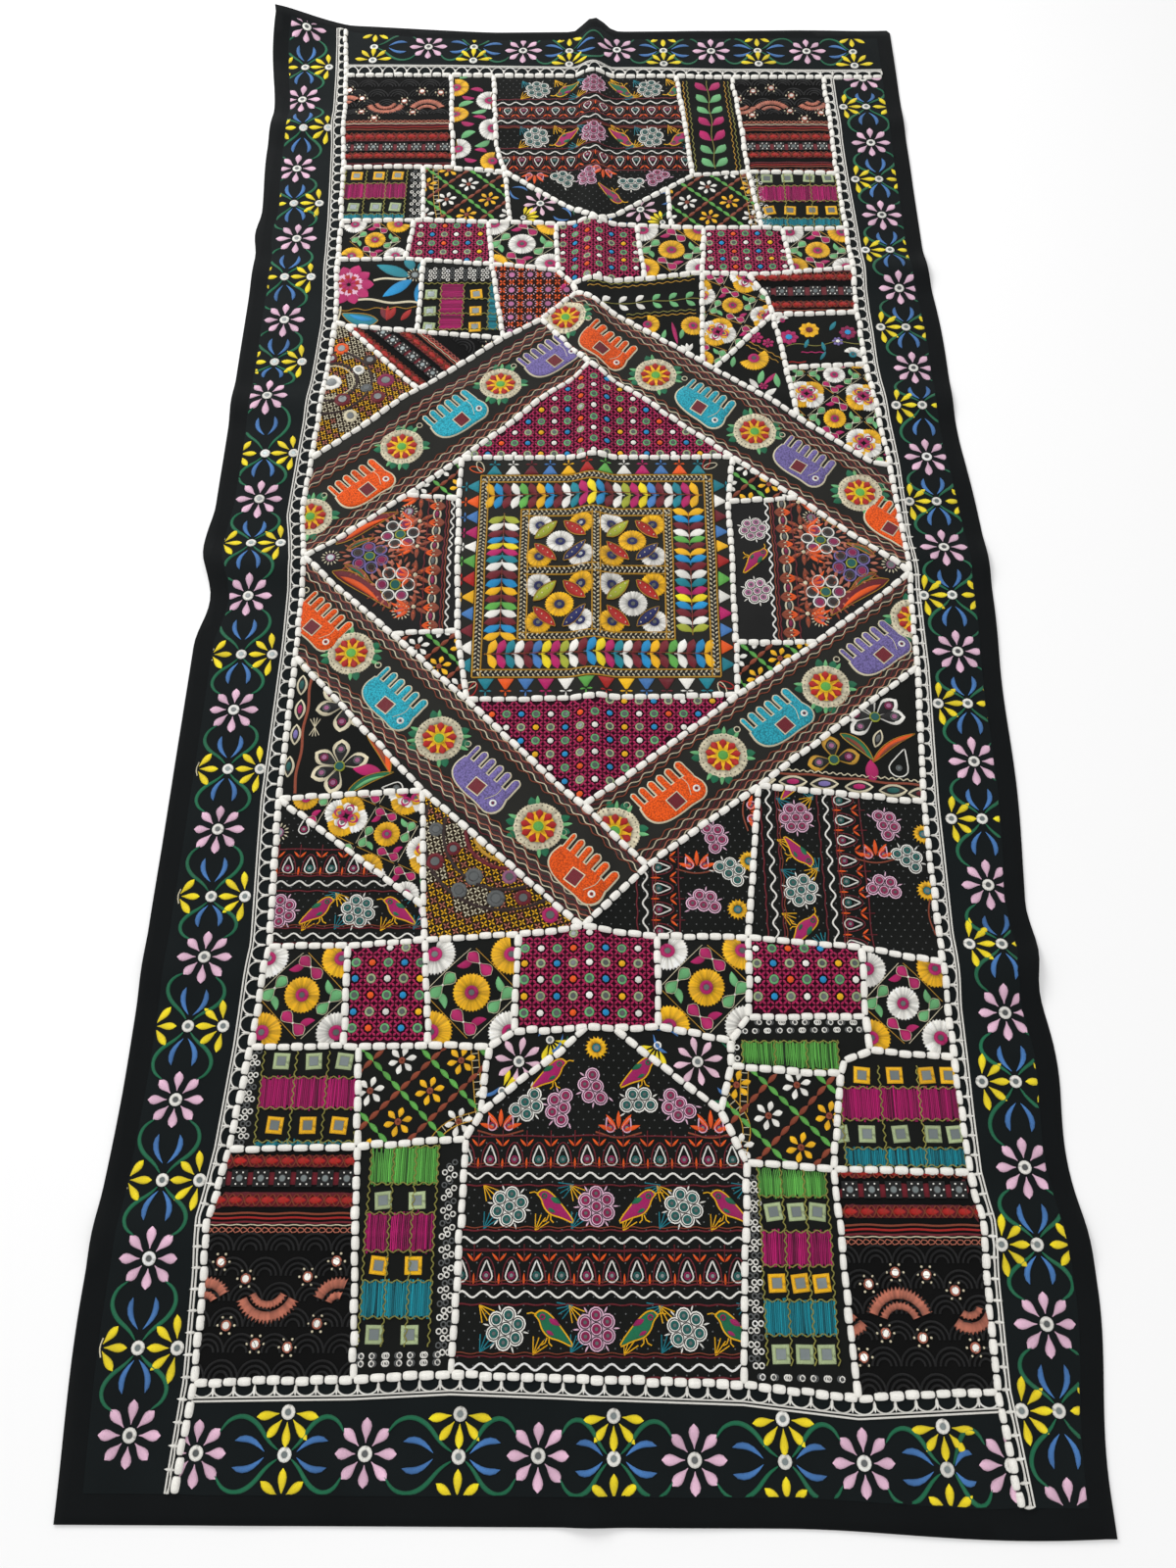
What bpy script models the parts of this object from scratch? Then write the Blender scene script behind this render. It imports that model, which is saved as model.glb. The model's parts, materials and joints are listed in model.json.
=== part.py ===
"""Patchwork wall hanging of embroidered cloth, laid out on a flat surface.

A black backing cloth with a plain hem carries four embroidered border strips round a field of
pieced patches, and a white padded cord is couched over every seam. The cloth still has the soft
ridges of the creases it was folded along, and one corner of its top edge curls up.

X runs across the cloth, +Y towards its top edge and +Z up. The origin lies on the surface, under
the middle of the cloth's box. Plan sizes are in millimetres from where the middle crease crosses
the diamond, until a mesh is made.
"""

import math
from typing import NamedTuple

import bmesh
import bpy
from mathutils import Vector
from mathutils.geometry import delaunay_2d_cdt

MM = 0.001

# Driving dimensions of the layers, in millimetres
BACKING_THICKNESS = 1.5
LAYER_GAP = 0.3
PATCH_THICKNESS = 1.2
CORD_HEIGHT = 3.0
CORD_WIDTH = 8.0
CORD_CREST_WIDTH = 4.5
SEAM_GAP = 0.3

# The cloth's nominal edges and the width of the plain hem round the border strips
EDGES = {"left": -506.0, "right": 512.0, "bottom": -1078.0, "top": 1097.0}
HEM = {"left": 25.0, "right": 23.0, "bottom": 25.0, "top": 20.0}
OUTWARD = {"left": -1, "right": 1, "bottom": -1, "top": 1}


class Wave(NamedTuple):
    """One bulge (out above 0) or dip of an edge: where it is along the edge, and how far it reaches."""

    side: str
    at: float
    out: float
    reach: float


class Ridge(NamedTuple):
    """One soft crease: the axis it runs along, its crest, half width, and its height at both ends."""

    along: str
    at: float
    reach: float
    low_end_height: float
    high_end_height: float


EDGE_WAVES = (
    Wave("left", 1050, 22, 190),
    Wave("left", 820, 8, 170),
    Wave("left", 630, 6, 50),
    Wave("left", 60, 7, 60),
    Wave("left", -35, -12, 70),
    Wave("left", -890, 10, 240),
    Wave("right", 400, 10, 200),
    Wave("right", 0, 24, 420),
    Wave("right", -330, 12, 210),
    Wave("right", -505, 9, 55),
    Wave("right", -640, 13, 130),
    Wave("right", -860, 19, 190),
    Wave("top", -450, 22, 300),
    Wave("top", 14, 18, 44),
    Wave("top", 470, -4, 120),
    Wave("bottom", 430, 9, 240),
)

RIDGES = (
    Ridge("y", 10, 34, 5, 13),
    Ridge("x", 866, 46, 8, 3),
    Ridge("x", 545, 46, 3, 7),
    Ridge("x", 296, 44, 6, 4),
    Ridge("x", 22, 48, 9, 6),
    Ridge("x", -532, 48, 4, 10),
    Ridge("x", -815, 44, 5, 5),
)

# The top left corner, which curls up off the surface
CURL_CORNER = (-545.0, 1150.0)
CURL_HEIGHT = 62.0
CURL_REACH = 150.0

# Lines of the plan grid that every layer is cut along, so that all layers bend alike
GRID_X = (-560, -515, -460, -150, -24, 10, 44, 190, 560)
GRID_END_Y = (-1110, 1040, 1085, 1170)
RIDGE_STEPS = (-1.0, 0.0, 1.0)

# Where seams meet or bend, as x and y
JUNCTIONS = {
    # Under the top border
    "a0": (-402, 990), "a1": (-226, 989), "a2": (-155, 987), "a3": (148, 981), "a4": (240, 978),
    "a5": (391, 977),
    # Under the first row, with the point of the top bird patch at b4
    "b0": (-388, 773), "b1": (-260, 773), "b2": (-212, 770), "b3": (-130, 760), "b4": (18, 646),
    "b5": (128, 722), "b6": (168, 750), "b7": (256, 756), "b8": (395, 752), "v1": (-145, 815),
    # Above and under the upper row of squares
    "c0": (-381, 655), "c1": (-267, 655), "c2": (-253, 656), "c3": (-152, 651), "c4": (-118, 650),
    "c5": (-47, 646), "c6": (78, 641), "c7": (130, 638), "c8": (182, 635), "c9": (270, 634),
    "c10": (302, 632), "c11": (399, 633),
    "d0": (-378, 572), "d1": (-275, 573), "d2": (-247, 570), "d3": (-142, 558), "d4": (-42, 543),
    "d5": (-22, 519), "d6": (88, 527), "d7": (174, 537), "d8": (243, 534), "d9": (310, 536),
    "d10": (401, 545),
    # Beside the upper half of the diamond
    "e0": (-371, 446), "e1": (-355, 441), "e2": (-249, 429), "e3": (-122, 415),
    "f0": (-382, 196), "f1": (-240, 318), "w0": (-386, 100),
    "g0": (-15, 503), "g2": (170, 368), "g3": (186, 356), "g4": (299, 266), "g5": (398, 186),
    "g6": (422, 181),
    "k0": (276, 458), "k1": (270, 495), "k2": (401, 461), "k3": (290, 356), "k4": (405, 362),
    # The diamond's mitres at h0 and p0, its inner corners and the square inside it
    "h0": (-66, 452), "h1": (6, 360), "i0": (-374, 28), "i1": (430, 3), "i2": (0, -331),
    "i3": (-245, 134), "i4": (-172, 197), "i5": (205, 197), "i6": (290, 127), "i7": (-250, -87),
    "i8": (-149, -183), "i9": (194, -178), "i10": (300, -100),
    "j0": (-173, 128), "j1": (-165, -81), "j2": (196, 121), "j3": (196, -101),
    # Beside the lower half of the diamond
    "m0": (-372, -121), "m2": (0, -482), "n0": (-372, -319), "n1": (-197, -308),
    "o0": (-187, -456), "p0": (76, -405), "p1": (214, -302), "p2": (425, -137), "p3": (413, -324),
    # Above and under the lower row of squares
    "q0": (-363, -505), "q1": (-271, -504), "q2": (-182, -497), "q3": (-74, -490),
    "q5": (86, -492), "q6": (191, -494), "q7": (319, -507), "q8": (410, -525),
    "r0": (-370, -620), "r1": (-267, -619), "r2": (-250, -620), "r3": (-172, -618),
    "r4": (-104, -620), "r5": (-77, -603), "r6": (6, -599), "r7": (36, -600), "r8": (86, -597),
    "r9": (165, -612), "r10": (187, -586), "r11": (318, -585), "r12": (320, -623),
    "r13": (412, -631), "r14": (290, -634),
    # Under the last two rows
    "s0": (-381, -730), "s1": (-243, -727), "s2": (-125, -719), "s3": (-110, -691),
    "s4": (151, -689), "s5": (165, -641), "s6": (285, -649), "s7": (177, -742),
    "s8": (269, -749), "s9": (413, -752), "x0": (-393, -800), "x1": (420, -800),
    "t0": (-388, -955), "t1": (-228, -952), "t2": (-130, -947), "t3": (163, -955),
    "t4": (276, -967), "t5": (415, -960),
    # Ends of the cords that run on across the border
    "u0": (-412, 1105), "u1": (488, 977), "u2": (-394, -1052), "u3": (424, -1060),
}

# The patches, each as the junctions round it, counterclockwise
PATCHES = {
    "copper_top_left": "a0 b0 b1 b2 a1",
    "buds_top": "a1 b2 b3 v1 a2",
    "birds_top": "a2 v1 b3 b4 b5 b6 a3",
    "leaves_top": "a3 b6 b7 a4",
    "copper_top_right": "a4 b7 b8 a5",
    "silk_top_left": "b0 c0 c1 c2 b1",
    "trellis_top_left": "b1 c2 c3 c4 b3 b2",
    "scrap_top_left": "b3 c4 c5 b4",
    "scrap_top_right": "b4 c6 c7 b5",
    "trellis_top_right": "b5 c7 c8 c9 b7 b6",
    "silk_top_right": "b7 c9 c10 c11 b8",
    "blooms_upper_1": "c0 d0 d1 c1",
    "mirrors_upper_2": "c1 d1 d2 d3 c3 c2",
    "blooms_upper_3": "c3 d3 d4 c5 c4",
    "mirrors_upper_4": "c5 d4 d5 d6 c6 b4",
    "blooms_upper_5": "c6 d6 d7 c8 c7",
    "mirrors_upper_6": "c8 d7 d8 d9 c10 c9",
    "blooms_upper_7": "c10 d9 d10 c11",
    "peony_left": "d0 e0 e1 e2 d2 d1",
    "silk_left": "d2 e2 e3 d3",
    "rosettes_left": "d3 e3 h0 g0 d5 d4",
    "copper_left": "e1 f1 e3 e2",
    "sequins_left": "e0 f0 f1 e1",
    "leaves_right": "d5 g0 g2 d7 d6",
    "blooms_right": "d7 g2 g3 k0 k1 d8",
    "copper_right": "d8 k1 k0 k2 d10 d9",
    "meadow_right": "k0 k3 k4 k2",
    "buds_right": "g3 g4 k3 k0",
    "blooms_right_low": "k3 g4 g5 g6 k4",
    "elephants_upper_left": "f0 w0 i0 i3 i4 h1 h0 e3 f1",
    "elephants_upper_right": "g0 h0 h1 i5 i6 i1 g6 g5 g4 g3 g2",
    "elephants_lower_left": "i0 m0 n1 m2 p0 i2 i8 i7",
    "elephants_lower_right": "i2 p0 p1 p2 i1 i10 i9",
    "mirrors_point_top": "i4 i5 h1",
    "mirrors_point_low": "i8 i2 i9",
    "centre_square": "i4 j0 j1 i8 i9 j3 j2 i5",
    "corner_left_upper": "i3 j0 i4",
    "lace_left": "i0 i7 j1 j0 i3",
    "corner_left_lower": "i7 i8 j1",
    "corner_right_upper": "j2 i6 i5",
    "lace_right": "j2 j3 i10 i1 i6",
    "corner_right_lower": "j3 i9 i10",
    "arches_left": "m0 n0 n1",
    "blooms_left": "n0 o0 n1",
    "birds_left": "n0 q0 q1 q2 o0",
    "sequins_low": "n1 o0 q2 q3 m2",
    "arches_right": "p1 p3 p2",
    "birds_right_inner": "m2 q5 q6 p1 p0",
    "birds_right_outer": "p1 q6 q7 q8 p3",
    "blooms_lower_1": "q0 r0 r1 q1",
    "mirrors_lower_2": "q1 r1 r2 r3 q2",
    "blooms_lower_3": "q2 r3 r4 r5 q3",
    "mirrors_lower_4": "q3 r5 r6 r7 r8 q5 m2",
    "blooms_lower_5": "q5 r8 r9 r10 q6",
    "mirrors_lower_6": "q6 r10 r11 q7",
    "blooms_lower_7": "q7 r11 r12 r13 q8",
    "silk_low_left": "r0 s0 s1 r2 r1",
    "trellis_low_left": "r2 s1 s2 s3 r4 r3",
    "scrap_low_left": "r4 s3 r6 r5",
    "birds_low": "r6 s3 s2 t2 t3 s7 s4 r7",
    "scrap_low_right": "r7 s4 s5 r9 r8",
    "silk_green": "r10 r9 s5 s6 r14 r12 r11",
    "trellis_low_right": "s5 s4 s7 s8 s6",
    "silk_low_right": "r14 s6 s8 s9 r13 r12",
    "copper_low_left": "s0 x0 t0 t1 s1",
    "silk_bottom_left": "s1 t1 t2 s2",
    "silk_bottom_right": "s7 t3 t4 s8",
    "copper_low_right": "s8 t4 t5 x1 s9",
}

# Blocks that were pieced from small scraps before they went in: each is one solid here
BLOCKS = {
    "block_left": ("corner_left_upper", "lace_left", "corner_left_lower"),
    "block_right": ("corner_right_upper", "lace_right", "corner_right_lower"),
    "block_trellis_top_left": ("trellis_top_left", "scrap_top_left"),
    "block_trellis_top_right": ("scrap_top_right", "trellis_top_right"),
    "block_trellis_low_left": ("trellis_low_left", "scrap_low_left"),
    "block_trellis_low_right": ("scrap_low_right", "trellis_low_right"),
    "block_blooms_right": ("blooms_right", "buds_right"),
    "block_copper_right": ("copper_right", "meadow_right"),
    "block_birds_left": ("blooms_left", "birds_left"),
    "block_copper_left": ("copper_left", "sequins_left"),
    "block_birds_right": ("birds_right_inner", "birds_right_outer"),
    "block_silk_green": ("mirrors_lower_6", "silk_green"),
    "block_silk_left": ("silk_left", "rosettes_left"),
    "block_leaves_top": ("leaves_top", "copper_top_right"),
}

# The junctions along each side of the field, and the cords that run on across the border
FIELD_LEFT = "a0 b0 c0 d0 e0 f0 w0 i0 m0 n0 q0 r0 s0 x0 t0".split()
FIELD_BOTTOM = "t0 t1 t2 t3 t4 t5".split()
FIELD_RIGHT = "t5 x1 s9 r13 q8 p3 p2 i1 g6 k4 k2 d10 c11 b8 a5".split()
FIELD_TOP = "a5 a4 a3 a2 a1 a0".split()
CORD_TAILS = (("a0", "u0"), ("a5", "u1"), ("t0", "u2"), ("t5", "u3"))


class Finish(NamedTuple):
    """The look of one kind of cloth or cord."""

    colour: tuple
    roughness: float


FINISHES = {
    "backing": Finish((0.012, 0.014, 0.016), 0.85),
    "border": Finish((0.015, 0.018, 0.019), 0.8),
    "cord": Finish((0.78, 0.77, 0.72), 0.7),
    "copper": Finish((0.22, 0.03, 0.02), 0.7),
    "silk": Finish((0.25, 0.02, 0.12), 0.4),
    "mirrors": Finish((0.25, 0.01, 0.09), 0.7),
    "blooms": Finish((0.55, 0.33, 0.05), 0.65),
    "elephants": Finish((0.10, 0.07, 0.06), 0.7),
    "centre": Finish((0.22, 0.12, 0.05), 0.7),
    "sequins": Finish((0.30, 0.24, 0.12), 0.6),
    "plain": Finish((0.03, 0.03, 0.03), 0.75),
}


def profile(share):
    """A soft hump: 1 in the middle, 0 at one reach away and beyond, along a raised cosine."""
    return 0.5 * (1 + math.cos(math.pi * min(1.0, abs(share))))


def edge(side, along):
    """Where the cloth's edge on that side lies, at a place along it."""
    bulge = sum(w.out * profile((along - w.at) / w.reach) for w in EDGE_WAVES if w.side == side)
    return EDGES[side] + OUTWARD[side] * bulge


def stations(side, low, high):
    """The places along a side where its outline needs a point: its ends, and five for each wave."""
    places = {low, high}
    for wave in EDGE_WAVES:
        if wave.side == side:
            places |= {wave.at + step * wave.reach for step in (-1.0, -0.5, 0.0, 0.5, 1.0)}
    kept = sorted(p for p in places if low <= p <= high)
    return [low] + [p for p in kept if low + 12 < p < high - 12] + [high]


def side_points(side, low, high, inset=0.0):
    """Points along one edge of the cloth from low to high, drawn in from it by inset."""
    line = []
    for along in stations(side, low, high):
        across = edge(side, along) - OUTWARD[side] * inset
        line.append((across, along) if side in ("left", "right") else (along, across))
    return line


def cloth_outline():
    """The ring of the whole cloth, counterclockwise from its bottom left corner."""
    left, right = edge("left", EDGES["bottom"]), edge("right", EDGES["bottom"])
    bottom = side_points("bottom", left, right)
    up = side_points("right", bottom[-1][1], edge("top", EDGES["right"]))
    top = side_points("top", edge("left", EDGES["top"]), up[-1][0])[::-1]
    down = side_points("left", bottom[0][1], top[-1][1])[::-1]
    return bottom[:-1] + up[:-1] + top[:-1] + down[:-1]


def middle_of(ring):
    """The middle of a ring's box in plan."""
    xs, ys = zip(*ring, strict=True)
    return Vector(((min(xs) + max(xs)) / 2, (min(ys) + max(ys)) / 2, 0))


MIDDLE = middle_of(cloth_outline())


def height(x, y):
    """How far the cloth stands off the surface at a place: its ridges and its curled corner."""
    total = 0.0
    for ridge in RIDGES:
        along, across = (y, x) if ridge.along == "y" else (x, y)
        low, high = (EDGES["bottom"], EDGES["top"]) if ridge.along == "y" else (EDGES["left"], EDGES["right"])
        share = (along - low) / (high - low)
        crest = ridge.low_end_height + share * (ridge.high_end_height - ridge.low_end_height)
        total += crest * profile((across - ridge.at) / ridge.reach)
    away = math.dist((x, y), CURL_CORNER)
    return total + CURL_HEIGHT * max(0.0, 1 - away / CURL_REACH) ** 1.5


def grid_lines():
    """The grid's x and y lines: across the cloth they follow its ridges."""
    lines_y = list(GRID_END_Y)
    for ridge in RIDGES:
        if ridge.along == "x":
            lines_y += [ridge.at + step * ridge.reach for step in RIDGE_STEPS]
    return list(GRID_X), sorted(lines_y)


LINES_X, LINES_Y = grid_lines()
NODE_HEIGHTS = [[height(x, y) for y in LINES_Y] for x in LINES_X]


def cell_of(lines, value):
    """The number of the grid cell that a value lies in, and its share of the way across."""
    number = next((i for i in range(len(lines) - 2) if value < lines[i + 1]), len(lines) - 2)
    return number, (value - lines[number]) / (lines[number + 1] - lines[number])


def lifted(x, y):
    """The height at a place on the faceted cloth, flat over each half of a grid cell."""
    i, s = cell_of(LINES_X, x)
    j, t = cell_of(LINES_Y, y)
    low, high = NODE_HEIGHTS[i][j], NODE_HEIGHTS[i + 1][j + 1]
    if s >= t:
        return low + s * (NODE_HEIGHTS[i + 1][j] - low) + t * (high - NODE_HEIGHTS[i + 1][j])
    return low + t * (NODE_HEIGHTS[i][j + 1] - low) + s * (high - NODE_HEIGHTS[i][j + 1])


def cut(bm, point, normal, faces=None):
    """Splits faces of a mesh, or all of it, along an upright plane."""
    chosen = faces if faces is not None else list(bm.faces)
    edges = {e for f in chosen for e in f.edges}
    verts = {v for f in chosen for v in f.verts}
    geometry = list(verts) + list(edges) + list(chosen)
    bmesh.ops.bisect_plane(bm, geom=geometry, dist=1e-4, plane_co=point, plane_no=normal)


def cut_twisted_cells(bm):
    """Splits the faces in each cell whose corners aren't in one plane along the cell's diagonal."""
    inside = {}
    for face in bm.faces:
        middle = face.calc_center_median()
        place = (cell_of(LINES_X, middle.x)[0], cell_of(LINES_Y, middle.y)[0])
        inside.setdefault(place, []).append(face)
    for (i, j), faces in inside.items():
        corners = NODE_HEIGHTS[i][j] + NODE_HEIGHTS[i + 1][j + 1]
        others = NODE_HEIGHTS[i + 1][j] + NODE_HEIGHTS[i][j + 1]
        if abs(corners - others) > 1e-6:
            wide, tall = LINES_X[i + 1] - LINES_X[i], LINES_Y[j + 1] - LINES_Y[j]
            cut(bm, (LINES_X[i], LINES_Y[j], 0), Vector((tall, -wide, 0)).normalized(), faces)


def bend_to_cloth(bm):
    """Cuts a flat mesh along the grid and lifts each point by the cloth's height there."""
    for x in LINES_X[1:-1]:
        cut(bm, (x, 0, 0), (1, 0, 0))
    for y in LINES_Y[1:-1]:
        cut(bm, (0, y, 0), (0, 1, 0))
    cut_twisted_cells(bm)
    for vert in bm.verts:
        vert.co.z += lifted(vert.co.x, vert.co.y)


def inset_ring(ring, distance):
    """The ring with every side moved in by distance, its corners mitred. A ring is counterclockwise."""
    moved = []
    for before, here, after in zip(ring[-1:] + ring[:-1], ring, ring[1:] + ring[:1], strict=True):
        first = Vector((here[0] - before[0], here[1] - before[1])).normalized()
        second = Vector((after[0] - here[0], after[1] - here[1])).normalized()
        normals = Vector((-first.y, first.x)) + Vector((-second.y, second.x))
        shift = normals * (distance / (1 + first.dot(second)))
        moved.append((here[0] + shift.x, here[1] + shift.y))
    return moved


def ring_of(names):
    """The points of the named junctions."""
    return [JUNCTIONS[name] for name in names]


def joined_ring(patches):
    """The junctions round several patches that share sides: the sides that no two of them share."""
    sides = set()
    for patch in patches:
        names = PATCHES[patch].split()
        sides |= set(zip(names, names[1:] + names[:1], strict=True))
    following = {a: b for a, b in sides if (b, a) not in sides}
    names = [min(following)]
    while following[names[-1]] != names[0]:
        names.append(following[names[-1]])
    return names


def new_piece(name, finish, bm):
    """Turns a mesh in millimetres into a named object in metres with its own material."""
    bmesh.ops.recalc_face_normals(bm, faces=bm.faces)
    bmesh.ops.triangulate(bm, faces=bm.faces)
    bmesh.ops.translate(bm, vec=-MIDDLE, verts=bm.verts)
    bmesh.ops.scale(bm, vec=(MM, MM, MM), verts=bm.verts)
    mesh = bpy.data.meshes.new(name)
    bm.to_mesh(mesh)
    bm.free()
    look = FINISHES[finish]
    material = bpy.data.materials.new(name)
    material.use_nodes = True
    shader = material.node_tree.nodes["Principled BSDF"]
    shader.inputs["Base Color"].default_value = (*look.colour, 1)
    shader.inputs["Roughness"].default_value = look.roughness
    mesh.materials.append(material)
    piece = bpy.data.objects.new(name, mesh)
    bpy.context.scene.collection.objects.link(piece)
    return piece


def sheet(name, finish, ring, bottom, thickness):
    """A sheet of cloth over a ring, bent with the cloth, its underside at bottom above the surface."""
    bm = bmesh.new()
    base = bm.faces.new([bm.verts.new((x, y, bottom)) for x, y in ring])
    raised = bmesh.ops.extrude_face_region(bm, geom=[base], use_keep_orig=True)["geom"]
    tops = [item for item in raised if isinstance(item, bmesh.types.BMVert)]
    bmesh.ops.translate(bm, vec=(0, 0, thickness), verts=tops)
    bend_to_cloth(bm)
    return new_piece(name, finish, bm)


def tail_ring(start, end):
    """The ring round one cord that runs on across the border."""
    a, b = Vector(JUNCTIONS[start]), Vector(JUNCTIONS[end])
    along = (b - a).normalized()
    side = Vector((-along.y, along.x)) * CORD_WIDTH / 2
    return [tuple(p) for p in (a - side, b - side, b + side, a + side)]


def seam_cords(bottom):
    """The couched cords over all seams as one net, with a window over each patch.

    The plan is split into triangles, and those in the field or a tail and in no window are kept.
    The windows are wider at the cord's crest than at its foot.
    """
    field = ring_of(FIELD_LEFT[:-1] + FIELD_BOTTOM[:-1] + FIELD_RIGHT[:-1] + FIELD_TOP[:-1])
    outer = inset_ring(field, -CORD_WIDTH / 2)
    rings = [outer] + [tail_ring(*tail) for tail in CORD_TAILS]
    solid_count = len(rings)
    crest_of = {}
    for names in PATCHES.values():
        ring = ring_of(names.split())
        foot = inset_ring(ring, CORD_WIDTH / 2)
        rings.append(foot)
        for low, high in zip(foot, inset_ring(ring, CORD_CREST_WIDTH / 2), strict=True):
            crest_of[tuple(round(value, 2) for value in low)] = high
    points = [Vector(p) for ring in rings for p in ring]
    faces, first = [], 0
    for ring in rings:
        faces.append(list(range(first, first + len(ring))))
        first += len(ring)
    found = delaunay_2d_cdt(points, [], faces, 0, 1e-4)
    bm = bmesh.new()
    verts = [bm.verts.new((p.x, p.y, bottom)) for p in found[0]]
    for corners, origins in zip(found[2], found[5], strict=True):
        if origins and max(origins) < solid_count:
            bm.faces.new([verts[i] for i in corners])
    bmesh.ops.delete(bm, geom=[v for v in bm.verts if not v.link_faces], context="VERTS")
    raised = bmesh.ops.extrude_face_region(bm, geom=list(bm.faces), use_keep_orig=True)["geom"]
    for vert in (item for item in raised if isinstance(item, bmesh.types.BMVert)):
        vert.co.z += CORD_HEIGHT
        crest = crest_of.get((round(vert.co.x, 2), round(vert.co.y, 2)))
        if crest:
            vert.co.x, vert.co.y = crest
    bend_to_cloth(bm)
    return new_piece("seam_cords", "cord", bm)


def border_rings():
    """The rings of the four border strips, between the hem and the cords round the field."""
    top_end, bottom_end = JUNCTIONS["u0"][1], JUNCTIONS["u2"][1]
    left = side_points("left", bottom_end, top_end, HEM["left"])[::-1]
    left += ring_of(["u2"] + FIELD_LEFT[::-1] + ["u0"])
    corner = (edge("right", JUNCTIONS["a5"][1]) - HEM["right"], JUNCTIONS["a5"][1])
    right = side_points("right", JUNCTIONS["u3"][1], corner[1], HEM["right"])
    right += ring_of(FIELD_RIGHT[::-1] + ["u3"])
    top = ring_of(["u0"] + FIELD_TOP[::-1]) + [corner]
    top += side_points("top", JUNCTIONS["u0"][0], corner[0], HEM["top"])[::-1][:-1]
    bottom = side_points("bottom", JUNCTIONS["u2"][0], JUNCTIONS["u3"][0], HEM["bottom"])[1:-1]
    bottom = ring_of(["u2"]) + bottom + ring_of(["u3"] + FIELD_BOTTOM[::-1])
    return {"left": left, "right": right, "top": top, "bottom": bottom}


def finish_of(patch):
    """The finish of a patch, by the first word of its name."""
    word = patch.split("_")[0]
    return word if word in FINISHES else "plain"


def main():
    """Builds the backing, the border strips, the patches and blocks, and the cords over the seams."""
    for old in list(bpy.data.objects):
        bpy.data.objects.remove(old)
    sheet("backing_cloth", "backing", cloth_outline(), 0.0, BACKING_THICKNESS)
    layer = BACKING_THICKNESS + LAYER_GAP
    for side, ring in border_rings().items():
        sheet(f"border_{side}", "border", inset_ring(ring, SEAM_GAP / 2), layer, PATCH_THICKNESS)
    in_blocks = {patch for members in BLOCKS.values() for patch in members}
    for patch, names in PATCHES.items():
        if patch not in in_blocks:
            ring = inset_ring(ring_of(names.split()), SEAM_GAP / 2)
            sheet(f"patch_{patch}", finish_of(patch), ring, layer, PATCH_THICKNESS)
    for block, members in BLOCKS.items():
        ring = inset_ring(ring_of(joined_ring(members)), SEAM_GAP / 2)
        sheet(block, finish_of(members[0]), ring, layer, PATCH_THICKNESS)
    seam_cords(layer + PATCH_THICKNESS + LAYER_GAP)


main()
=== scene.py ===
"""The looks of a patchwork wall hanging, laid on the floor: cloth, couched cords, stitching and mirrors.

Every piece is worked out flat, in millimetres in the cloth's plan, and then lifted onto the cloth's
folds. Plan positions are measured from where the middle crease crosses the diamond.
"""

import itertools
import json
import logging
import math
from dataclasses import dataclass, field, replace
from enum import Enum

import bpy
import numpy as np
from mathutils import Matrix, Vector
from mathutils.geometry import delaunay_2d_cdt

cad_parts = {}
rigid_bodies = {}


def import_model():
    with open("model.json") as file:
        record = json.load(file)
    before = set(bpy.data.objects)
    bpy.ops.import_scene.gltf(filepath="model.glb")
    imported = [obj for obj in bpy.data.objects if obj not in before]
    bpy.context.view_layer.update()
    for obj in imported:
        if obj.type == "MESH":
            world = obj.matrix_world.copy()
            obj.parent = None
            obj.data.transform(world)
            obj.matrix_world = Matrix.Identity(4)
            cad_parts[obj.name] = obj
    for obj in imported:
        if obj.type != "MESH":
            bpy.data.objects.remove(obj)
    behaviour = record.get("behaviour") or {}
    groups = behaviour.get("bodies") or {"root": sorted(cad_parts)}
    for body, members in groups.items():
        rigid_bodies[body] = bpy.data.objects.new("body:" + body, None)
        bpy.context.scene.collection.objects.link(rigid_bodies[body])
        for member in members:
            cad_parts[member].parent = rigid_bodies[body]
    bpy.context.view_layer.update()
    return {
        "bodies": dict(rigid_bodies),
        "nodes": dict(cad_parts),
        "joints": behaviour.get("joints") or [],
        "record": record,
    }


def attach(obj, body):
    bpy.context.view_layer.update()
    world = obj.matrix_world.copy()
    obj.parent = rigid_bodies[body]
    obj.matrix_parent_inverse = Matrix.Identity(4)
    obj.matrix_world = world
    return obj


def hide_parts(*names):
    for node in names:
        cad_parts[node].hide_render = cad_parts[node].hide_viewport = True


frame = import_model()

LOG = logging.getLogger("hanging")
BODY = "root"
MM = 0.001
TURN = 2 * math.pi
RNG = np.random.default_rng(11)

# Heights above the surface that the hanging lies on, in millimetres
BACKING_TOP = 1.5
SEAM_LEVEL = 1.9
PUFF = 1.5
BORDER_PUFF = 0.9
SWELL_REACH = 9.0
PUCKER = 0.35
PUCKER_REACH = 12.0
CORD_WIDTH = 7.8
CORD_HEIGHT = 4.4
PILLOW_PITCH = 16.0

# How far apart the points of a cloth lie, in millimetres
PATCH_STEP = 8.0
BORDER_STEP = 9.0


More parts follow.
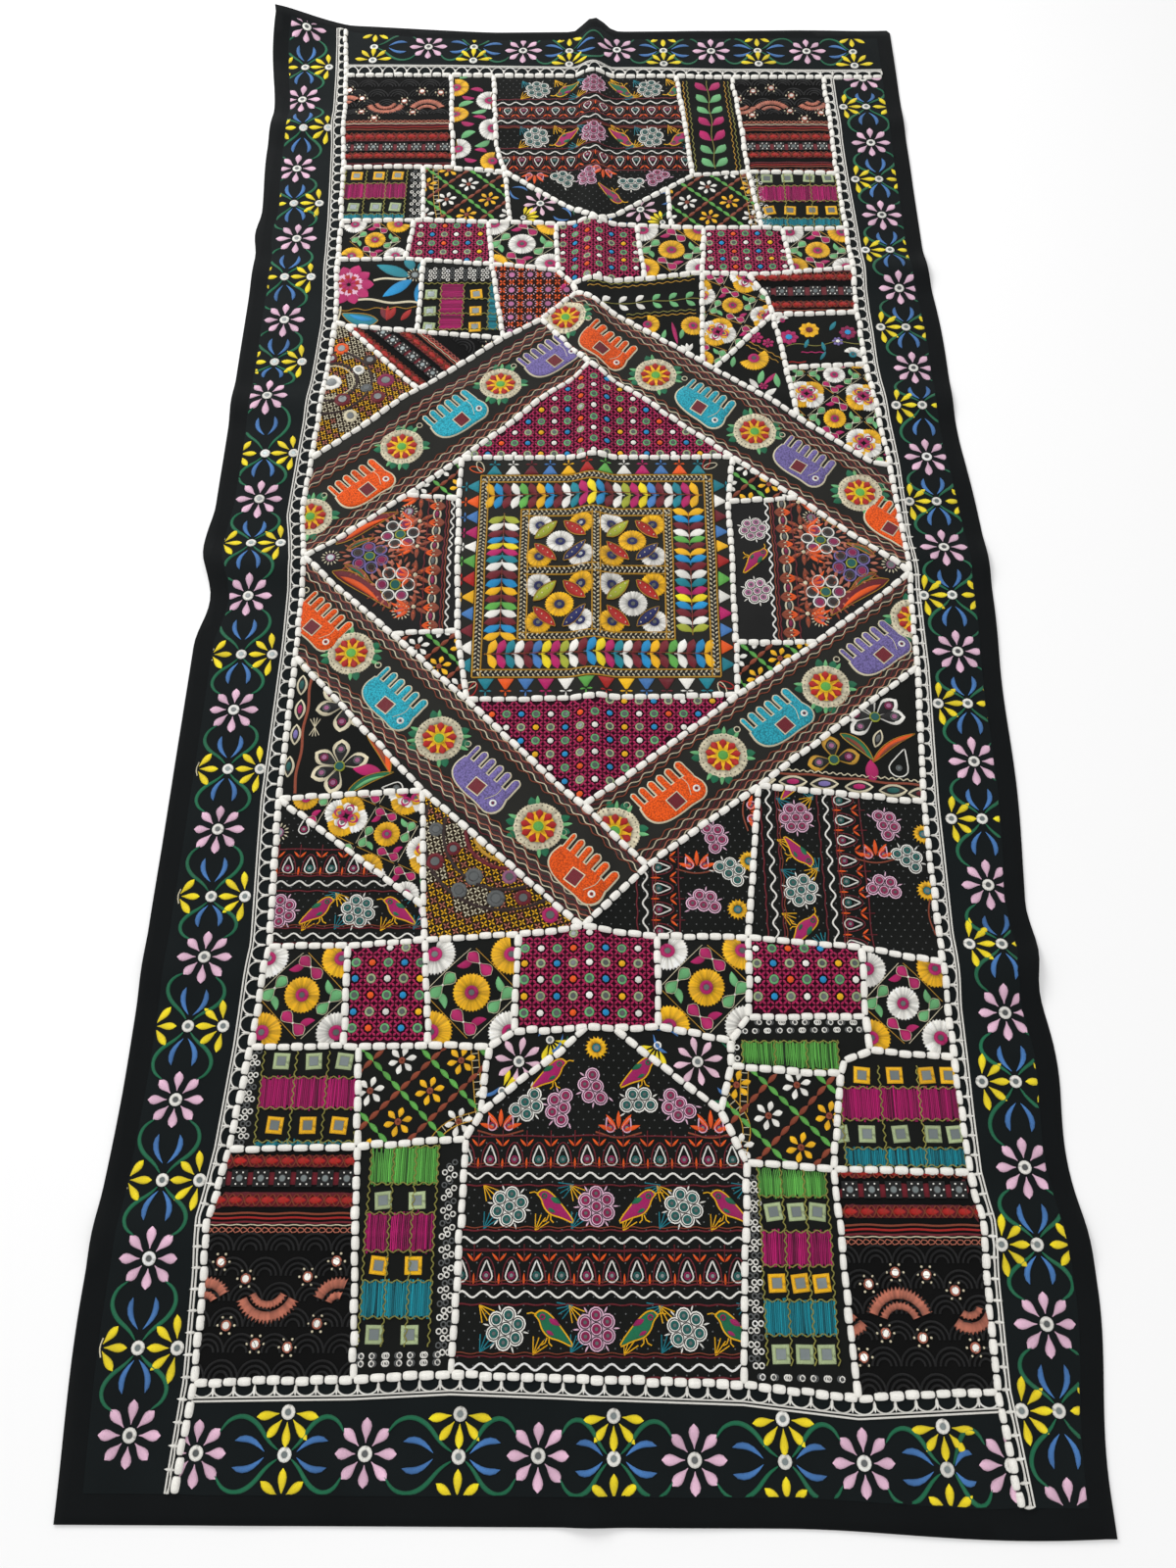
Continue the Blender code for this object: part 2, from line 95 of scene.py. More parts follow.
class Thread(Enum):
    """The colours of thread and cloth, as sRGB from 0 to 1."""

    BLACK = (0.03, 0.03, 0.035)
    WHITE = (0.94, 0.93, 0.90)
    CREAM = (0.86, 0.82, 0.70)
    GREY = (0.36, 0.37, 0.37)
    PINK = (0.90, 0.73, 0.82)
    BLUSH = (0.90, 0.74, 0.81)
    YELLOW = (0.96, 0.86, 0.08)
    SUN = (0.95, 0.71, 0.03)
    GOLD = (0.76, 0.57, 0.16)
    OLIVE = (0.58, 0.56, 0.26)
    VINE = (0.03, 0.41, 0.27)
    BLUE = (0.26, 0.47, 0.72)
    SKY = (0.08, 0.55, 0.78)
    SILK = (0.62, 0.04, 0.36)
    MAGENTA = (0.70, 0.06, 0.38)
    TEAL = (0.05, 0.50, 0.56)
    GREEN = (0.36, 0.66, 0.28)
    LEAF = (0.42, 0.70, 0.46)
    PALE = (0.66, 0.72, 0.54)
    MAROON = (0.42, 0.06, 0.12)
    RED = (0.68, 0.09, 0.07)
    ORANGE = (0.92, 0.34, 0.04)
    TURQUOISE = (0.16, 0.66, 0.74)
    LAVENDER = (0.47, 0.42, 0.66)
    CERISE = (0.68, 0.06, 0.32)
    COPPER = (0.74, 0.43, 0.34)
    RUST = (0.55, 0.25, 0.15)
    MAUVE = (0.62, 0.38, 0.52)
    EARTH = (0.17, 0.10, 0.08)
    GLASS = (0.46, 0.49, 0.49)
    LIME = (0.64, 0.67, 0.20)
    NAVY = (0.10, 0.13, 0.36)
    PINE = (0.05, 0.34, 0.32)
    WINE = (0.52, 0.05, 0.28)

    @property
    def linear(self) -> np.ndarray:
        """The colour as linear light."""
        return to_linear(self.value)


def to_linear(colour: tuple) -> np.ndarray:
    """An sRGB colour as linear light: the standard curve, a power of 2.4 above a short straight foot."""
    c = np.asarray(colour, float)
    return np.where(c <= 0.04045, c / 12.92, ((c + 0.055) / 1.055) ** 2.4)


class Slot(Enum):
    """The finishes that one stitched piece can carry, in the order of its material slots."""

    THREAD = 0
    GLASS = 1
    CURLED = 2


@dataclass(frozen=True)
class Wave:
    """One bulge (out above 0) or dip of an edge: where it is along it, and how far it reaches, in mm."""

    side: str
    at: float
    out: float
    reach: float


@dataclass(frozen=True)
class Ridge:
    """One soft crease: the axis it runs along, its crest, half width, and its height at both ends, in mm."""

    along: str
    at: float
    reach: float
    low_end: float
    high_end: float


@dataclass(frozen=True)
class ClothShape:
    """The outline and the folds of the laid cloth, all in millimetres."""

    edges: tuple = (("left", -506.0), ("right", 512.0), ("bottom", -1078.0), ("top", 1097.0))
    waves: tuple = (
        Wave("left", 1050, 22, 190), Wave("left", 820, 8, 170), Wave("left", 630, 6, 50),
        Wave("left", 60, 7, 60), Wave("left", -35, -12, 70), Wave("left", -890, 10, 240),
        Wave("right", 400, 10, 200), Wave("right", 0, 24, 420), Wave("right", -330, 12, 210),
        Wave("right", -505, 9, 55), Wave("right", -640, 13, 130), Wave("right", -860, 19, 190),
        Wave("top", -450, 22, 300), Wave("top", 14, 18, 44), Wave("top", 470, -4, 120),
        Wave("bottom", 430, 9, 240),
    )
    ridges: tuple = (
        Ridge("y", 10, 34, 5, 13), Ridge("x", 866, 46, 8, 3), Ridge("x", 545, 46, 3, 7),
        Ridge("x", 296, 44, 6, 4), Ridge("x", 22, 48, 9, 6), Ridge("x", -532, 48, 4, 10),
        Ridge("x", -815, 44, 5, 5),
    )
    curl_corner: tuple = (-545.0, 1150.0)
    curl_height: float = 62.0
    curl_reach: float = 150.0

    def edge_line(self, side: str, along: np.ndarray, inset: float = 0.0) -> np.ndarray:
        """Points along one edge: its straight place plus a raised cosine for each wave.

        Args:
            side: the edge's name.
            along: places along the edge, in mm.
            inset: how far in from the edge the line lies, in mm.

        Returns:
            The points, as an array of x and y.
        """
        out = {"left": -1, "right": 1, "bottom": -1, "top": 1}[side]
        at = np.full(len(along), dict(self.edges)[side] - out * inset)
        for wave in self.waves:
            if wave.side == side:
                at += out * wave.out * hump((along - wave.at) / wave.reach)
        return np.column_stack([at, along] if side in ("left", "right") else [along, at])

    def outline(self, step: float = 14.0) -> np.ndarray:
        """The ring of the whole cloth, counterclockwise from its bottom left corner.

        Args:
            step: the distance between points, in mm.

        Returns:
            The ring's points.
        """
        low, high = dict(self.edges)["bottom"], dict(self.edges)["top"]
        corner = self.edge_line("left", np.array([low, high]))
        other = self.edge_line("right", np.array([low, high]))
        bottom = self.edge_line("bottom", np.arange(corner[0, 0], other[0, 0], step))
        top = self.edge_line("top", np.arange(corner[1, 0], other[1, 0], step))
        right = self.edge_line("right", np.arange(bottom[-1, 1], top[-1, 1], step))
        left = self.edge_line("left", np.arange(bottom[0, 1], top[0, 1], step))
        return np.vstack([bottom, right, top[::-1], left[::-1]])

    def height(self, plan: np.ndarray) -> np.ndarray:
        """How far the cloth stands off the surface: raised cosines over its creases, and its curl.

        Args:
            plan: points as x and y, in mm.

        Returns:
            One height for each point, in mm.
        """
        ends = dict(self.edges)
        total = np.zeros(len(plan))
        for ridge in self.ridges:
            along, across = (plan[:, 1], plan[:, 0]) if ridge.along == "y" else (plan[:, 0], plan[:, 1])
            low, high = (ends["bottom"], ends["top"]) if ridge.along == "y" else (ends["left"], ends["right"])
            share = np.clip((along - low) / (high - low), 0, 1)
            crest = ridge.low_end + share * (ridge.high_end - ridge.low_end)
            total += crest * hump((across - ridge.at) / ridge.reach) ** 0.9
        away = np.hypot(*(plan - np.array(self.curl_corner)).T)
        curl = self.curl_height * np.clip(1 - away / self.curl_reach, 0, None) ** 1.5
        return total + curl + self.ripple(plan)

    @staticmethod
    def ripple(plan: np.ndarray) -> np.ndarray:
        """Small unevenness of old cloth: the positive part of three crossed slow waves, under 2 mm.

        Args:
            plan: points as x and y, in mm.

        Returns:
            One height for each point, in mm.
        """
        x, y = plan[:, 0], plan[:, 1]
        waves = np.sin(x / 61 + y / 190) + np.sin(y / 47 - x / 150 + 1.3) + np.sin((x + y) / 33)
        return 0.45 * np.clip(waves, 0, None)

    @property
    def middle(self) -> np.ndarray:
        """The middle of the outline's box, which is the frame's origin."""
        ring = self.outline(step=1.0)
        return (ring.min(axis=0) + ring.max(axis=0)) / 2


def hump(share: np.ndarray) -> np.ndarray:
    """A soft hump: 1 in the middle and 0 at one reach away and beyond, along a raised cosine."""
    return np.clip(0.5 * (1 + np.cos(np.pi * np.clip(np.abs(share), 0, 1))), 0, 1)


CLOTH = ClothShape()
MIDDLE = CLOTH.middle

# Where seams meet or bend, as x and y
JUNCTIONS = {
    "a0": (-402, 990), "a1": (-226, 989), "a2": (-155, 987), "a3": (148, 981), "a4": (240, 978),
    "a5": (391, 977),
    "b0": (-388, 773), "b1": (-260, 773), "b2": (-212, 770), "b3": (-130, 760), "b4": (18, 646),
    "b5": (128, 722), "b6": (168, 750), "b7": (256, 756), "b8": (395, 752), "v1": (-145, 815),
    "c0": (-381, 655), "c1": (-267, 655), "c2": (-253, 656), "c3": (-152, 651), "c4": (-118, 650),
    "c5": (-47, 646), "c6": (78, 641), "c7": (130, 638), "c8": (182, 635), "c9": (270, 634),
    "c10": (302, 632), "c11": (399, 633),
    "d0": (-378, 572), "d1": (-275, 573), "d2": (-247, 570), "d3": (-142, 558), "d4": (-42, 543),
    "d5": (-22, 519), "d6": (88, 527), "d7": (174, 537), "d8": (243, 534), "d9": (310, 536),
    "d10": (401, 545),
    "e0": (-371, 446), "e1": (-355, 441), "e2": (-249, 429), "e3": (-122, 415),
    "f0": (-382, 196), "f1": (-240, 318), "w0": (-386, 100),
    "g0": (-15, 503), "g2": (170, 368), "g3": (186, 356), "g4": (299, 266), "g5": (398, 186),
    "g6": (422, 181),
    "k0": (276, 458), "k1": (270, 495), "k2": (401, 461), "k3": (290, 356), "k4": (405, 362),
    "h0": (-66, 452), "h1": (6, 360), "i0": (-374, 28), "i1": (430, 3), "i2": (0, -331),
    "i3": (-245, 134), "i4": (-172, 197), "i5": (205, 197), "i6": (290, 127), "i7": (-250, -87),
    "i8": (-149, -183), "i9": (194, -178), "i10": (300, -100),
    "j0": (-173, 128), "j1": (-165, -81), "j2": (196, 121), "j3": (196, -101),
    "m0": (-372, -121), "m2": (0, -482), "n0": (-372, -319), "n1": (-197, -308),
    "o0": (-187, -456), "p0": (76, -405), "p1": (214, -302), "p2": (425, -137), "p3": (413, -324),
    "q0": (-363, -505), "q1": (-271, -504), "q2": (-182, -497), "q3": (-74, -490),
    "q5": (86, -492), "q6": (191, -494), "q7": (319, -507), "q8": (410, -525),
    "r0": (-370, -620), "r1": (-267, -619), "r2": (-250, -620), "r3": (-172, -618),
    "r4": (-104, -620), "r5": (-77, -603), "r6": (6, -599), "r7": (36, -600), "r8": (86, -597),
    "r9": (165, -612), "r10": (187, -586), "r11": (318, -585), "r12": (320, -623),
    "r13": (412, -631), "r14": (290, -634),
    "s0": (-381, -730), "s1": (-243, -727), "s2": (-125, -719), "s3": (-110, -691),
    "s4": (151, -689), "s5": (165, -641), "s6": (285, -649), "s7": (177, -742),
    "s8": (269, -749), "s9": (413, -752), "x0": (-393, -800), "x1": (420, -800),
    "t0": (-388, -955), "t1": (-228, -952), "t2": (-130, -947), "t3": (163, -955),
    "t4": (276, -967), "t5": (415, -960),
    "u0": (-412, 1105), "u1": (488, 977), "u2": (-394, -1052), "u3": (424, -1060),
}

# The patches, each as the junctions round it, counterclockwise
PATCHES = {
    "copper_top_left": "a0 b0 b1 b2 a1",
    "buds_top": "a1 b2 b3 v1 a2",
    "birds_top": "a2 v1 b3 b4 b5 b6 a3",
    "leaves_top": "a3 b6 b7 a4",
    "copper_top_right": "a4 b7 b8 a5",
    "silk_top_left": "b0 c0 c1 c2 b1",
    "trellis_top_left": "b1 c2 c3 c4 b3 b2",
    "scrap_top_left": "b3 c4 c5 b4",
    "scrap_top_right": "b4 c6 c7 b5",
    "trellis_top_right": "b5 c7 c8 c9 b7 b6",
    "silk_top_right": "b7 c9 c10 c11 b8",
    "blooms_upper_1": "c0 d0 d1 c1",
    "mirrors_upper_2": "c1 d1 d2 d3 c3 c2",
    "blooms_upper_3": "c3 d3 d4 c5 c4",
    "mirrors_upper_4": "c5 d4 d5 d6 c6 b4",
    "blooms_upper_5": "c6 d6 d7 c8 c7",
    "mirrors_upper_6": "c8 d7 d8 d9 c10 c9",
    "blooms_upper_7": "c10 d9 d10 c11",
    "peony_left": "d0 e0 e1 e2 d2 d1",
    "silk_left": "d2 e2 e3 d3",
    "rosettes_left": "d3 e3 h0 g0 d5 d4",
    "copper_left": "e1 f1 e3 e2",
    "sequins_left": "e0 f0 f1 e1",
    "leaves_right": "d5 g0 g2 d7 d6",
    "blooms_right": "d7 g2 g3 k0 k1 d8",
    "copper_right": "d8 k1 k0 k2 d10 d9",
    "meadow_right": "k0 k3 k4 k2",
    "buds_right": "g3 g4 k3 k0",
    "blooms_right_low": "k3 g4 g5 g6 k4",
    "elephants_upper_left": "f0 w0 i0 i3 i4 h1 h0 e3 f1",
    "elephants_upper_right": "g0 h0 h1 i5 i6 i1 g6 g5 g4 g3 g2",
    "elephants_lower_left": "i0 m0 n1 m2 p0 i2 i8 i7",
    "elephants_lower_right": "i2 p0 p1 p2 i1 i10 i9",
    "mirrors_point_top": "i4 i5 h1",
    "mirrors_point_low": "i8 i2 i9",
    "centre_square": "i4 j0 j1 i8 i9 j3 j2 i5",
    "corner_left_upper": "i3 j0 i4",
    "lace_left": "i0 i7 j1 j0 i3",
    "corner_left_lower": "i7 i8 j1",
    "corner_right_upper": "j2 i6 i5",
    "lace_right": "j2 j3 i10 i1 i6",
    "corner_right_lower": "j3 i9 i10",
    "arches_left": "m0 n0 n1",
    "blooms_left": "n0 o0 n1",
    "birds_left": "n0 q0 q1 q2 o0",
    "sequins_low": "n1 o0 q2 q3 m2",
    "arches_right": "p1 p3 p2",
    "birds_right_inner": "m2 q5 q6 p1 p0",
    "birds_right_outer": "p1 q6 q7 q8 p3",
    "blooms_lower_1": "q0 r0 r1 q1",
    "mirrors_lower_2": "q1 r1 r2 r3 q2",
    "blooms_lower_3": "q2 r3 r4 r5 q3",
    "mirrors_lower_4": "q3 r5 r6 r7 r8 q5 m2",
    "blooms_lower_5": "q5 r8 r9 r10 q6",
    "mirrors_lower_6": "q6 r10 r11 q7",
    "blooms_lower_7": "q7 r11 r12 r13 q8",
    "silk_low_left": "r0 s0 s1 r2 r1",
    "trellis_low_left": "r2 s1 s2 s3 r4 r3",
    "scrap_low_left": "r4 s3 r6 r5",
    "birds_low": "r6 s3 s2 t2 t3 s7 s4 r7",
    "scrap_low_right": "r7 s4 s5 r9 r8",
    "silk_green": "r10 r9 s5 s6 r14 r12 r11",
    "trellis_low_right": "s5 s4 s7 s8 s6",
    "silk_low_right": "r14 s6 s8 s9 r13 r12",
    "copper_low_left": "s0 x0 t0 t1 s1",
    "silk_bottom_left": "s1 t1 t2 s2",
    "silk_bottom_right": "s7 t3 t4 s8",
    "copper_low_right": "s8 t4 t5 x1 s9",
}

# The frame's nodes that hold several patches: patches under each
BLOCKS = {
    "block_left": ("corner_left_upper", "lace_left", "corner_left_lower"),
    "block_right": ("corner_right_upper", "lace_right", "corner_right_lower"),
    "block_trellis_top_left": ("trellis_top_left", "scrap_top_left"),
    "block_trellis_top_right": ("scrap_top_right", "trellis_top_right"),
    "block_trellis_low_left": ("trellis_low_left", "scrap_low_left"),
    "block_trellis_low_right": ("scrap_low_right", "trellis_low_right"),
    "block_blooms_right": ("blooms_right", "buds_right"),
    "block_copper_right": ("copper_right", "meadow_right"),
    "block_birds_left": ("blooms_left", "birds_left"),
    "block_copper_left": ("copper_left", "sequins_left"),
    "block_birds_right": ("birds_right_inner", "birds_right_outer"),
    "block_silk_green": ("mirrors_lower_6", "silk_green"),
    "block_silk_left": ("silk_left", "rosettes_left"),
    "block_leaves_top": ("leaves_top", "copper_top_right"),
}

# The junctions along the field's four sides, counterclockwise from its top left corner, and the cords' tails
FIELD_LEFT = "a0 b0 c0 d0 e0 f0 w0 i0 m0 n0 q0 r0 s0 x0 t0".split()
FIELD_BOTTOM = "t0 t1 t2 t3 t4 t5".split()
FIELD_RIGHT = "t5 x1 s9 r13 q8 p3 p2 i1 g6 k4 k2 d10 c11 b8 a5".split()
FIELD_TOP = "a5 a4 a3 a2 a1 a0".split()
CORD_TAILS = (("a0", "u0"), ("a5", "u1"), ("t0", "u2"), ("t5", "u3"))


def node_of(patch: str) -> str:
    """The frame's node that holds a patch."""
    return next((block for block, members in BLOCKS.items() if patch in members), f"patch_{patch}")


def ring_of(names: str | list) -> np.ndarray:
    """The points of the named junctions."""
    listed = names.split() if isinstance(names, str) else names
    return np.array([JUNCTIONS[name] for name in listed], float)


def seam_distance(plan: np.ndarray, ring: np.ndarray) -> tuple[np.ndarray, np.ndarray, np.ndarray]:
    """How far points lie from a ring, and which lie inside it by the even count of crossings.

    Args:
        plan: points as x and y.
        ring: the ring's corners.

    Returns:
        The distances, the nearest points on the ring, and whether each point is inside.
    """
    a, b = ring, np.roll(ring, -1, axis=0)
    side = b - a
    rel = plan[:, None, :] - a[None]
    share = np.clip((rel * side).sum(-1) / np.maximum(1e-9, (side**2).sum(-1)), 0, 1)
    near = a[None] + share[..., None] * side[None]
    apart = np.hypot(*(plan[:, None, :] - near).transpose(2, 0, 1))
    best = apart.argmin(axis=1)
    rows = np.arange(len(plan))
    crosses = (a[None, :, 1] > plan[:, None, 1]) != (b[None, :, 1] > plan[:, None, 1])
    rise = np.where(side[:, 1] == 0, 1e-9, side[:, 1])
    at_x = a[None, :, 0] + (plan[:, None, 1] - a[None, :, 1]) * side[None, :, 0] / rise[None]
    inside = (crosses & (plan[:, None, 0] < at_x)).sum(axis=1) % 2 == 1
    return apart[rows, best], near[rows, best], inside


def inset(ring: np.ndarray, distance: float) -> np.ndarray:
    """The ring with every side moved in by distance and its corners mitred.

    Args:
        ring: a counterclockwise ring.
        distance: how far in, in mm.

    Returns:
        The moved ring.
    """
    before = unit(ring - np.roll(ring, 1, axis=0))
    after = unit(np.roll(ring, -1, axis=0) - ring)
    normals = np.column_stack([-before[:, 1] - after[:, 1], before[:, 0] + after[:, 0]])
    return ring + normals * (distance / np.maximum(0.35, 1 + (before * after).sum(1)))[:, None]


def unit(vectors: np.ndarray) -> np.ndarray:
    """Vectors scaled to length 1."""
    return vectors / np.maximum(1e-9, np.hypot(*vectors.T))[:, None]


def resampled(path: np.ndarray, step: float) -> np.ndarray:
    """Points spaced evenly along a path of straight runs, about one step apart.

    Args:
        path: the path's points.
        step: the distance between points, in mm.

    Returns:
        The points.
    """
    lengths = np.concatenate([[0], np.cumsum(np.hypot(*np.diff(path, axis=0).T))])
    places = np.linspace(0, lengths[-1], max(2, round(lengths[-1] / step) + 1))
    return np.column_stack([np.interp(places, lengths, path[:, k]) for k in range(2)])


def smooth(path: np.ndarray, step: float = 3.0) -> np.ndarray:
    """A path rounded by cutting its corners twice, each at a quarter of its sides, then spaced evenly.

    Args:
        path: the path's points.
        step: the distance between points, in mm.

    Returns:
        The rounded path.
    """
    line = np.asarray(path, float)
    for _ in range(2):
        cut = np.repeat(line[:-1], 2, axis=0)
        cut[0::2] = 0.75 * line[:-1] + 0.25 * line[1:]
        cut[1::2] = 0.25 * line[:-1] + 0.75 * line[1:]
        line = np.vstack([line[:1], cut, line[-1:]])
    return resampled(line, step)


@dataclass
class Form:
    """One stitched shape: points and grain in mm, faces (last corner -1 for a triangle), and shade, a factor
    on its colour that is mostly painted shade.
    """

    points: np.ndarray
    faces: np.ndarray
    grain: np.ndarray
    shade: np.ndarray | float = 1.0


def grid_faces(rows: int, columns: int, round_rows: bool = False, round_columns: bool = False) -> np.ndarray:
    """The faces of a grid of points numbered row by row, anticlockwise for rows along +x, columns along +y.

    Args:
        rows: how many rows of points.
        columns: how many points in a row.
        round_rows: whether the last row joins the first.
        round_columns: whether each row closes on itself.

    Returns:
        One row of four corners for each face.
    """
    i, j = np.meshgrid(np.arange(rows if round_rows else rows - 1),
                       np.arange(columns if round_columns else columns - 1), indexing="ij")
    i, j = i.ravel(), j.ravel()
    i2, j2 = (i + 1) % rows, (j + 1) % columns
    return np.column_stack([i * columns + j, i2 * columns + j, i2 * columns + j2, i * columns + j2])


def petal(length: float, width: float, belly: float = 1.0, bend: float = 0.0, hook: float = 0.0,
          height: float = 0.9, rows: int = 7) -> Form:
    """A satin-stitched petal or leaf along +x from the origin.

    Its half width follows the sine of pi times the share along it to the power of belly, so a belly
    over 1 is widest near the tip. Its middle line bends by bend times a sine and by hook times the
    square of the share, and it is domed across.

    Args:
        length: its length.
        width: its greatest width.
        belly: where it is widest.
        bend: how far its middle line bows sideways.
        hook: how far its tip is drawn sideways.
        height: how high it stands.
        rows: how many rows of points along it.

    Returns:
        The petal.
    """
    u = np.linspace(0, 1, rows)[:, None]
    v = np.array([-1, -0.55, 0.55, 1])[None]
    half = width / 2 * np.maximum(0.06, np.sin(np.pi * u**belly) ** 0.75)
    middle = bend * np.sin(np.pi * u) + hook * u**2
    lean = np.arctan2(bend * np.pi * np.cos(np.pi * u) + 2 * hook * u, length)
    x = u * length - np.sin(lean) * half * v
    y = middle + np.cos(lean) * half * v
    z = height * np.where(np.abs(v) < 0.9, 1.0, -0.35) * np.maximum(0.25, half / (width / 2))
    # Painted shade along both edges; the colour is also lighter towards the tip.
    shade = (0.74 + 0.34 * u) * np.where(np.abs(v) < 0.9, 1.05, 0.6)
    return Form(np.dstack([x, y, z]).reshape(-1, 3), grid_faces(rows, 4), np.dstack([x, y]).reshape(-1, 2),
                shade.ravel())


def ribbon(path: np.ndarray, width: float, height: float = 0.8, closed: bool = False,
           taper: float = 0.0) -> Form:
    """A raised line of stitches: a low roof carried along a path.

    Args:
        path: the path's points.
        width: the line's width.
        height: how high its ridge stands.
        closed: whether the path's ends meet.
        taper: how much thinner its ends are, from 0 to 1.

    Returns:
        The line.
    """
    path = np.asarray(path, float)
    ahead = np.roll(path, -1, axis=0) - np.roll(path, 1, axis=0) if closed else np.gradient(path, axis=0)
    ahead = unit(ahead)
    across = np.column_stack([-ahead[:, 1], ahead[:, 0]])
    steps = np.hypot(*np.diff(path, axis=0).T)
    s = np.concatenate([[0], np.cumsum(steps)])
    share = s / max(1e-6, s[-1])
    half = width / 2 * (1 - taper * (1 - np.sin(np.pi * share) ** 0.6))
    v = np.array([-1.0, 0.0, 1.0])
    plan = path[:, None] + across[:, None] * (half[:, None] * v)[..., None]
    z = np.array([-0.25, height, -0.25])[None] + 0 * s[:, None]
    grain = np.dstack([s[:, None] + 0 * v, half[:, None] * v])
    points = np.dstack([plan, z]).reshape(-1, 3)
    # Painted shade along both sides and a painted highlight along the ridge.
    shade = np.tile([0.62, 1.08, 0.62], len(path))
    return Form(points, grid_faces(len(path), 3, round_rows=closed), grain.reshape(-1, 2), shade)


def capsule(path: np.ndarray, width: float, height: float = 1.6) -> Form:
    """A round-ended finger along a path, its half width a quarter circle at each end, domed across.

    Args:
        path: the path's points.
        width: the finger's width.
        height: how high it stands.

    Returns:
        The finger.
    """
    fine = resampled(np.asarray(path, float), width / 7)
    ahead = unit(np.gradient(fine, axis=0))
    s = np.linspace(0, 1, len(fine)) * np.hypot(*np.diff(fine, axis=0).T).sum()
    near = np.minimum(1, np.minimum(s, s[-1] - s) / (width / 2))
    half = width / 2 * np.sqrt(np.maximum(0.03, 1 - (1 - near) ** 2))
    v = np.array([-1.0, -0.7, 0.0, 0.7, 1.0])
    across = np.column_stack([-ahead[:, 1], ahead[:, 0]])
    plan = fine[:, None] + across[:, None] * (half[:, None] * v)[..., None]
    z = np.array([-0.4, 0.8, 1.0, 0.8, -0.4]) * height * (half / half.max())[:, None] ** 0.5
    # Painted shade at the sides and a painted highlight along the top.
    shade = np.tile([0.6, 0.95, 1.06, 0.95, 0.6], len(fine))
    points = np.dstack([plan, z]).reshape(-1, 3)
    return Form(points, grid_faces(len(fine), 5), plan.reshape(-1, 2), shade)


def ring(inner: float, outer: float, sides: int = 14, height: float = 1.0, jag: float = 0.0,
         square: bool = False) -> Form:
    """A ring of radial stitches: a low roof carried round a circle or a square, its rim notched by jag.

    Args:
        inner: its inner radius.
        outer: its outer radius.
        sides: how many corners it has.
        height: how high it stands.
        jag: how deep its rim is notched, as a share of the radius.
        square: whether it is square.

    Returns:
        The ring.
    """
    angle = np.arange(sides) * TURN / sides
    radii = np.array([inner, (inner + outer) / 2, outer])[None] + 0 * angle[:, None]
    radii[:, 2] *= 1 + jag * np.where(np.arange(sides) % 2, -1, 1)
    reach = 1 / np.maximum(np.abs(np.cos(angle)), np.abs(np.sin(angle))) if square else 1 + 0 * angle
    x = radii * (np.cos(angle) * reach)[:, None]
    y = radii * (np.sin(angle) * reach)[:, None]
    z = np.array([0.15, height, -0.3])[None] + 0 * x
    faces = grid_faces(sides, 3, round_rows=True)[:, ::-1]
    grain = np.dstack([angle[:, None] * (inner + outer) / 2 + 0 * radii, radii])
    # Painted shade at the inner and outer rims and a painted highlight along the crest.
    shade = np.tile([0.65, 1.08, 0.65], sides)
    return Form(np.dstack([x, y, z]).reshape(-1, 3), faces, grain.reshape(-1, 2), shade)


def disc(radius: float, sides: int = 12, height: float = 0.4, dome: float = 0.0,
         square: bool = False) -> Form:
    """A flat or domed round, or a square, of stitches or glass.

    Args:
        radius: its radius.
        sides: how many corners it has.
        height: how high it stands.
        dome: how far its rim lies below its middle.
        square: whether it is square.

    Returns:
        The disc.
    """
    angle = np.arange(sides) * TURN / sides
    reach = 1 / np.maximum(np.abs(np.cos(angle)), np.abs(np.sin(angle))) if square else 1 + 0 * angle
    rim = np.column_stack([np.cos(angle) * reach * radius, np.sin(angle) * reach * radius])
    plan = np.vstack([rim, rim * 0.6, [[0, 0]]])
    z = np.concatenate([np.full(sides, height - dome), np.full(sides, height), [height]])
    nxt = (np.arange(sides) + 1) % sides
    here = np.arange(sides)
    walls = np.column_stack([here, nxt, sides + nxt, sides + here])
    fan = np.column_stack([sides + here, sides + nxt, np.full(sides, 2 * sides), np.full(sides, -1)])
    return Form(np.column_stack([plan, z]), np.vstack([walls, fan]), plan.copy())


def blob(outline: np.ndarray, height: float = 1.2, shrink: float = 0.82) -> Form:
    """A filled shape that its own middle can see all of: a dome in rings from its outline to its middle.

    Args:
        outline: its corners.
        height: how high it stands.
        shrink: the first inner ring's size, as a share.

    Returns:
        The dome.
    """
    outline = np.asarray(outline, float)
    count = len(outline)
    centre = outline.mean(axis=0)
    inner = max(1, round(np.ptp(outline, axis=0).max() / 16))
    shares = np.concatenate([[1.0], shrink * np.arange(inner, 0, -1) / inner])
    plan = np.vstack([centre + (outline - centre) * share for share in shares] + [[centre]])
    z = np.concatenate([np.full(count, -0.4), np.full(count * inner, height), [height]])
    here = np.arange(count)
    nxt = (here + 1) % count
    walls = [np.column_stack([here, nxt, count + nxt, count + here]) + k * count for k in range(inner)]
    last = inner * count
    fan = np.column_stack([last + here, last + nxt, np.full(count, last + count), np.full(count, -1)])
    # Painted shade on the outline's ring, darker than the dome.
    shade = np.repeat([0.6, 1.0], [count, count * inner + 1])
    return Form(np.column_stack([plan, z]), np.vstack([*walls, fan]), plan.copy(), shade)


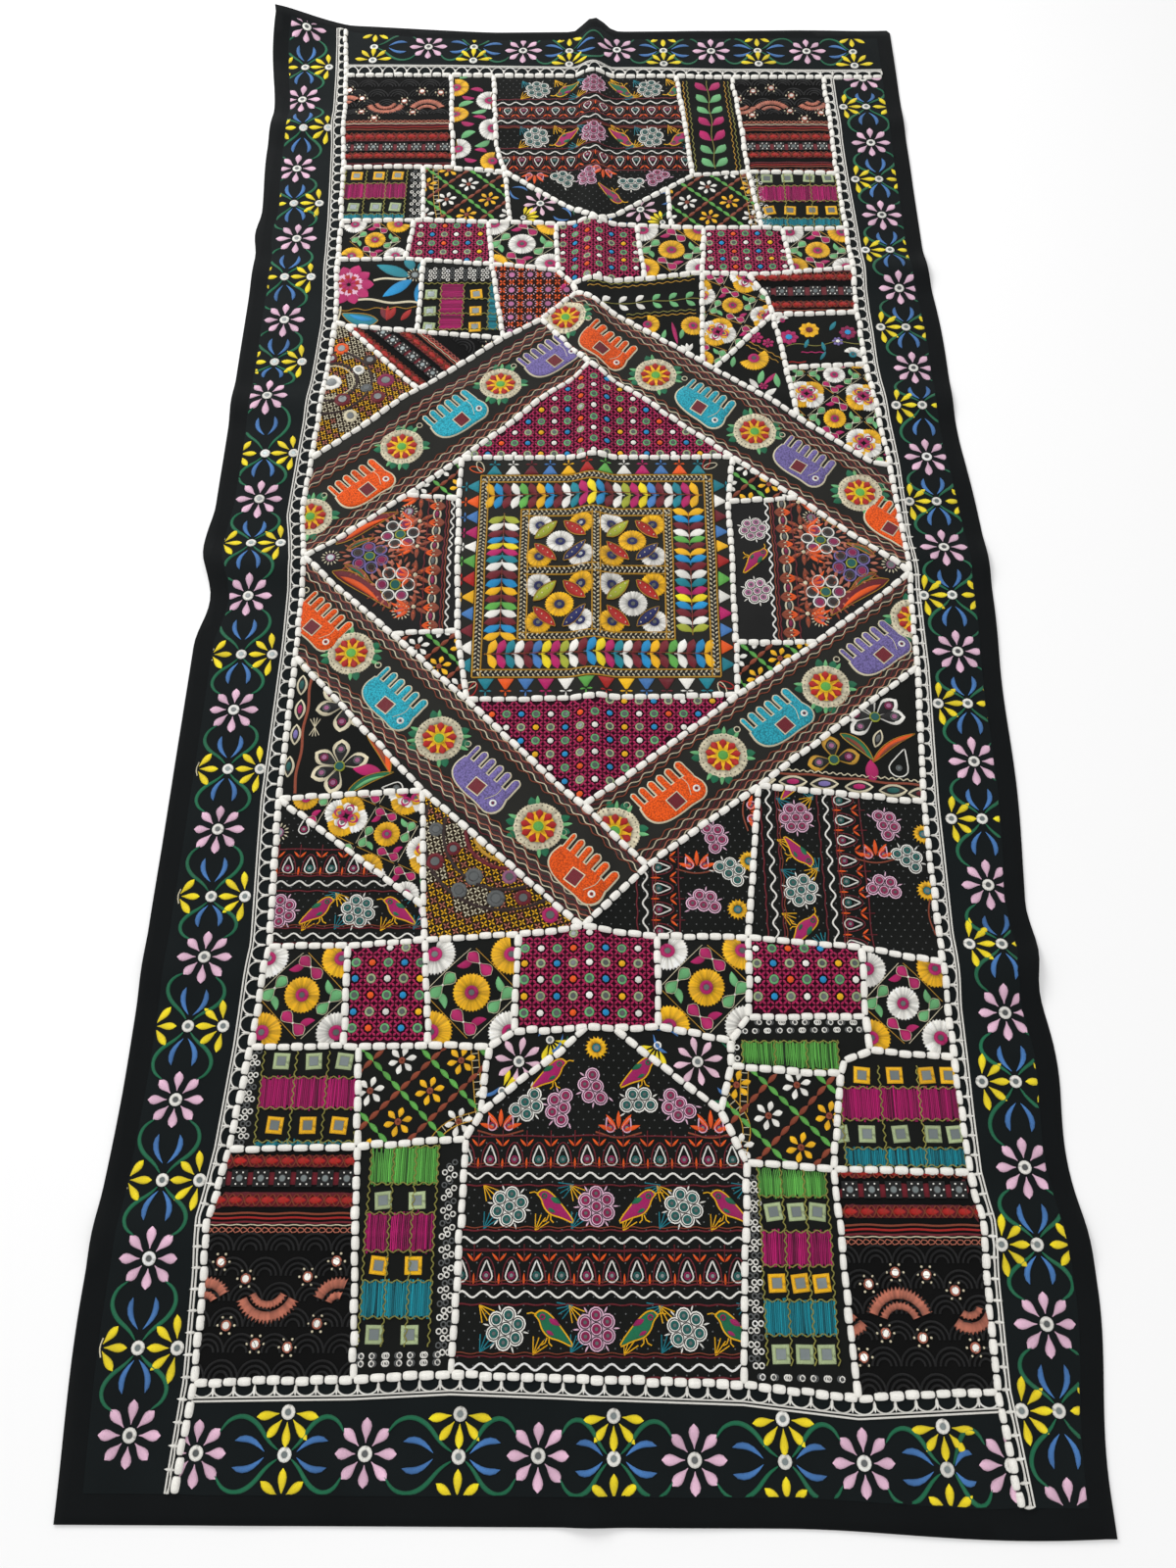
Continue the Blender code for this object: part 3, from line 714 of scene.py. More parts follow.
@dataclass
class Stitchwork:
    """All the stitched shapes of one piece, gathered in the plan before they are made a mesh."""

    parts: list = field(default_factory=list)
    count: int = 0

    def add(self, form: Form, colour: np.ndarray, slot: Slot) -> None:
        """Takes in one shape that is already in its place.

        Args:
            form: the shape.
            colour: its colour.
            slot: its finish.
        """
        faces = np.where(form.faces >= 0, form.faces + self.count, -1)
        tint = np.broadcast_to(colour, (len(form.points), 3))
        self.parts.append((form.points, faces, form.grain, tint, np.full(len(faces), slot.value)))
        self.count += len(form.points)

    def joined(self) -> tuple:
        """All points, faces, grains, colours and slots, each as one array."""
        return tuple(np.concatenate([part[k] for part in self.parts]) for k in range(5))


@dataclass(frozen=True)
class Pen:
    """A place and direction in the plan from which shapes are stitched into one piece."""

    work: Stitchwork
    at: tuple = (0.0, 0.0)
    turn: float = 0.0
    flip: bool = False

    def moved(self, x: float, y: float, turn: float = 0.0, flip: bool = False) -> "Pen":
        """A pen at a place seen from this one, turned by degrees and perhaps mirrored across its x axis.

        Args:
            x: where it goes.
            y: where it goes.
            turn: how far it is turned, in degrees.
            flip: whether it is mirrored.

        Returns:
            The pen.
        """
        place = self.to_plan(np.array([[x, y]]))[0]
        swing = -math.radians(turn) if self.flip else math.radians(turn)
        return Pen(self.work, tuple(place), self.turn + swing, self.flip != flip)

    def to_plan(self, points: np.ndarray) -> np.ndarray:
        """Points seen from this pen, as points of the plan.

        Args:
            points: points seen from the pen.

        Returns:
            The points of the plan.
        """
        x = points[:, 0]
        y = -points[:, 1] if self.flip else points[:, 1]
        c, s = math.cos(self.turn), math.sin(self.turn)
        return np.column_stack([self.at[0] + c * x - s * y, self.at[1] + s * x + c * y])

    def sew(self, form: Form, thread: Thread, x: float = 0, y: float = 0, turn: float = 0,
            lift: float = 0.0, slot: Slot = Slot.THREAD, vary: float = 0.07) -> None:
        """Stitches a shape at a place seen from this pen, its colour a little off, as thread dyes are, and
        times the shape's shade factor, which is painted shade.

        Args:
            form: the shape.
            thread: its colour.
            x: where it goes.
            y: where it goes.
            turn: how far it is turned, in degrees.
            lift: how far it is raised, in mm.
            slot: its finish.
            vary: how far its colour may stray.
        """
        c, s = math.cos(math.radians(turn)), math.sin(math.radians(turn))
        px, py = form.points[:, 0], form.points[:, 1]
        plan = self.to_plan(np.column_stack([x + c * px - s * py, y + s * px + c * py]))
        faces = form.faces
        if self.flip:
            quads = faces[:, 3] >= 0
            faces = np.where(quads[:, None], faces[:, ::-1], faces[:, [2, 1, 0, 3]])
        points = np.column_stack([plan, form.points[:, 2] + lift])
        # The dye's random change, times the shape's painted shade.
        tint = thread.linear * RNG.normal(1.0, vary) * np.broadcast_to(form.shade, len(points))[:, None]
        self.work.add(Form(points, faces, form.grain + RNG.random(2) * 40), np.clip(tint, 0, 1), slot)

    def line(self, path: list | np.ndarray, thread: Thread, width: float = 1.6, height: float = 0.8,
             closed: bool = False, taper: float = 0.0, lift: float = 0.0) -> None:
        """Stitches a line along a path."""
        self.sew(ribbon(np.asarray(path, float), width, height, closed, taper), thread, lift=lift)

    def curve(self, path: list, thread: Thread, width: float = 1.6, step: float = 3.0,
              **more: float | bool) -> None:
        """Stitches a line along a path with its corners rounded."""
        self.line(smooth(np.asarray(path, float), step), thread, width, **more)

    def mirror(self, x: float, y: float, radius: float, thread: Thread, rim: float = 2.2, sides: int = 12,
               glass: Thread = Thread.GLASS) -> None:
        """A round glass mirror held by a ring of stitches."""
        self.sew(ring(radius * 0.92, radius + rim, sides), thread, x, y)
        self.sew(disc(radius, sides, 0.45), glass, x, y, slot=Slot.GLASS)

    def bead(self, x: float, y: float, radius: float, thread: Thread, height: float = 0.9) -> None:
        """A small knot of thread."""
        self.sew(disc(radius, 7, height, dome=height + 0.2), thread, x, y)

    def fan(self, x: float, y: float, thread: Thread, angles: list | np.ndarray, inner: float, outer: float,
            width: float, belly: float = 1.5, rows: int = 7) -> None:
        """Petals round a point, from an inner to an outer radius, at the given angles in degrees.

        Args:
            x: where it goes.
            y: where it goes.
            thread: its colour.
            angles: where they point, in degrees.
            inner: its inner radius.
            outer: its outer radius.
            width: its width.
            belly: where it is widest.
            rows: how many rows of points it has.
        """
        for angle in angles:
            c, s = math.cos(math.radians(angle)), math.sin(math.radians(angle))
            form = petal((outer - inner) * RNG.normal(1, 0.04), width, belly, rows=rows)
            self.sew(form, thread, x + c * inner, y + s * inner, angle)


@dataclass(frozen=True)
class Finish:
    """A thread or cloth finish: the size of its grain in mm, how deep it is, and how it takes light."""

    name: str
    pitch: float = 0.8
    depth: float = 0.25
    roughness: float = 0.55
    sheen: float = 0.2
    shine: float = 0.35
    colour: tuple | None = None

    def start(self) -> tuple:
        """A new material, its node tree and its shader, roughness and sheen set on the shader itself.

        Returns:
            The material, its node tree and its shader.
        """
        material = bpy.data.materials.new(self.name)
        material.use_nodes = True
        tree = material.node_tree
        shader = tree.nodes["Principled BSDF"]
        shader.inputs["Roughness"].default_value = self.roughness
        shader.inputs["Sheen Weight"].default_value = self.sheen
        shader.inputs["Sheen Roughness"].default_value = 0.5
        shader.inputs["Specular IOR Level"].default_value = self.shine
        return material, tree, shader

    @staticmethod
    def shade_threads(tree: bpy.types.NodeTree, shader: bpy.types.Node, value: bpy.types.NodeSocket,
                      first: float, last: float, top: float = 1.0) -> None:
        """Colours a shader by the Thread attribute, times a factor that goes with a value.

        Args:
            tree: the node tree.
            shader: the shader.
            value: the output that gives the value.
            first: the factor where the value is 0.
            last: the factor where the value is top.
            top: the value that the factor ends at.
        """
        thread = node(tree, "ShaderNodeAttribute", attribute_name="Thread")
        shade = node(tree, "ShaderNodeMapRange", **{"From Max": top, "To Min": first, "To Max": last})
        tint = node(tree, "ShaderNodeVectorMath", operation="SCALE")
        tree.links.new(value, shade.inputs["Value"])
        tree.links.new(thread.outputs["Color"], tint.inputs[0])
        tree.links.new(shade.outputs["Result"], tint.inputs["Scale"])
        tree.links.new(tint.outputs["Vector"], shader.inputs["Base Color"])

    def raise_grain(self, tree: bpy.types.NodeTree, shader: bpy.types.Node, height: bpy.types.NodeSocket,
                    strength: float, invert: bool = False) -> None:
        """Gives a shader the finish's relief, a bump as deep as the finish says.

        Args:
            tree: the node tree.
            shader: the shader.
            height: the output that gives the height.
            strength: how strongly it shows.
            invert: whether a low value stands high.
        """
        bump = node(tree, "ShaderNodeBump", Distance=self.depth * MM, Strength=strength, invert=invert)
        tree.links.new(height, bump.inputs["Height"])
        tree.links.new(bump.outputs["Normal"], shader.inputs["Normal"])

    def stitched(self) -> bpy.types.Material:
        """Parallel threads: bands across the stitch map, wavering, over a colour from the Thread attribute,
        with painted shade in the grooves between them.

        Returns:
            The material.
        """
        material, tree, shader = self.start()
        grain = node(tree, "ShaderNodeUVMap", uv_map="Stitch")
        bands = node(tree, "ShaderNodeTexWave", Scale=TURN / self.pitch / 20, Distortion=3.0, Detail=2.0)
        bands.inputs["Detail Scale"].default_value = 1.6
        speck = node(tree, "ShaderNodeTexNoise", Scale=0.55, Detail=3.0)
        mixed = node(tree, "ShaderNodeMath", operation="MULTIPLY_ADD")
        mixed.inputs[1].default_value = 0.45
        link = tree.links.new
        link(grain.outputs["UV"], bands.inputs["Vector"])
        link(grain.outputs["UV"], speck.inputs["Vector"])
        link(speck.outputs["Fac"], mixed.inputs[0])
        link(bands.outputs["Fac"], mixed.inputs[2])
        # The bump's own pattern sets the colour: painted shade in the grooves, a little painted highlight on
        # the ridges.
        self.shade_threads(tree, shader, mixed.outputs[0], 0.62, 1.12)
        self.raise_grain(tree, shader, mixed.outputs[0], 0.9)
        return material

    def curled(self) -> bpy.types.Material:
        """Looped, curly thread: small cells for a bump, and painted shade that makes each loop lighter on top
        and darker towards the hollows between loops.

        Returns:
            The material.
        """
        material, tree, shader = self.start()
        place = node(tree, "ShaderNodeTexCoord")
        cells = node(tree, "ShaderNodeTexVoronoi", Scale=1 / (self.pitch * MM))
        tree.links.new(place.outputs["Object"], cells.inputs["Vector"])
        # Painted shade: the colour is lightest at each cell's middle, which stands highest, and darkest
        # towards its edge.
        self.shade_threads(tree, shader, cells.outputs["Distance"], 1.2, 0.45, top=0.8)
        self.raise_grain(tree, shader, cells.outputs["Distance"], 1.0, invert=True)
        return material

    def glass(self) -> bpy.types.Material:
        """Old mirror glass: metal in the Thread colour with dull blotches and a slightly wavy face.

        Returns:
            The material.
        """
        material, tree, shader = self.start()
        shader.inputs["Metallic"].default_value = 0.85
        place = node(tree, "ShaderNodeTexCoord")
        thread = node(tree, "ShaderNodeAttribute", attribute_name="Thread")
        blotch = node(tree, "ShaderNodeTexNoise", Scale=160.0, Detail=3.0)
        rough = node(tree, "ShaderNodeMapRange", **{"To Min": 0.22, "To Max": 0.6})
        link = tree.links.new
        link(place.outputs["Object"], blotch.inputs["Vector"])
        link(blotch.outputs["Fac"], rough.inputs["Value"])
        link(rough.outputs["Result"], shader.inputs["Roughness"])
        link(thread.outputs["Color"], shader.inputs["Base Color"])
        self.raise_grain(tree, shader, blotch.outputs["Fac"], 0.5)
        return material

    def woven(self) -> bpy.types.Material:
        """Plain weave on Object coordinates: crossed bands for a bump, and a slow change of shade.

        Returns:
            The material.
        """
        material, tree, shader = self.start()
        place = node(tree, "ShaderNodeTexCoord")
        scale = TURN / (self.pitch * MM) / 20
        warp = node(tree, "ShaderNodeTexWave", Scale=scale, Distortion=0.8, Detail=1.0)
        weft = node(tree, "ShaderNodeTexWave", Scale=scale, Distortion=0.8, Detail=1.0)
        weft.bands_direction = "Y"
        cross = node(tree, "ShaderNodeMath", operation="ADD")
        slow = node(tree, "ShaderNodeTexNoise", Scale=14.0, Detail=4.0)
        ramp = node(tree, "ShaderNodeMix", data_type="RGBA")
        base = to_linear(self.colour)
        ramp.inputs[6].default_value = (*(base * 0.75), 1)
        ramp.inputs[7].default_value = (*(base * 1.35), 1)
        link = tree.links.new
        for texture in (warp, weft, slow):
            link(place.outputs["Object"], texture.inputs["Vector"])
        link(warp.outputs["Fac"], cross.inputs[0])
        link(weft.outputs["Fac"], cross.inputs[1])
        link(slow.outputs["Fac"], ramp.inputs[0])
        link(ramp.outputs[2], shader.inputs["Base Color"])
        self.raise_grain(tree, shader, cross.outputs[0], 0.7)
        return material


def node(tree: bpy.types.NodeTree, kind: str, **values: object) -> bpy.types.Node:
    """Adds a shader node and sets its properties and inputs by name.

    Args:
        tree: the node tree.
        kind: the node's type.
        values: property or input values.

    Returns:
        The node.
    """
    made = tree.nodes.new(kind)
    for key, value in values.items():
        if key in made.inputs:
            made.inputs[key].default_value = value
        else:
            setattr(made, key, value)
    return made


@dataclass
class Wardrobe:
    """The finishes that pieces share, each made a material once."""

    made: dict = field(default_factory=dict)

    def cloth(self, name: str, colour: tuple, roughness: float = 0.85,
              sheen: float = 0.02) -> bpy.types.Material:
        """A woven cloth of one colour.

        Args:
            name: its name.
            colour: its colour.
            roughness: how rough it is.
            sheen: how much sheen it has.

        Returns:
            The material.
        """
        if name not in self.made:
            finish = Finish(name, 0.9, 0.12, roughness, sheen, 0.08, colour)
            self.made[name] = finish.woven()
        return self.made[name]

    def stitches(self) -> list:
        """The three materials of a stitched piece, in the order of Slot.

        Returns:
            The materials.
        """
        if "satin" not in self.made:
            self.made["satin"] = Finish("satin_thread", 0.85, 0.35, 0.45, 0.05, 0.3).stitched()
            self.made["glass"] = Finish("mirror_glass", depth=0.2, sheen=0.0).glass()
            self.made["curled"] = Finish("curled_thread", 2.0, 0.9, 0.8, 0.1, 0.2).curled()
        return [self.made[key] for key in ("satin", "glass", "curled")]

    def cotton(self) -> bpy.types.Material:
        """The soft cotton of the padded cord.

        Returns:
            The material.
        """
        if "cotton" not in self.made:
            self.made["cotton"] = Finish("cotton_cord", 1.1, 0.25, 0.8, 0.2, 0.25).stitched()
        return self.made["cotton"]


WARDROBE = Wardrobe()


def make_piece(name: str, plan: np.ndarray, z: np.ndarray, faces: list, materials: list) -> bpy.types.Object:
    """Makes a mesh object at the origin from plan points and heights in mm, with a map seen from above.

    Args:
        name: the piece's name.
        plan: x and y of each point.
        z: the height of each point above the surface.
        faces: the corners of each face.
        materials: the piece's materials.

    Returns:
        The object, riding on the hanging's body.
    """
    mesh = bpy.data.meshes.new(name)
    points = np.column_stack([plan - MIDDLE, z]) * MM
    mesh.from_pydata(points, [], faces)
    for material in materials:
        mesh.materials.append(material)
    corners = np.empty(len(mesh.loops), dtype=np.int32)
    mesh.loops.foreach_get("vertex_index", corners)
    low, high = plan.min(axis=0), plan.max(axis=0)
    flat = (plan - low) / max(1e-6, (high - low).max()) * 0.98 + 0.01
    set_map(mesh, "OFBake", flat[corners])
    piece = bpy.data.objects.new(name, mesh)
    bpy.context.scene.collection.objects.link(piece)
    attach(piece, BODY)
    return piece


def set_map(mesh: bpy.types.Mesh, name: str, corners: np.ndarray) -> None:
    """Adds a UV map with one row for each face corner."""
    layer = mesh.uv_layers.new(name=name)
    layer.data.foreach_set("uv", np.ascontiguousarray(corners, dtype=np.float32).ravel())


def raised(plan: np.ndarray, ring_points: np.ndarray, puff: float = PUFF) -> np.ndarray:
    """The face of a sewn-down cloth: the folds, plus a soft swell that rises away from its seams.

    Args:
        plan: points as x and y, in mm.
        ring_points: the cloth's ring.
        puff: how far the swell rises, in mm.

    Returns:
        One height for each point, in mm.
    """
    apart, _, _ = seam_distance(plan, ring_points)
    swell = puff * (1 - np.exp(-apart / SWELL_REACH))
    pucker = PUCKER * np.sin(plan[:, 0] / 5.3) * np.sin(plan[:, 1] / 6.1) * np.exp(-apart / PUCKER_REACH)
    return CLOTH.height(plan) + SEAM_LEVEL + swell + pucker


def sew_piece(name: str, work: Stitchwork, edge: np.ndarray,
              clip: float = 2.0) -> bpy.types.Object:
    """Makes all the stitching of one cloth a mesh that ends at the cloth's seams and follows its face.

    Points past the clip line are drawn back onto it, and faces wholly past it are left out.

    Args:
        name: the piece's name.
        work: the shapes.
        edge: the cloth's ring.
        clip: how far inside the ring the stitching ends, in mm.

    Returns:
        The object.
    """
    points, faces, grain, tint, slots = work.joined()
    line = inset(edge, clip)
    _, near, inside = seam_distance(points[:, :2], line)
    corner_in = np.where(faces >= 0, inside[np.maximum(faces, 0)], False)
    keep = corner_in.any(axis=1)
    plan = np.where(inside[:, None], points[:, :2], near)
    z = raised(plan, edge) + np.where(inside, points[:, 2], -0.3)
    faces, slots = faces[keep], slots[keep]
    used = np.zeros(len(plan), bool)
    used[faces[faces >= 0]] = True
    number = np.cumsum(used) - 1
    numbered = np.where(faces >= 0, number[faces], -1).tolist()
    listed = [tuple(f[:3]) if f[3] < 0 else tuple(f) for f in numbered]
    piece = make_piece(name, plan[used], z[used], listed, WARDROBE.stitches())
    mesh = piece.data
    corners = np.empty(len(mesh.loops), dtype=np.int32)
    mesh.loops.foreach_get("vertex_index", corners)
    set_map(mesh, "Stitch", grain[used][corners])
    set_threads(mesh, tint[used])
    mesh.polygons.foreach_set("material_index", slots.astype(np.int32))
    mesh.shade_smooth()
    return piece


def set_threads(mesh: bpy.types.Mesh, tint: np.ndarray) -> None:
    """Writes one linear colour for each point as the Thread attribute.

    Args:
        mesh: the mesh.
        tint: one linear colour for each point.
    """
    colour = mesh.color_attributes.new("Thread", "FLOAT_COLOR", "POINT")
    full = np.column_stack([tint, np.ones(len(tint))]).astype(np.float32)
    colour.data.foreach_set("color", full.ravel())


def lay_sheet(name: str, edge: np.ndarray, step: float, material: bpy.types.Material,
              heights: object, thickness: float = 0.0) -> bpy.types.Object:
    """Lays a sheet of cloth over a ring: points a step apart joined in triangles, lifted by heights.

    Args:
        name: the piece's name.
        edge: the cloth's ring.
        step: the distance between points, in mm.
        material: its finish.
        heights: a function of plan points that gives their heights.
        thickness: how thick a cloth with two faces is, in mm.

    Returns:
        The object.
    """
    closed = np.vstack([edge, edge[:1]])
    rim = resampled_corners(closed, step)
    low, high = edge.min(axis=0), edge.max(axis=0)
    x, y = np.meshgrid(np.arange(low[0] + step / 2, high[0], step),
                       np.arange(low[1] + step / 2, high[1], step))
    inner = np.column_stack([x.ravel(), y.ravel()])
    apart, _, inside = seam_distance(inner, edge)
    inner = inner[inside & (apart > step * 0.45)]
    plan = np.vstack([rim, inner])
    found = delaunay_2d_cdt([Vector(p) for p in plan], [], [list(range(len(rim)))], 1, 1e-4)
    plan = np.array([tuple(p) for p in found[0]])
    piece = make_piece(name, plan, heights(plan), found[2], [material])
    piece.data.shade_smooth()
    if thickness:
        solid = piece.modifiers.new("thickness", "SOLIDIFY")
        solid.thickness = thickness * MM
        solid.offset = -1
    cut_size(edge)
    return piece


def cut_size(edge: np.ndarray) -> tuple:
    """The width and length in metres of the smallest box, at any turn in steps of 3 degrees, round a ring.

    Args:
        edge: the cloth's ring.

    Returns:
        The short side and the long side, in metres.
    """
    angles = np.radians(np.arange(0, 90, 3))
    along = edge @ np.vstack([np.cos(angles), np.sin(angles)])
    across = edge @ np.vstack([-np.sin(angles), np.cos(angles)])
    sizes = np.column_stack([np.ptp(along, axis=0), np.ptp(across, axis=0)])
    best = sizes[np.prod(sizes, axis=1).argmin()]
    return float(best.min() * MM), float(best.max() * MM)


def resampled_corners(closed: np.ndarray, step: float) -> np.ndarray:
    """Points about a step apart along a closed path that keep every corner of it."""
    runs = [resampled(closed[k:k + 2], step)[:-1] for k in range(len(closed) - 1)]
    return np.vstack(runs)


@dataclass(frozen=True)
class BackingCloth:
    """The black cloth under everything, whose hem shows as a plain edge."""

    step: float = 12.0
    hem_fold: float = 13.0

    def heights(self, plan: np.ndarray) -> np.ndarray:
        """The folds, plus the second layer of the turned hem, which falls away over a few millimetres."""
        apart, _, _ = seam_distance(plan, CLOTH.outline(60.0))
        return CLOTH.height(plan) + BACKING_TOP + 0.5 / (1 + np.exp((apart - self.hem_fold) / 1.5))

    def build(self) -> bpy.types.Object:
        """Lays the backing cloth.

        Returns:
            The object.
        """
        cloth = WARDROBE.cloth("black_cotton", (0.045, 0.055, 0.06), 0.8)
        piece = lay_sheet("backing_sheet", CLOTH.outline(self.step), self.step, cloth,
                          self.heights, BACKING_TOP * 0.8)
        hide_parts("backing_cloth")
        return piece


@dataclass(frozen=True)
class SeamCords:
    """The white padded cord over every seam, couched down into pillows by dark thread."""

    pitch: float = PILLOW_PITCH
    width: float = CORD_WIDTH
    height: float = CORD_HEIGHT
    arc_steps: int = 7

    def runs(self) -> list:
        """Every seam once, as its two ends, and the four tails across the border.

        Returns:
            The names of each run's two ends.
        """
        seen = {}
        for names in PATCHES.values():
            listed = names.split()
            for a, b in zip(listed, listed[1:] + listed[:1], strict=True):
                seen[tuple(sorted((a, b)))] = (a, b)
        return list(seen.values()) + list(CORD_TAILS)

    def run(self, start: np.ndarray, end: np.ndarray) -> tuple:
        """One stretch of cord: a half round whose size follows a pillow profile between its ties.

        Args:
            start: its first point.
            end: its last point.

        Returns:
            Plan points, heights, faces, grains and colours.
        """
        length = math.dist(start, end)
        count = max(1, round(length / (self.pitch * RNG.normal(1, 0.05))))
        inside = np.array([0.0, 0.04, 0.065, 0.14, 0.3, 0.5, 0.7, 0.86, 0.935, 0.96])
        girth = np.array([0.42, 0.44, 0.70, 0.94, 1.04, 1.07, 1.04, 0.94, 0.70, 0.44])
        share = np.concatenate([(np.arange(count)[:, None] + inside).ravel() / count, [1.0]])
        size = np.append(np.tile(girth, count), girth[0])
        fat = np.append(np.repeat(RNG.normal(1, 0.07, count), len(inside)), 1.0)
        shift = np.append(np.repeat(RNG.normal(0, 0.5, count), len(inside)), 0.0)
        ahead = unit((end - start)[None])[0]
        across = np.array([-ahead[1], ahead[0]])
        arc = np.linspace(-0.25, math.pi + 0.25, self.arc_steps)
        half = size * fat * self.width / 2
        flat = np.cos(arc)[None] * half[:, None] + shift[:, None]
        plan = start + (share * length)[:, None, None] * ahead + flat[..., None] * across
        rise = np.sin(arc)[None] * (self.height * size * fat)[:, None]
        grain = np.dstack([arc[None] * 4 + 0 * rise, (share * length)[:, None] + 0 * rise])
        tint = np.broadcast_to(Thread.WHITE.linear, (len(share), self.arc_steps, 3)).copy()
        tied = np.append(np.tile([True, True] + [False] * 7 + [True], count), True)
        tint[tied] = Thread.BLACK.linear
        tint[~tied] *= RNG.normal(1, 0.03, ((~tied).sum(), 1, 1)).clip(0.85, 1.06)
        return plan.reshape(-1, 2), rise.ravel(), grid_faces(len(share), self.arc_steps), \
            grain.reshape(-1, 2), tint.reshape(-1, 3)

    def build(self) -> bpy.types.Object:
        """Makes all the cords one piece.

        Returns:
            The object.
        """
        parts = [self.run(np.array(JUNCTIONS[a], float), np.array(JUNCTIONS[b], float))
                 for a, b in self.runs()]
        offsets = np.cumsum([0] + [len(part[0]) for part in parts[:-1]])
        plan, rise = np.vstack([p[0] for p in parts]), np.concatenate([p[1] for p in parts])
        faces = np.vstack([p[2] + o for p, o in zip(parts, offsets, strict=True)])
        z = CLOTH.height(plan) + SEAM_LEVEL + rise
        piece = make_piece("couched_cords", plan, z, faces[:, ::-1].tolist(), [WARDROBE.cotton()])
        corners = np.empty(len(piece.data.loops), dtype=np.int32)
        piece.data.loops.foreach_get("vertex_index", corners)
        set_map(piece.data, "Stitch", np.vstack([p[3] for p in parts])[corners])
        set_threads(piece.data, np.vstack([p[4] for p in parts]))
        piece.data.shade_smooth()
        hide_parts("seam_cords")
        return piece


@dataclass(frozen=True)
class BorderStrip:
    """One black border strip with its row of daisies, vines and yellow fans, drawn from its outer edge.

    Flowers and stations are places along the strip's middle line. Inward is the direction, in degrees,
    from the outer edge to the field.
    """

    side: str
    inward: float
    daisies: tuple
    stations: tuple
    inner_reach: float
    edge: np.ndarray
    daisy_radius: float = 31.0

    def daisy(self, pen: Pen) -> None:
        """Eight pink petals round a white ring with a small mirror.

        Args:
            pen: where to stitch.
        """
        pen.fan(0, 0, Thread.PINK, np.arange(8) * 45, 9.5, self.daisy_radius, 10.5, belly=1.7)
        pen.sew(ring(3.0, 7.2, 14, 1.1), Thread.WHITE)
        pen.sew(disc(3.1, 10, 0.5), Thread.GREY, slot=Slot.GLASS)

    def leaves(self, pen: Pen, gap: float) -> None:
        """A pair of blue commas between a daisy, at the pen, and the station that lies gap along +x.

        Args:
            pen: where to stitch.
            gap: how far the other one is.
        """
        length = max(18.0, min(30.0, gap - 48.0))
        for side in (-1, 1):
            form = petal(length, 6.2, belly=0.75, bend=side * 3.2, hook=-side * 9.0)
            pen.sew(form, Thread.BLUE, 37, side * 11.5, 0)

    def vines(self, pen: Pen, gap: float) -> None:
        """Two green vines from a station at the pen that swing out and hook in beside the daisy at gap.

        Args:
            pen: where to stitch.
            gap: how far the other one is.
        """
        for side in (-1, 1):
            reach = gap - 26
            path = [(7, side * 4), (reach * 0.28, side * 11), (reach * 0.48, side * 27),
                    (reach * 0.72, side * 34), (reach * 0.95, side * 30), (reach * 1.08, side * 19)]
            pen.line(smooth(path, 4.0), Thread.VINE, 4.6, 0.9, taper=0.75)

    def station(self, pen: Pen) -> None:
        """Three petals that meet at the outer edge, a middle ring, and an inner ring with five petals.

        Args:
            pen: where to stitch.
        """
        pen.fan(-39, 0, Thread.YELLOW, [-52, 0, 52], 4, 27, 8.6, belly=1.5)
        pen.curve([(-37, -9), (-40, 0), (-37, 9)], Thread.CREAM, 1.6)
        pen.mirror(0, 0, 3.0, Thread.WHITE, 4.0)
        pen.fan(self.inner_reach, 0, Thread.YELLOW, [98, 140, 180, 220, 262], 8.5, 31, 8.4, belly=1.5)
        pen.mirror(self.inner_reach, 0, 3.0, Thread.WHITE, 4.0)

    def draw(self, work: Stitchwork) -> None:
        """Stitches every station and daisy, with the vines and leaves between neighbours.

        Args:
            work: what takes the shapes in.
        """
        across = 1 if self.side in ("left", "right") else 0
        stops = sorted([(p[across], "daisy", p) for p in self.daisies]
                       + [(p[across], "station", p) for p in self.stations])
        for _, kind, place in stops:
            pen = Pen(work, place, math.radians(self.inward))
            (self.daisy if kind == "daisy" else self.station)(pen)
        for (_, kind, here), (_, other, there) in zip(stops, stops[1:], strict=False):
            if kind == other:
                continue
            first, last = (here, there) if kind == "daisy" else (there, here)
            gap = math.dist(first, last)
            toward = math.atan2(last[1] - first[1], last[0] - first[0])
            self.leaves(Pen(work, first, toward), gap)
            self.vines(Pen(work, last, toward + math.pi), gap)

    def build(self) -> list:
        """Lays the strip and stitches it.

        Returns:
            The cloth and its stitches.
        """
        cloth = WARDROBE.cloth("border_cotton", (0.055, 0.075, 0.08), 0.75)
        sheet = lay_sheet(f"border_cloth_{self.side}", self.edge, BORDER_STEP, cloth,
                          lambda plan: raised(plan, self.edge, BORDER_PUFF))
        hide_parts(f"border_{self.side}")
        work = Stitchwork()
        self.draw(work)
        return [sheet, sew_piece(f"border_stitches_{self.side}", work, self.edge, 1.0)]


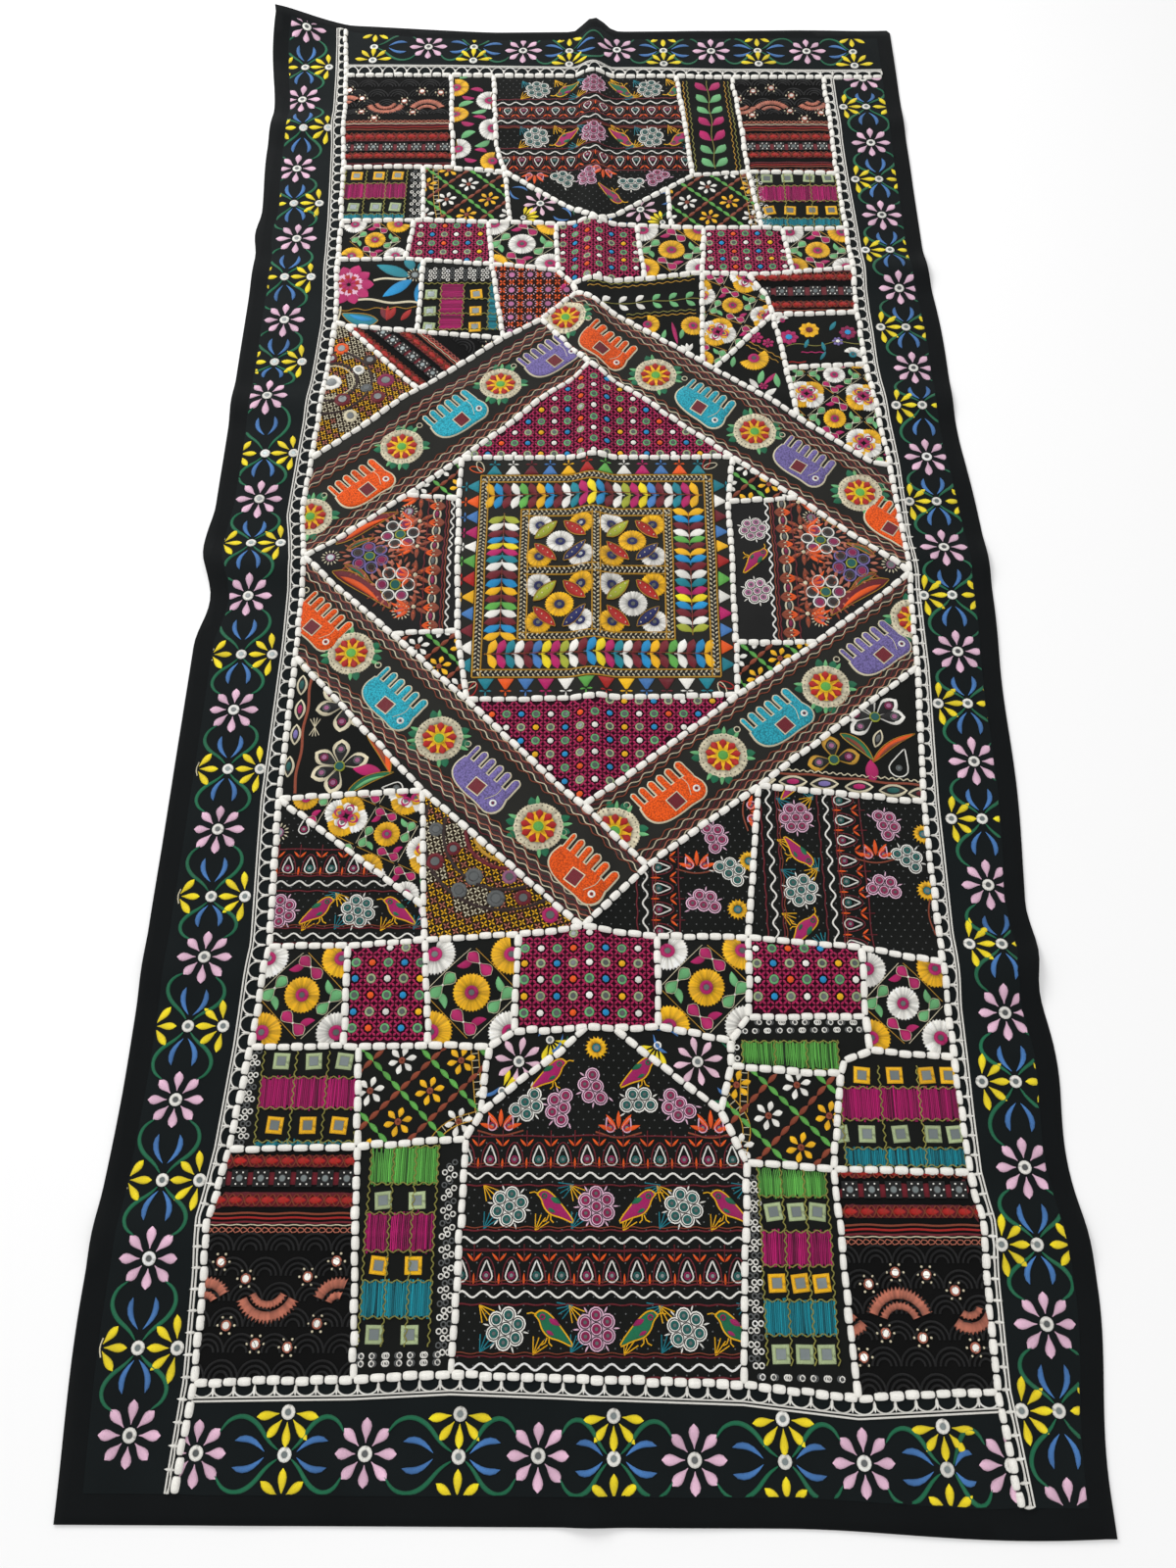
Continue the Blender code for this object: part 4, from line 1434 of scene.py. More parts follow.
# The border flowers' middles and the stations between them, as x and y
DAISIES = {
    "left": ((-474, 1092), (-469, 932), (-461, 770), (-446, 618), (-447, 452), (-455, 305), (-447, 128),
             (-444, -28), (-442, -197), (-441, -359), (-435, -518), (-446, -678), (-450, -840),
             (-445, -1002)),
    "right": ((456, 974), (455, 821), (457, 661), (468, 508), (473, 355), (474, 195), (479, 43), (479, -115),
              (480, -270), (476, -430), (475, -581), (473, -747), (473, -899), (471, -1064)),
    "top": ((-268, 1060), (-108, 1049), (50, 1049), (208, 1044), (368, 1042)),
    "bottom": ((-377, -1017), (-211, -1017), (-41, -1018), (112, -1021), (277, -1023), (420, -1024)),
}
STATIONS = {
    "left": ((-472, 1011), (-458, 856), (-458, 693), (-455, 535), (-453, 372), (-448, 206), (-449, 54),
             (-442, -117), (-439, -279), (-438, -444), (-444, -597), (-448, -762), (-449, -924)),
    "right": ((455, 905), (460, 739), (462, 587), (470, 432), (477, 284), (479, 120), (482, -30),
              (482, -190), (480, -346), (481, -502), (476, -657), (473, -824), (473, -977)),
    "top": ((-360, 1060), (-191, 1058), (-30, 1047), (128, 1046), (286, 1044), (445, 1038)),
    "bottom": ((-290, -1018), (-119, -1019), (33, -1020), (200, -1022), (357, -1028)),
}

# For each side: the hem's width, the direction of the field in degrees, and how far in the inner rings lie
HEM = {"left": 25.0, "right": 23.0, "bottom": 25.0, "top": 20.0}
INWARD = {"left": 0.0, "right": 180.0, "top": -90.0, "bottom": 90.0}
INNER_REACH = {"left": 40.0, "right": 37.0, "top": 33.0, "bottom": 37.0}


def border_edges() -> dict:
    """The rings of the four border strips, between the hem and the cords round the field.

    Returns:
        One ring for each side's name.
    """
    ends = JUNCTIONS

    def side(name: str, low: float, high: float) -> np.ndarray:
        """The hem's inner line along one side, with a point about every 30 mm."""
        along = np.linspace(low, high, max(2, int((high - low) / 30)))
        return CLOTH.edge_line(name, along, HEM[name])

    left = np.vstack([side("left", ends["u2"][1], ends["u0"][1])[::-1],
                      ring_of(["u2"] + FIELD_LEFT[::-1] + ["u0"])])
    corner = CLOTH.edge_line("right", np.array([float(ends["a5"][1])]), HEM["right"])
    right = np.vstack([side("right", ends["u3"][1], ends["a5"][1]), ring_of(FIELD_RIGHT[::-1] + ["u3"])])
    top = np.vstack([ring_of(["u0"] + FIELD_TOP[::-1]), corner,
                     side("top", ends["u0"][0], corner[0, 0])[::-1][:-1]])
    bottom = np.vstack([ring_of(["u2"]), side("bottom", ends["u2"][0], ends["u3"][0])[1:-1],
                        ring_of(["u3"] + FIELD_BOTTOM[::-1])])
    return {"left": left, "right": right, "top": top, "bottom": bottom}


@dataclass(frozen=True)
class LadderTrim:
    """Two white chain-stitched lines outside the field, joined to the cord by rungs and hung loops."""

    reach: float = 20.0
    pitch: float = 20.5

    def side(self, pen: Pen, seam: np.ndarray, reach: np.ndarray) -> None:
        """Stitches one side: rungs stand from the seam, loops hang between them to the double line.

        Args:
            pen: where to stitch.
            seam: the seam's corners, with the field on its left.
            reach: how far out the lines lie at both ends.
        """
        line = resampled(seam, 4.0)
        ahead = unit(np.gradient(line, axis=0))
        out = np.column_stack([ahead[:, 1], -ahead[:, 0]])
        share = np.linspace(0, 1, len(line))
        far = np.interp(share, np.linspace(0, 1, len(reach)), reach)[:, None]
        pen.line(line + out * far, Thread.WHITE, 2.0, 1.0)
        pen.line(line + out * (far - 3.2), Thread.WHITE, 1.7, 0.9)
        count = max(2, round(len(line) * 4.0 / self.pitch))
        stops = np.linspace(0, len(line) - 1, count + 1)
        for first, last in zip(stops[:-1], stops[1:], strict=True):
            inside = np.linspace(first, last, 9)
            depth = 7.5 + (np.interp(inside, np.arange(len(line)), far[:, 0]) - 11.0) * \
                np.sin(np.linspace(0, np.pi, 9)) ** 0.6
            spot = np.column_stack([np.interp(inside, np.arange(len(line)), line[:, c])
                                    for c in range(2)])
            away = np.column_stack([np.interp(inside, np.arange(len(line)), out[:, c]) for c in range(2)])
            pen.line(spot + away * depth[:, None], Thread.WHITE, 1.8, 0.9)
            angle = math.degrees(math.atan2(away[0, 1], away[0, 0]))
            form = petal(max(4.0, depth[0] + 3.5), 3.6, belly=0.9, height=1.2, rows=5)
            pen.sew(form, Thread.WHITE, *(spot[0] + away[0] * 2.5), angle)

    def build(self) -> bpy.types.Object:
        """Stitches all four sides as one piece on the border strips.

        Returns:
            The object.
        """
        work = Stitchwork()
        pen = Pen(work)
        sides = ((["u0"] + FIELD_LEFT[:-1] + ["t0", "u2"], (14, 19, 20, 20, 20, 18, 21, 21, 12, 9)),
                 (["u3", "t5"] + FIELD_RIGHT[1:], (13, 12, 13, 17, 17, 14, 9, 14, 18, 18, 16, 16)),
                 (FIELD_BOTTOM, (17, 18, 18)), (["u1"] + FIELD_TOP, (16, 19, 22, 25)))
        for names, reach in sides:
            self.side(pen, ring_of(names), np.array(reach, float))
        edge = CLOTH.outline(60.0)
        return sew_piece("ladder_trim", work, edge)


@dataclass(frozen=True)
class Patch:
    """One embroidered patch: its ground cloth and the drawing that is stitched over it."""

    name: str
    ground: tuple = (0.075, 0.08, 0.075)
    slot: str = "black_cloth"
    cloth: str = "patch_black"
    roughness: float = 0.85

    @property
    def edge(self) -> np.ndarray:
        """The patch's ring."""
        return ring_of(PATCHES[self.name])

    def draw(self, pen: Pen) -> None:
        """Stitches the patch, which each kind does in its own way."""
        raise NotImplementedError

    def build(self) -> list:
        """Lays the ground and stitches the drawing.

        Returns:
            The cloth and its stitches.
        """
        material = WARDROBE.cloth(self.cloth, self.ground, self.roughness)
        sheet = lay_sheet(f"cloth_{self.name}", self.edge, PATCH_STEP, material,
                          lambda plan: raised(plan, self.edge))
        work = Stitchwork()
        self.draw(Pen(work))
        return [sheet, sew_piece(f"stitches_{self.name}", work, self.edge)]


def wavy(start: tuple, end: tuple, height: float, pitch: float, step: float = 2.5) -> np.ndarray:
    """A path from start to end that swings to both sides as a sine.

    Args:
        start: its first point.
        end: its last point.
        height: how far it swings.
        pitch: the length of one wave.
        step: the distance between points.

    Returns:
        The path.
    """
    a, b = np.array(start, float), np.array(end, float)
    length = math.dist(a, b)
    s = np.linspace(0, length, max(3, round(length / step)))
    ahead = (b - a) / length
    across = np.array([-ahead[1], ahead[0]])
    return a + s[:, None] * ahead + (height * np.sin(TURN * s / pitch))[:, None] * across


def oval(x: float, y: float, rx: float, ry: float, sides: int = 16) -> np.ndarray:
    """Points round an ellipse."""
    angle = np.arange(sides) * TURN / sides
    return np.column_stack([x + rx * np.cos(angle), y + ry * np.sin(angle)])


def fringe(inner: float, outer: float, start: float = 0.0, sweep: float = 360.0, jag: float = 0.05) -> Form:
    """A band of radial stitches between two radii, each stitch its own tone, with painted shade near the
    middle and at the rim, its rim notched.

    Args:
        inner: its inner radius.
        outer: its outer radius.
        start: where it starts, in degrees.
        sweep: how far round it goes, in degrees.
        jag: how deep its notches are, as a share of the radius.

    Returns:
        The fringe.
    """
    count = max(6, int(sweep / 360 * outer * 1.6) * 2)
    angle = np.radians(start) + np.linspace(0, math.radians(sweep), count + 1)
    radii = np.array([inner, inner + (outer - inner) * 0.35, outer * 0.93, outer])[None] + 0 * angle[:, None]
    radii[:, 3] *= 1 + jag * np.where(np.arange(count + 1) % 2, -1, 1)
    x, y = radii * np.cos(angle)[:, None], radii * np.sin(angle)[:, None]
    z = np.array([0.2, 1.25, 0.9, -0.3])[None] + 0 * x
    grain = np.dstack([angle[:, None] * outer * 0.8 + 0 * radii, radii])
    # Each stitch its own random tone, times painted shade: darker near the middle and at the rim.
    shade = np.array([0.45, 0.95, 1.1, 0.6])[None] * RNG.uniform(0.62, 1.12, (count + 1, 1))
    faces = grid_faces(count + 1, 4)[:, ::-1]
    return Form(np.dstack([x, y, z]).reshape(-1, 3), faces, grain.reshape(-1, 2), shade.ravel())


def bloom(pen: Pen, thread: Thread, radius: float = 20.0, heart: Thread = Thread.MAGENTA,
          start: float = 0.0, sweep: float = 360.0) -> None:
    """A fringed flower, or a slice of one, with a stitched heart and a mirror.

    Args:
        pen: its middle.
        thread: the colour of its fringe.
        radius: its radius.
        heart: the colour of its heart.
        start: where a slice starts, in degrees.
        sweep: how far round a slice goes, in degrees.
    """
    pen.sew(fringe(radius * 0.34, radius, start, sweep), thread)
    pen.sew(ring(radius * 0.14, radius * 0.40, 14, 1.3), heart, lift=0.3)
    pen.sew(disc(radius * 0.16, 10, 0.9), Thread.GREY, slot=Slot.GLASS)


def rimmed(pen: Pen, form: Form, thread: Thread, rim: Thread, width: float = 1.2,
           lift: float = 0.0) -> None:
    """Sews a petal and a line of another thread along its edge.

    Args:
        pen: where the petal goes.
        form: the petal.
        thread: its colour.
        rim: the line's colour.
        width: the line's width.
        lift: how far both are raised.
    """
    pen.sew(form, thread, lift=lift)
    rows = form.points.reshape(-1, 4, 3)
    pen.line(np.vstack([rows[:, 0, :2], rows[::-1, 3, :2]]), rim, width, 1.1, closed=True, lift=lift)


def leaf_pair(pen: Pen, thread: Thread, size: float) -> None:
    """Two round-ended leaves that meet at the pen, each edged with a cream line, with a white knot between.

    Args:
        pen: where they meet, along its x axis.
        thread: their colour.
        size: the length of one.
    """
    for side in (0, 180):
        rimmed(pen.moved(0, 0, side), petal(size, size * 0.8, belly=1.5, height=1.2), thread, Thread.CREAM,
               0.9)
    pen.bead(0, 0, 1.5, Thread.WHITE, 1.8)


def bird(pen: Pen, body: Thread, wing: Thread) -> None:
    """A small bird with a beak, a wing, a long tail and claws, edged in yellow, that faces +x.

    Args:
        pen: its middle.
        body: the colour of its body.
        wing: the colour of its wing and eye.
    """
    outline = np.array([(17, 13), (11, 18), (3, 15), (-8, 4), (-26, -19), (-10, -11), (3, -8), (10, 0),
                        (12, 8)])
    pen.sew(blob(smooth(np.vstack([outline, outline[:1]]), 3.5)[:-1], 1.1, 0.86), body)
    pen.curve([*outline, outline[0]], Thread.SUN, 1.9, lift=0.3)
    for size, x, y in ((13, -9, 3), (9, -3, -6)):
        pen.sew(petal(size, size * 0.5, belly=1.2), wing, x, y, 28, lift=1.0)
    pen.sew(ring(1.4, 3.4, 9, 1.2), wing, 9, 11, lift=1.0)
    for path in (((15, 13), (20, 15), (25, 14)), ((4, -8), (6, -13), (10, -15)),
                 ((2, -8), (2, -13), (-1, -16))):
        pen.line(path, Thread.SUN, 1.7)


def ring_flower(pen: Pen, glass: Thread, count: int = 6, radius: float = 13.0) -> None:
    """Small mirrors in an arc or ring round a middle one, in a scalloped pale rim with short rays.

    Args:
        pen: its middle.
        glass: the colour round its mirrors.
        count: how many of the six places in the ring have a mirror.
        radius: the ring's radius.
    """
    rim = Thread.PINK if glass is Thread.WINE else Thread.WHITE
    angles = np.radians(np.arange(count) * 60 + 20)
    spots = [(0.0, 0.0), *zip(radius * np.cos(angles), radius * np.sin(angles), strict=True)]
    for x, y in spots:
        pen.sew(disc(8.0, 12, 0.5), rim, x, y)
    for x, y in spots:
        pen.sew(disc(6.5, 12, 0.9), Thread.BLACK, x, y)
        pen.sew(disc(5.5, 12, 1.3), rim, x, y)
        pen.sew(disc(4.5, 12, 1.7), glass, x, y)
        pen.sew(disc(1.9, 8, 2.1), Thread.GREY, x, y, slot=Slot.GLASS)
    pen.fan(0, 0, rim, np.degrees(angles) + 30, radius + 4, radius + 11, 2.2, belly=0.8, rows=4)


def sprig(pen: Pen, thread: Thread, length: float = 20.0) -> None:
    """Four thin strokes that spread from the pen.

    Args:
        pen: where they start, facing +x.
        thread: their colour.
        length: how long they are.
    """
    for angle in (-28, -9, 10, 30):
        c, s = math.cos(math.radians(angle)) * length, math.sin(math.radians(angle)) * length
        pen.line([(0, 0), (c / 2, s / 2), (c, s)], thread, 1.5)


def drop(pen: Pen, glass: Thread, length: float = 21.0, rim: Thread = Thread.WHITE) -> None:
    """A mirror in a drop-shaped outline that points along +y: a circle whose top half narrows as it rises.

    Args:
        pen: the middle of its round end.
        glass: the colour round its mirror.
        length: its length.
        rim: the colour of its outline.
    """
    half = length * 0.30
    u = np.arange(18) * TURN / 18
    up = np.maximum(0, np.cos(u))
    x = half * np.sin(u) * (1 - 0.72 * up)
    y = np.where(up > 0, np.cos(u) * length * 0.68, np.cos(u) * half)
    pen.line(np.column_stack([x, y]), rim, 2.0, 1.0, closed=True)
    pen.mirror(0, 0, 1.9, glass, 2.6, 10)


def sun(pen: Pen, size: float = 11.0) -> None:
    """A small spiky yellow sun with a mirror."""
    pen.sew(fringe(size * 0.45, size, jag=0.24), Thread.SUN)
    pen.mirror(0, 0, size * 0.26, Thread.TEAL, 2.0)


def spark(pen: Pen, thread: Thread = Thread.MAUVE) -> None:
    """A mirror with fourteen cream ticks round it."""
    pen.fan(0, 0, Thread.CREAM, np.arange(14) * 360 / 14, 7, 12.5, 2.2, rows=4)
    pen.mirror(0, 0, 4.4, thread, 2.0)


def nest(pen: Pen, size: float = 20.0) -> None:
    """Orange leaves spread over a rust arc, with two drops between.

    Args:
        pen: where to stitch.
        size: its size, in mm.
    """
    pen.fan(0, 0, Thread.ORANGE, (18, 54, 90, 126, 162), 4, size + 3, 6, belly=0.9)
    for side in (-1, 1):
        drop(pen.moved(side * 9, 5, -side * 20), Thread.WINE, 16, Thread.PINK)
    pen.curve([(-size - 5, 0), (0, -7), (size + 5, 0)], Thread.RUST, 2.4)


def leaf(pen: Pen, body: Thread, vein: Thread, length: float = 50.0, width: float = 14.0) -> None:
    """A long bowed leaf along +x with an inner leaf of another colour, edged in gold.

    Args:
        pen: its stalk.
        body: its colour.
        vein: the colour of the inner leaf.
        length: its length.
        width: its greatest width.
    """
    rimmed(pen, petal(length, width, belly=0.8, bend=length * 0.08, height=1.0, rows=11), body, Thread.GOLD,
           1.5)
    pen.sew(petal(length * 0.66, width * 0.42, belly=0.8, bend=length * 0.05, rows=8), vein, length * 0.14,
            0, lift=0.9)


def cluster(pen: Pen, count: int = 6, rim: Thread = Thread.WHITE, radius: float = 17.5) -> None:
    """Large ringed discs round a green one, each in a pale scallop.

    Args:
        pen: its middle.
        count: how many of the six places have a disc.
        rim: the colour of the scallops.
        radius: how far out they are.
    """
    for k in range(count):
        x, y = radius * math.cos(TURN * k / 6), radius * math.sin(TURN * k / 6)
        pen.sew(ring(6.9, 9.4, 14, 1.2), rim, x, y)
        pen.sew(ring(4.4, 6.2, 12, 1.1), Thread.MAUVE if k % 2 else Thread.GREY, x, y)
        pen.sew(disc(4.6, 10, 0.8), Thread.WINE if k % 2 else Thread.EARTH, x, y)
    pen.sew(ring(5.6, 7.8, 14, 1.4), Thread.LIME)
    pen.sew(disc(5.8, 12, 1.0), Thread.PINE)


def tulip(pen: Pen, thread: Thread, size: float = 16.0) -> None:
    """Three pointed petals from one stalk, facing +x."""
    pen.fan(0, 0, thread, (-32, 0, 32), 1, size, size * 0.42, belly=0.9)


def eye(pen: Pen, thread: Thread, length: float = 22.0) -> None:
    """A pointed oval along x: a cream line, a black gap and a coloured pupil.

    Args:
        pen: its middle.
        thread: the colour of its pupil.
        length: its length.
    """
    for share, colour, height in ((1.0, Thread.CREAM, 0.8), (0.84, Thread.BLACK, 1.2), (0.54, thread, 1.9)):
        pen.sew(petal(length * share, length * 0.56 * share, height=height, rows=9), colour,
                -length * share / 2, 0)


def star(pen: Pen, thread: Thread, size: float = 26.0) -> None:
    """Six pointed leaves with an orange line down each, round a cream knot.

    Args:
        pen: where to stitch.
        thread: its colour.
        size: its size, in mm.
    """
    pen.fan(0, 0, thread, np.arange(6) * 60, 3, size, size * 0.34, belly=0.85)
    pen.fan(0, 0, Thread.ORANGE, np.arange(6) * 60, 5, size * 0.86, 2.6, belly=0.8)
    pen.bead(0, 0, 3.2, Thread.CREAM, 2.0)


def flower(pen: Pen, thread: Thread, size: float, heart: Thread, petals: int = 8) -> None:
    """Broad petals side by side round a domed middle."""
    pen.fan(0, 0, thread, np.arange(petals) * 360 / petals, size * 0.2, size, size * 0.7, belly=1.5)
    pen.sew(disc(size * 0.36, 10, 1.7, dome=1.0), heart)


def stroke(pen: Pen, thread: Thread, length: float, width: float, bend: float = 0.0) -> None:
    """One satin-stitched petal along +x."""
    pen.sew(petal(length, width, belly=0.95, bend=bend, rows=9), thread)


def paw(pen: Pen, spread: tuple, rim: Thread = Thread.CREAM, reach: float = 28.0) -> None:
    """Long pale loops from a green ring, each black inside with a ringed disc at its far end.

    Args:
        pen: the middle of the green ring.
        spread: where the loops point, in degrees.
        rim: the colour of the loops.
        reach: how far out the discs are.
    """
    for angle in spread:
        pen.moved(0, 0, angle).sew(petal(reach + 11, 25, belly=1.7, rows=11), rim)
    for k, angle in enumerate(spread):
        loop = pen.moved(0, 0, angle)
        loop.sew(petal(reach + 4, 15.5, belly=1.7, height=0.6, rows=11), Thread.BLACK, 2, 0, lift=0.9)
        loop.sew(ring(3.0, 6.2, 12, 1.6), Thread.WINE if k % 2 else Thread.GREY, reach - 3, 0, lift=0.6)
        loop.sew(disc(3.3, 9, 1.8), Thread.MAUVE, reach - 3, 0)
    pen.sew(ring(4.8, 7.4, 14, 2.0), Thread.LIME)
    pen.sew(disc(5.2, 12, 1.7), Thread.PINE)


def vine(pen: Pen, length: float, names: str, size: float) -> None:
    """A stem along +x with a pair of leaves to each colour name.

    Args:
        pen: the stem's foot.
        length: the stem's length.
        names: the leaves' colours, in order.
        size: the length of a leaf.
    """
    pen.line(wavy((0, 0), (length, 0), 1.2, 60, 4), Thread.OLIVE, 1.6)
    listed = names.split()
    for k, name in enumerate(listed):
        for side in (-1, 1):
            form = petal(size, size * 0.62, belly=1.3, bend=side * 1.5, height=1.3)
            pen.sew(form, Thread[name], (k + 0.15) * length / len(listed), side * 1.2, side * 42)


def bud(pen: Pen, thread: Thread, size: float = 22.0) -> None:
    """Half a fringed flower that faces +x, with a green leaf, a magenta leaf and a gold line behind it.

    Args:
        pen: where to stitch.
        thread: its colour.
        size: its size, in mm.
    """
    bloom(pen, thread, size, start=-100, sweep=200)
    pen.sew(petal(size * 1.2, size * 0.62, belly=0.9, bend=3), Thread.LEAF, size * 0.2, size * 1.02, 28)
    pen.sew(petal(size * 1.0, size * 0.5, belly=0.9, bend=-3), Thread.MAGENTA, size * 0.5, -size * 1.0, -14)
    pen.line([(-3, -size), (-3, 0), (-3, size)], Thread.GOLD, 1.2)


def daisy(pen: Pen, size: float = 27.0) -> None:
    """A border daisy with the blue leaves and green vines beside it.

    Args:
        pen: where to stitch.
        size: its size, in mm.
    """
    pen.fan(0, 0, Thread.BLUSH, np.arange(8) * 45, size * 0.28, size, 8.5, belly=1.7)
    pen.mirror(0, 0, 3.0, Thread.WHITE, 3.6)
    for side in (-1, 1):
        form = petal(24, 4.6, belly=0.75, bend=side * 3, hook=-side * 8)
        pen.sew(form, Thread.BLUE, 33, side * 11)
        pen.sew(form, Thread.BLUE, -33, -side * 11, 180)
        vine_path = smooth([(8, side * 34), (24, side * 31), (40, side * 26), (60, side * 8)], 4.0)
        pen.line(vine_path, Thread.VINE, 3.2, 0.9, taper=0.7)


def half_sun(pen: Pen, size: float = 24.0) -> None:
    """Five yellow petals that spread from a white ring, facing +x."""
    pen.fan(0, 0, Thread.YELLOW, (-50, -25, 0, 25, 50), 6, size, 6.5, belly=1.5)
    pen.mirror(0, 0, 2.4, Thread.WHITE, 2.4)


@dataclass(frozen=True)
class MotifPatch(Patch):
    """A patch drawn from a list of single motifs and a list of lines.

    A motif is its function, its place, its turn, and what else the function is given. A line is its
    thread, its width, how far it waves, how long its waves are, and its two ends. Frame is the
    drawing's own place and turn and whether it is mirrored.
    """

    motifs: tuple = ()
    lines: tuple = ()
    frame: tuple = (0.0, 0.0, 0.0, False)

    def draw(self, pen: Pen) -> None:
        """Stitches the lines, then every motif.

        Args:
            pen: where to stitch.
        """
        pen = pen.moved(*self.frame)
        for thread, width, height, pitch, start, end in self.lines:
            pen.line(wavy(start, end, height, pitch), thread, width)
        for motif, x, y, turn, *more in self.motifs:
            motif(pen.moved(x, y, turn), *more)


@dataclass(frozen=True)
class BloomPatch(Patch):
    """A square of fringed flowers: one in the middle, four cut ones in the corners, and leaf pairs."""

    middle: Thread = Thread.SUN

    def draw(self, pen: Pen) -> None:
        """Stitches one square, sized to fit inside the patch's ring.

        Args:
            pen: where to stitch.
        """
        edge = self.edge
        low, high = edge.min(axis=0), edge.max(axis=0)
        x, y = edge.mean(axis=0) * 0.4 + (low + high) * 0.3
        self.square(pen.moved(x, y), 0.5 * float(min(high - low)) - 2, self.middle)

    @staticmethod
    def square(pen: Pen, half: float, middle: Thread) -> None:
        """Stitches one square round the pen.

        Args:
            pen: its middle.
            half: half its side.
            middle: the colour of its middle flower.
        """
        bloom(pen, middle, half * 0.41)
        for angle, thread in ((45, Thread.SUN), (135, Thread.WHITE), (225, Thread.SUN), (315, Thread.WHITE)):
            corner = pen.moved(0, 0, angle)
            bloom(corner.moved(half * 1.2, 0), thread, half * 0.46, start=52, sweep=256)
            side = resampled(np.array([(half * 0.74, -half * 0.66), (half * 0.74, half * 0.66)]), 3.0)
            corner.line(side, Thread.CREAM if thread is Thread.WHITE else Thread.GOLD, 1.1)
            first, second = Thread.LEAF, Thread.MAGENTA
            if thread is Thread.SUN:
                first, second = second, first
            leaf_pair(corner.moved(half * 0.56, half * 0.34, -90), first, half * 0.36)
            corner.sew(petal(half * 0.36, half * 0.2, belly=0.8, bend=2.0), second, half * 0.52, -half * 0.5,
                       70)


@dataclass(frozen=True)
class BloomScatter(BloomPatch):
    """A patch cut at a slant from cloth of fringed flowers: squares side by side, cut by the seams."""

    half: float = 50.0
    frame: tuple = (0.0, 0.0, 0.0)

    def draw(self, pen: Pen) -> None:
        """Stitches every square whose middle is near the patch, white and yellow by turns.

        Args:
            pen: where to stitch.
        """
        base = pen.moved(*self.frame)
        for i, j in np.ndindex(7, 7):
            x, y = (i - 3) * self.half * 2, (j - 3) * self.half * 2
            apart, _, inside = seam_distance(base.to_plan(np.array([[x, y]])), self.edge)
            if inside[0] or apart[0] < self.half * 1.2:
                self.square(base.moved(x, y), self.half - 1, Thread.WHITE if (i + j) % 2 else Thread.SUN)


@dataclass(frozen=True)
class MirrorPatch(Patch):
    """Magenta cross stitch with a chequer of small ringed mirrors and coloured knots."""

    origin: tuple = (0.0, 0.0)
    pitch: float = 18.5
    knots: tuple = (Thread.WHITE, Thread.SKY, Thread.SUN, Thread.WHITE, Thread.SKY, Thread.ORANGE)

    def draw(self, pen: Pen) -> None:
        """Stitches every crossing of the chequer that lies inside the ring.

        Args:
            pen: where to stitch.
        """
        base = pen.moved(*self.origin)
        i, j = (grid.ravel() for grid in np.meshgrid(np.arange(-26, 27), np.arange(-26, 27)))
        half = self.pitch / 2
        apart, _, inside = seam_distance(base.to_plan(np.column_stack([i, j]) * half), self.edge)
        for a, b, gap in zip(i[inside], j[inside], apart[inside], strict=True):
            x, y = a * half, b * half
            if (a % 2 or b % 2) and gap > 2.5:
                base.fan(x, y, Thread.CERISE, (45, 135, 225, 315), 0.6, 6.6, 3.4, belly=0.8, rows=4)
            elif gap > 5 and (a // 2 + b // 2) % 2:
                base.bead(x, y, 4.1, self.knots[(a // 2) % len(self.knots)], 1.6)
            elif gap > 5:
                base.sew(ring(2.9, 5.8, 14, 1.3), Thread.PALE if a % 4 else Thread.LEAF, x, y)
                base.sew(disc(3.0, 10, 0.7), Thread.GREY, x, y, slot=Slot.GLASS)


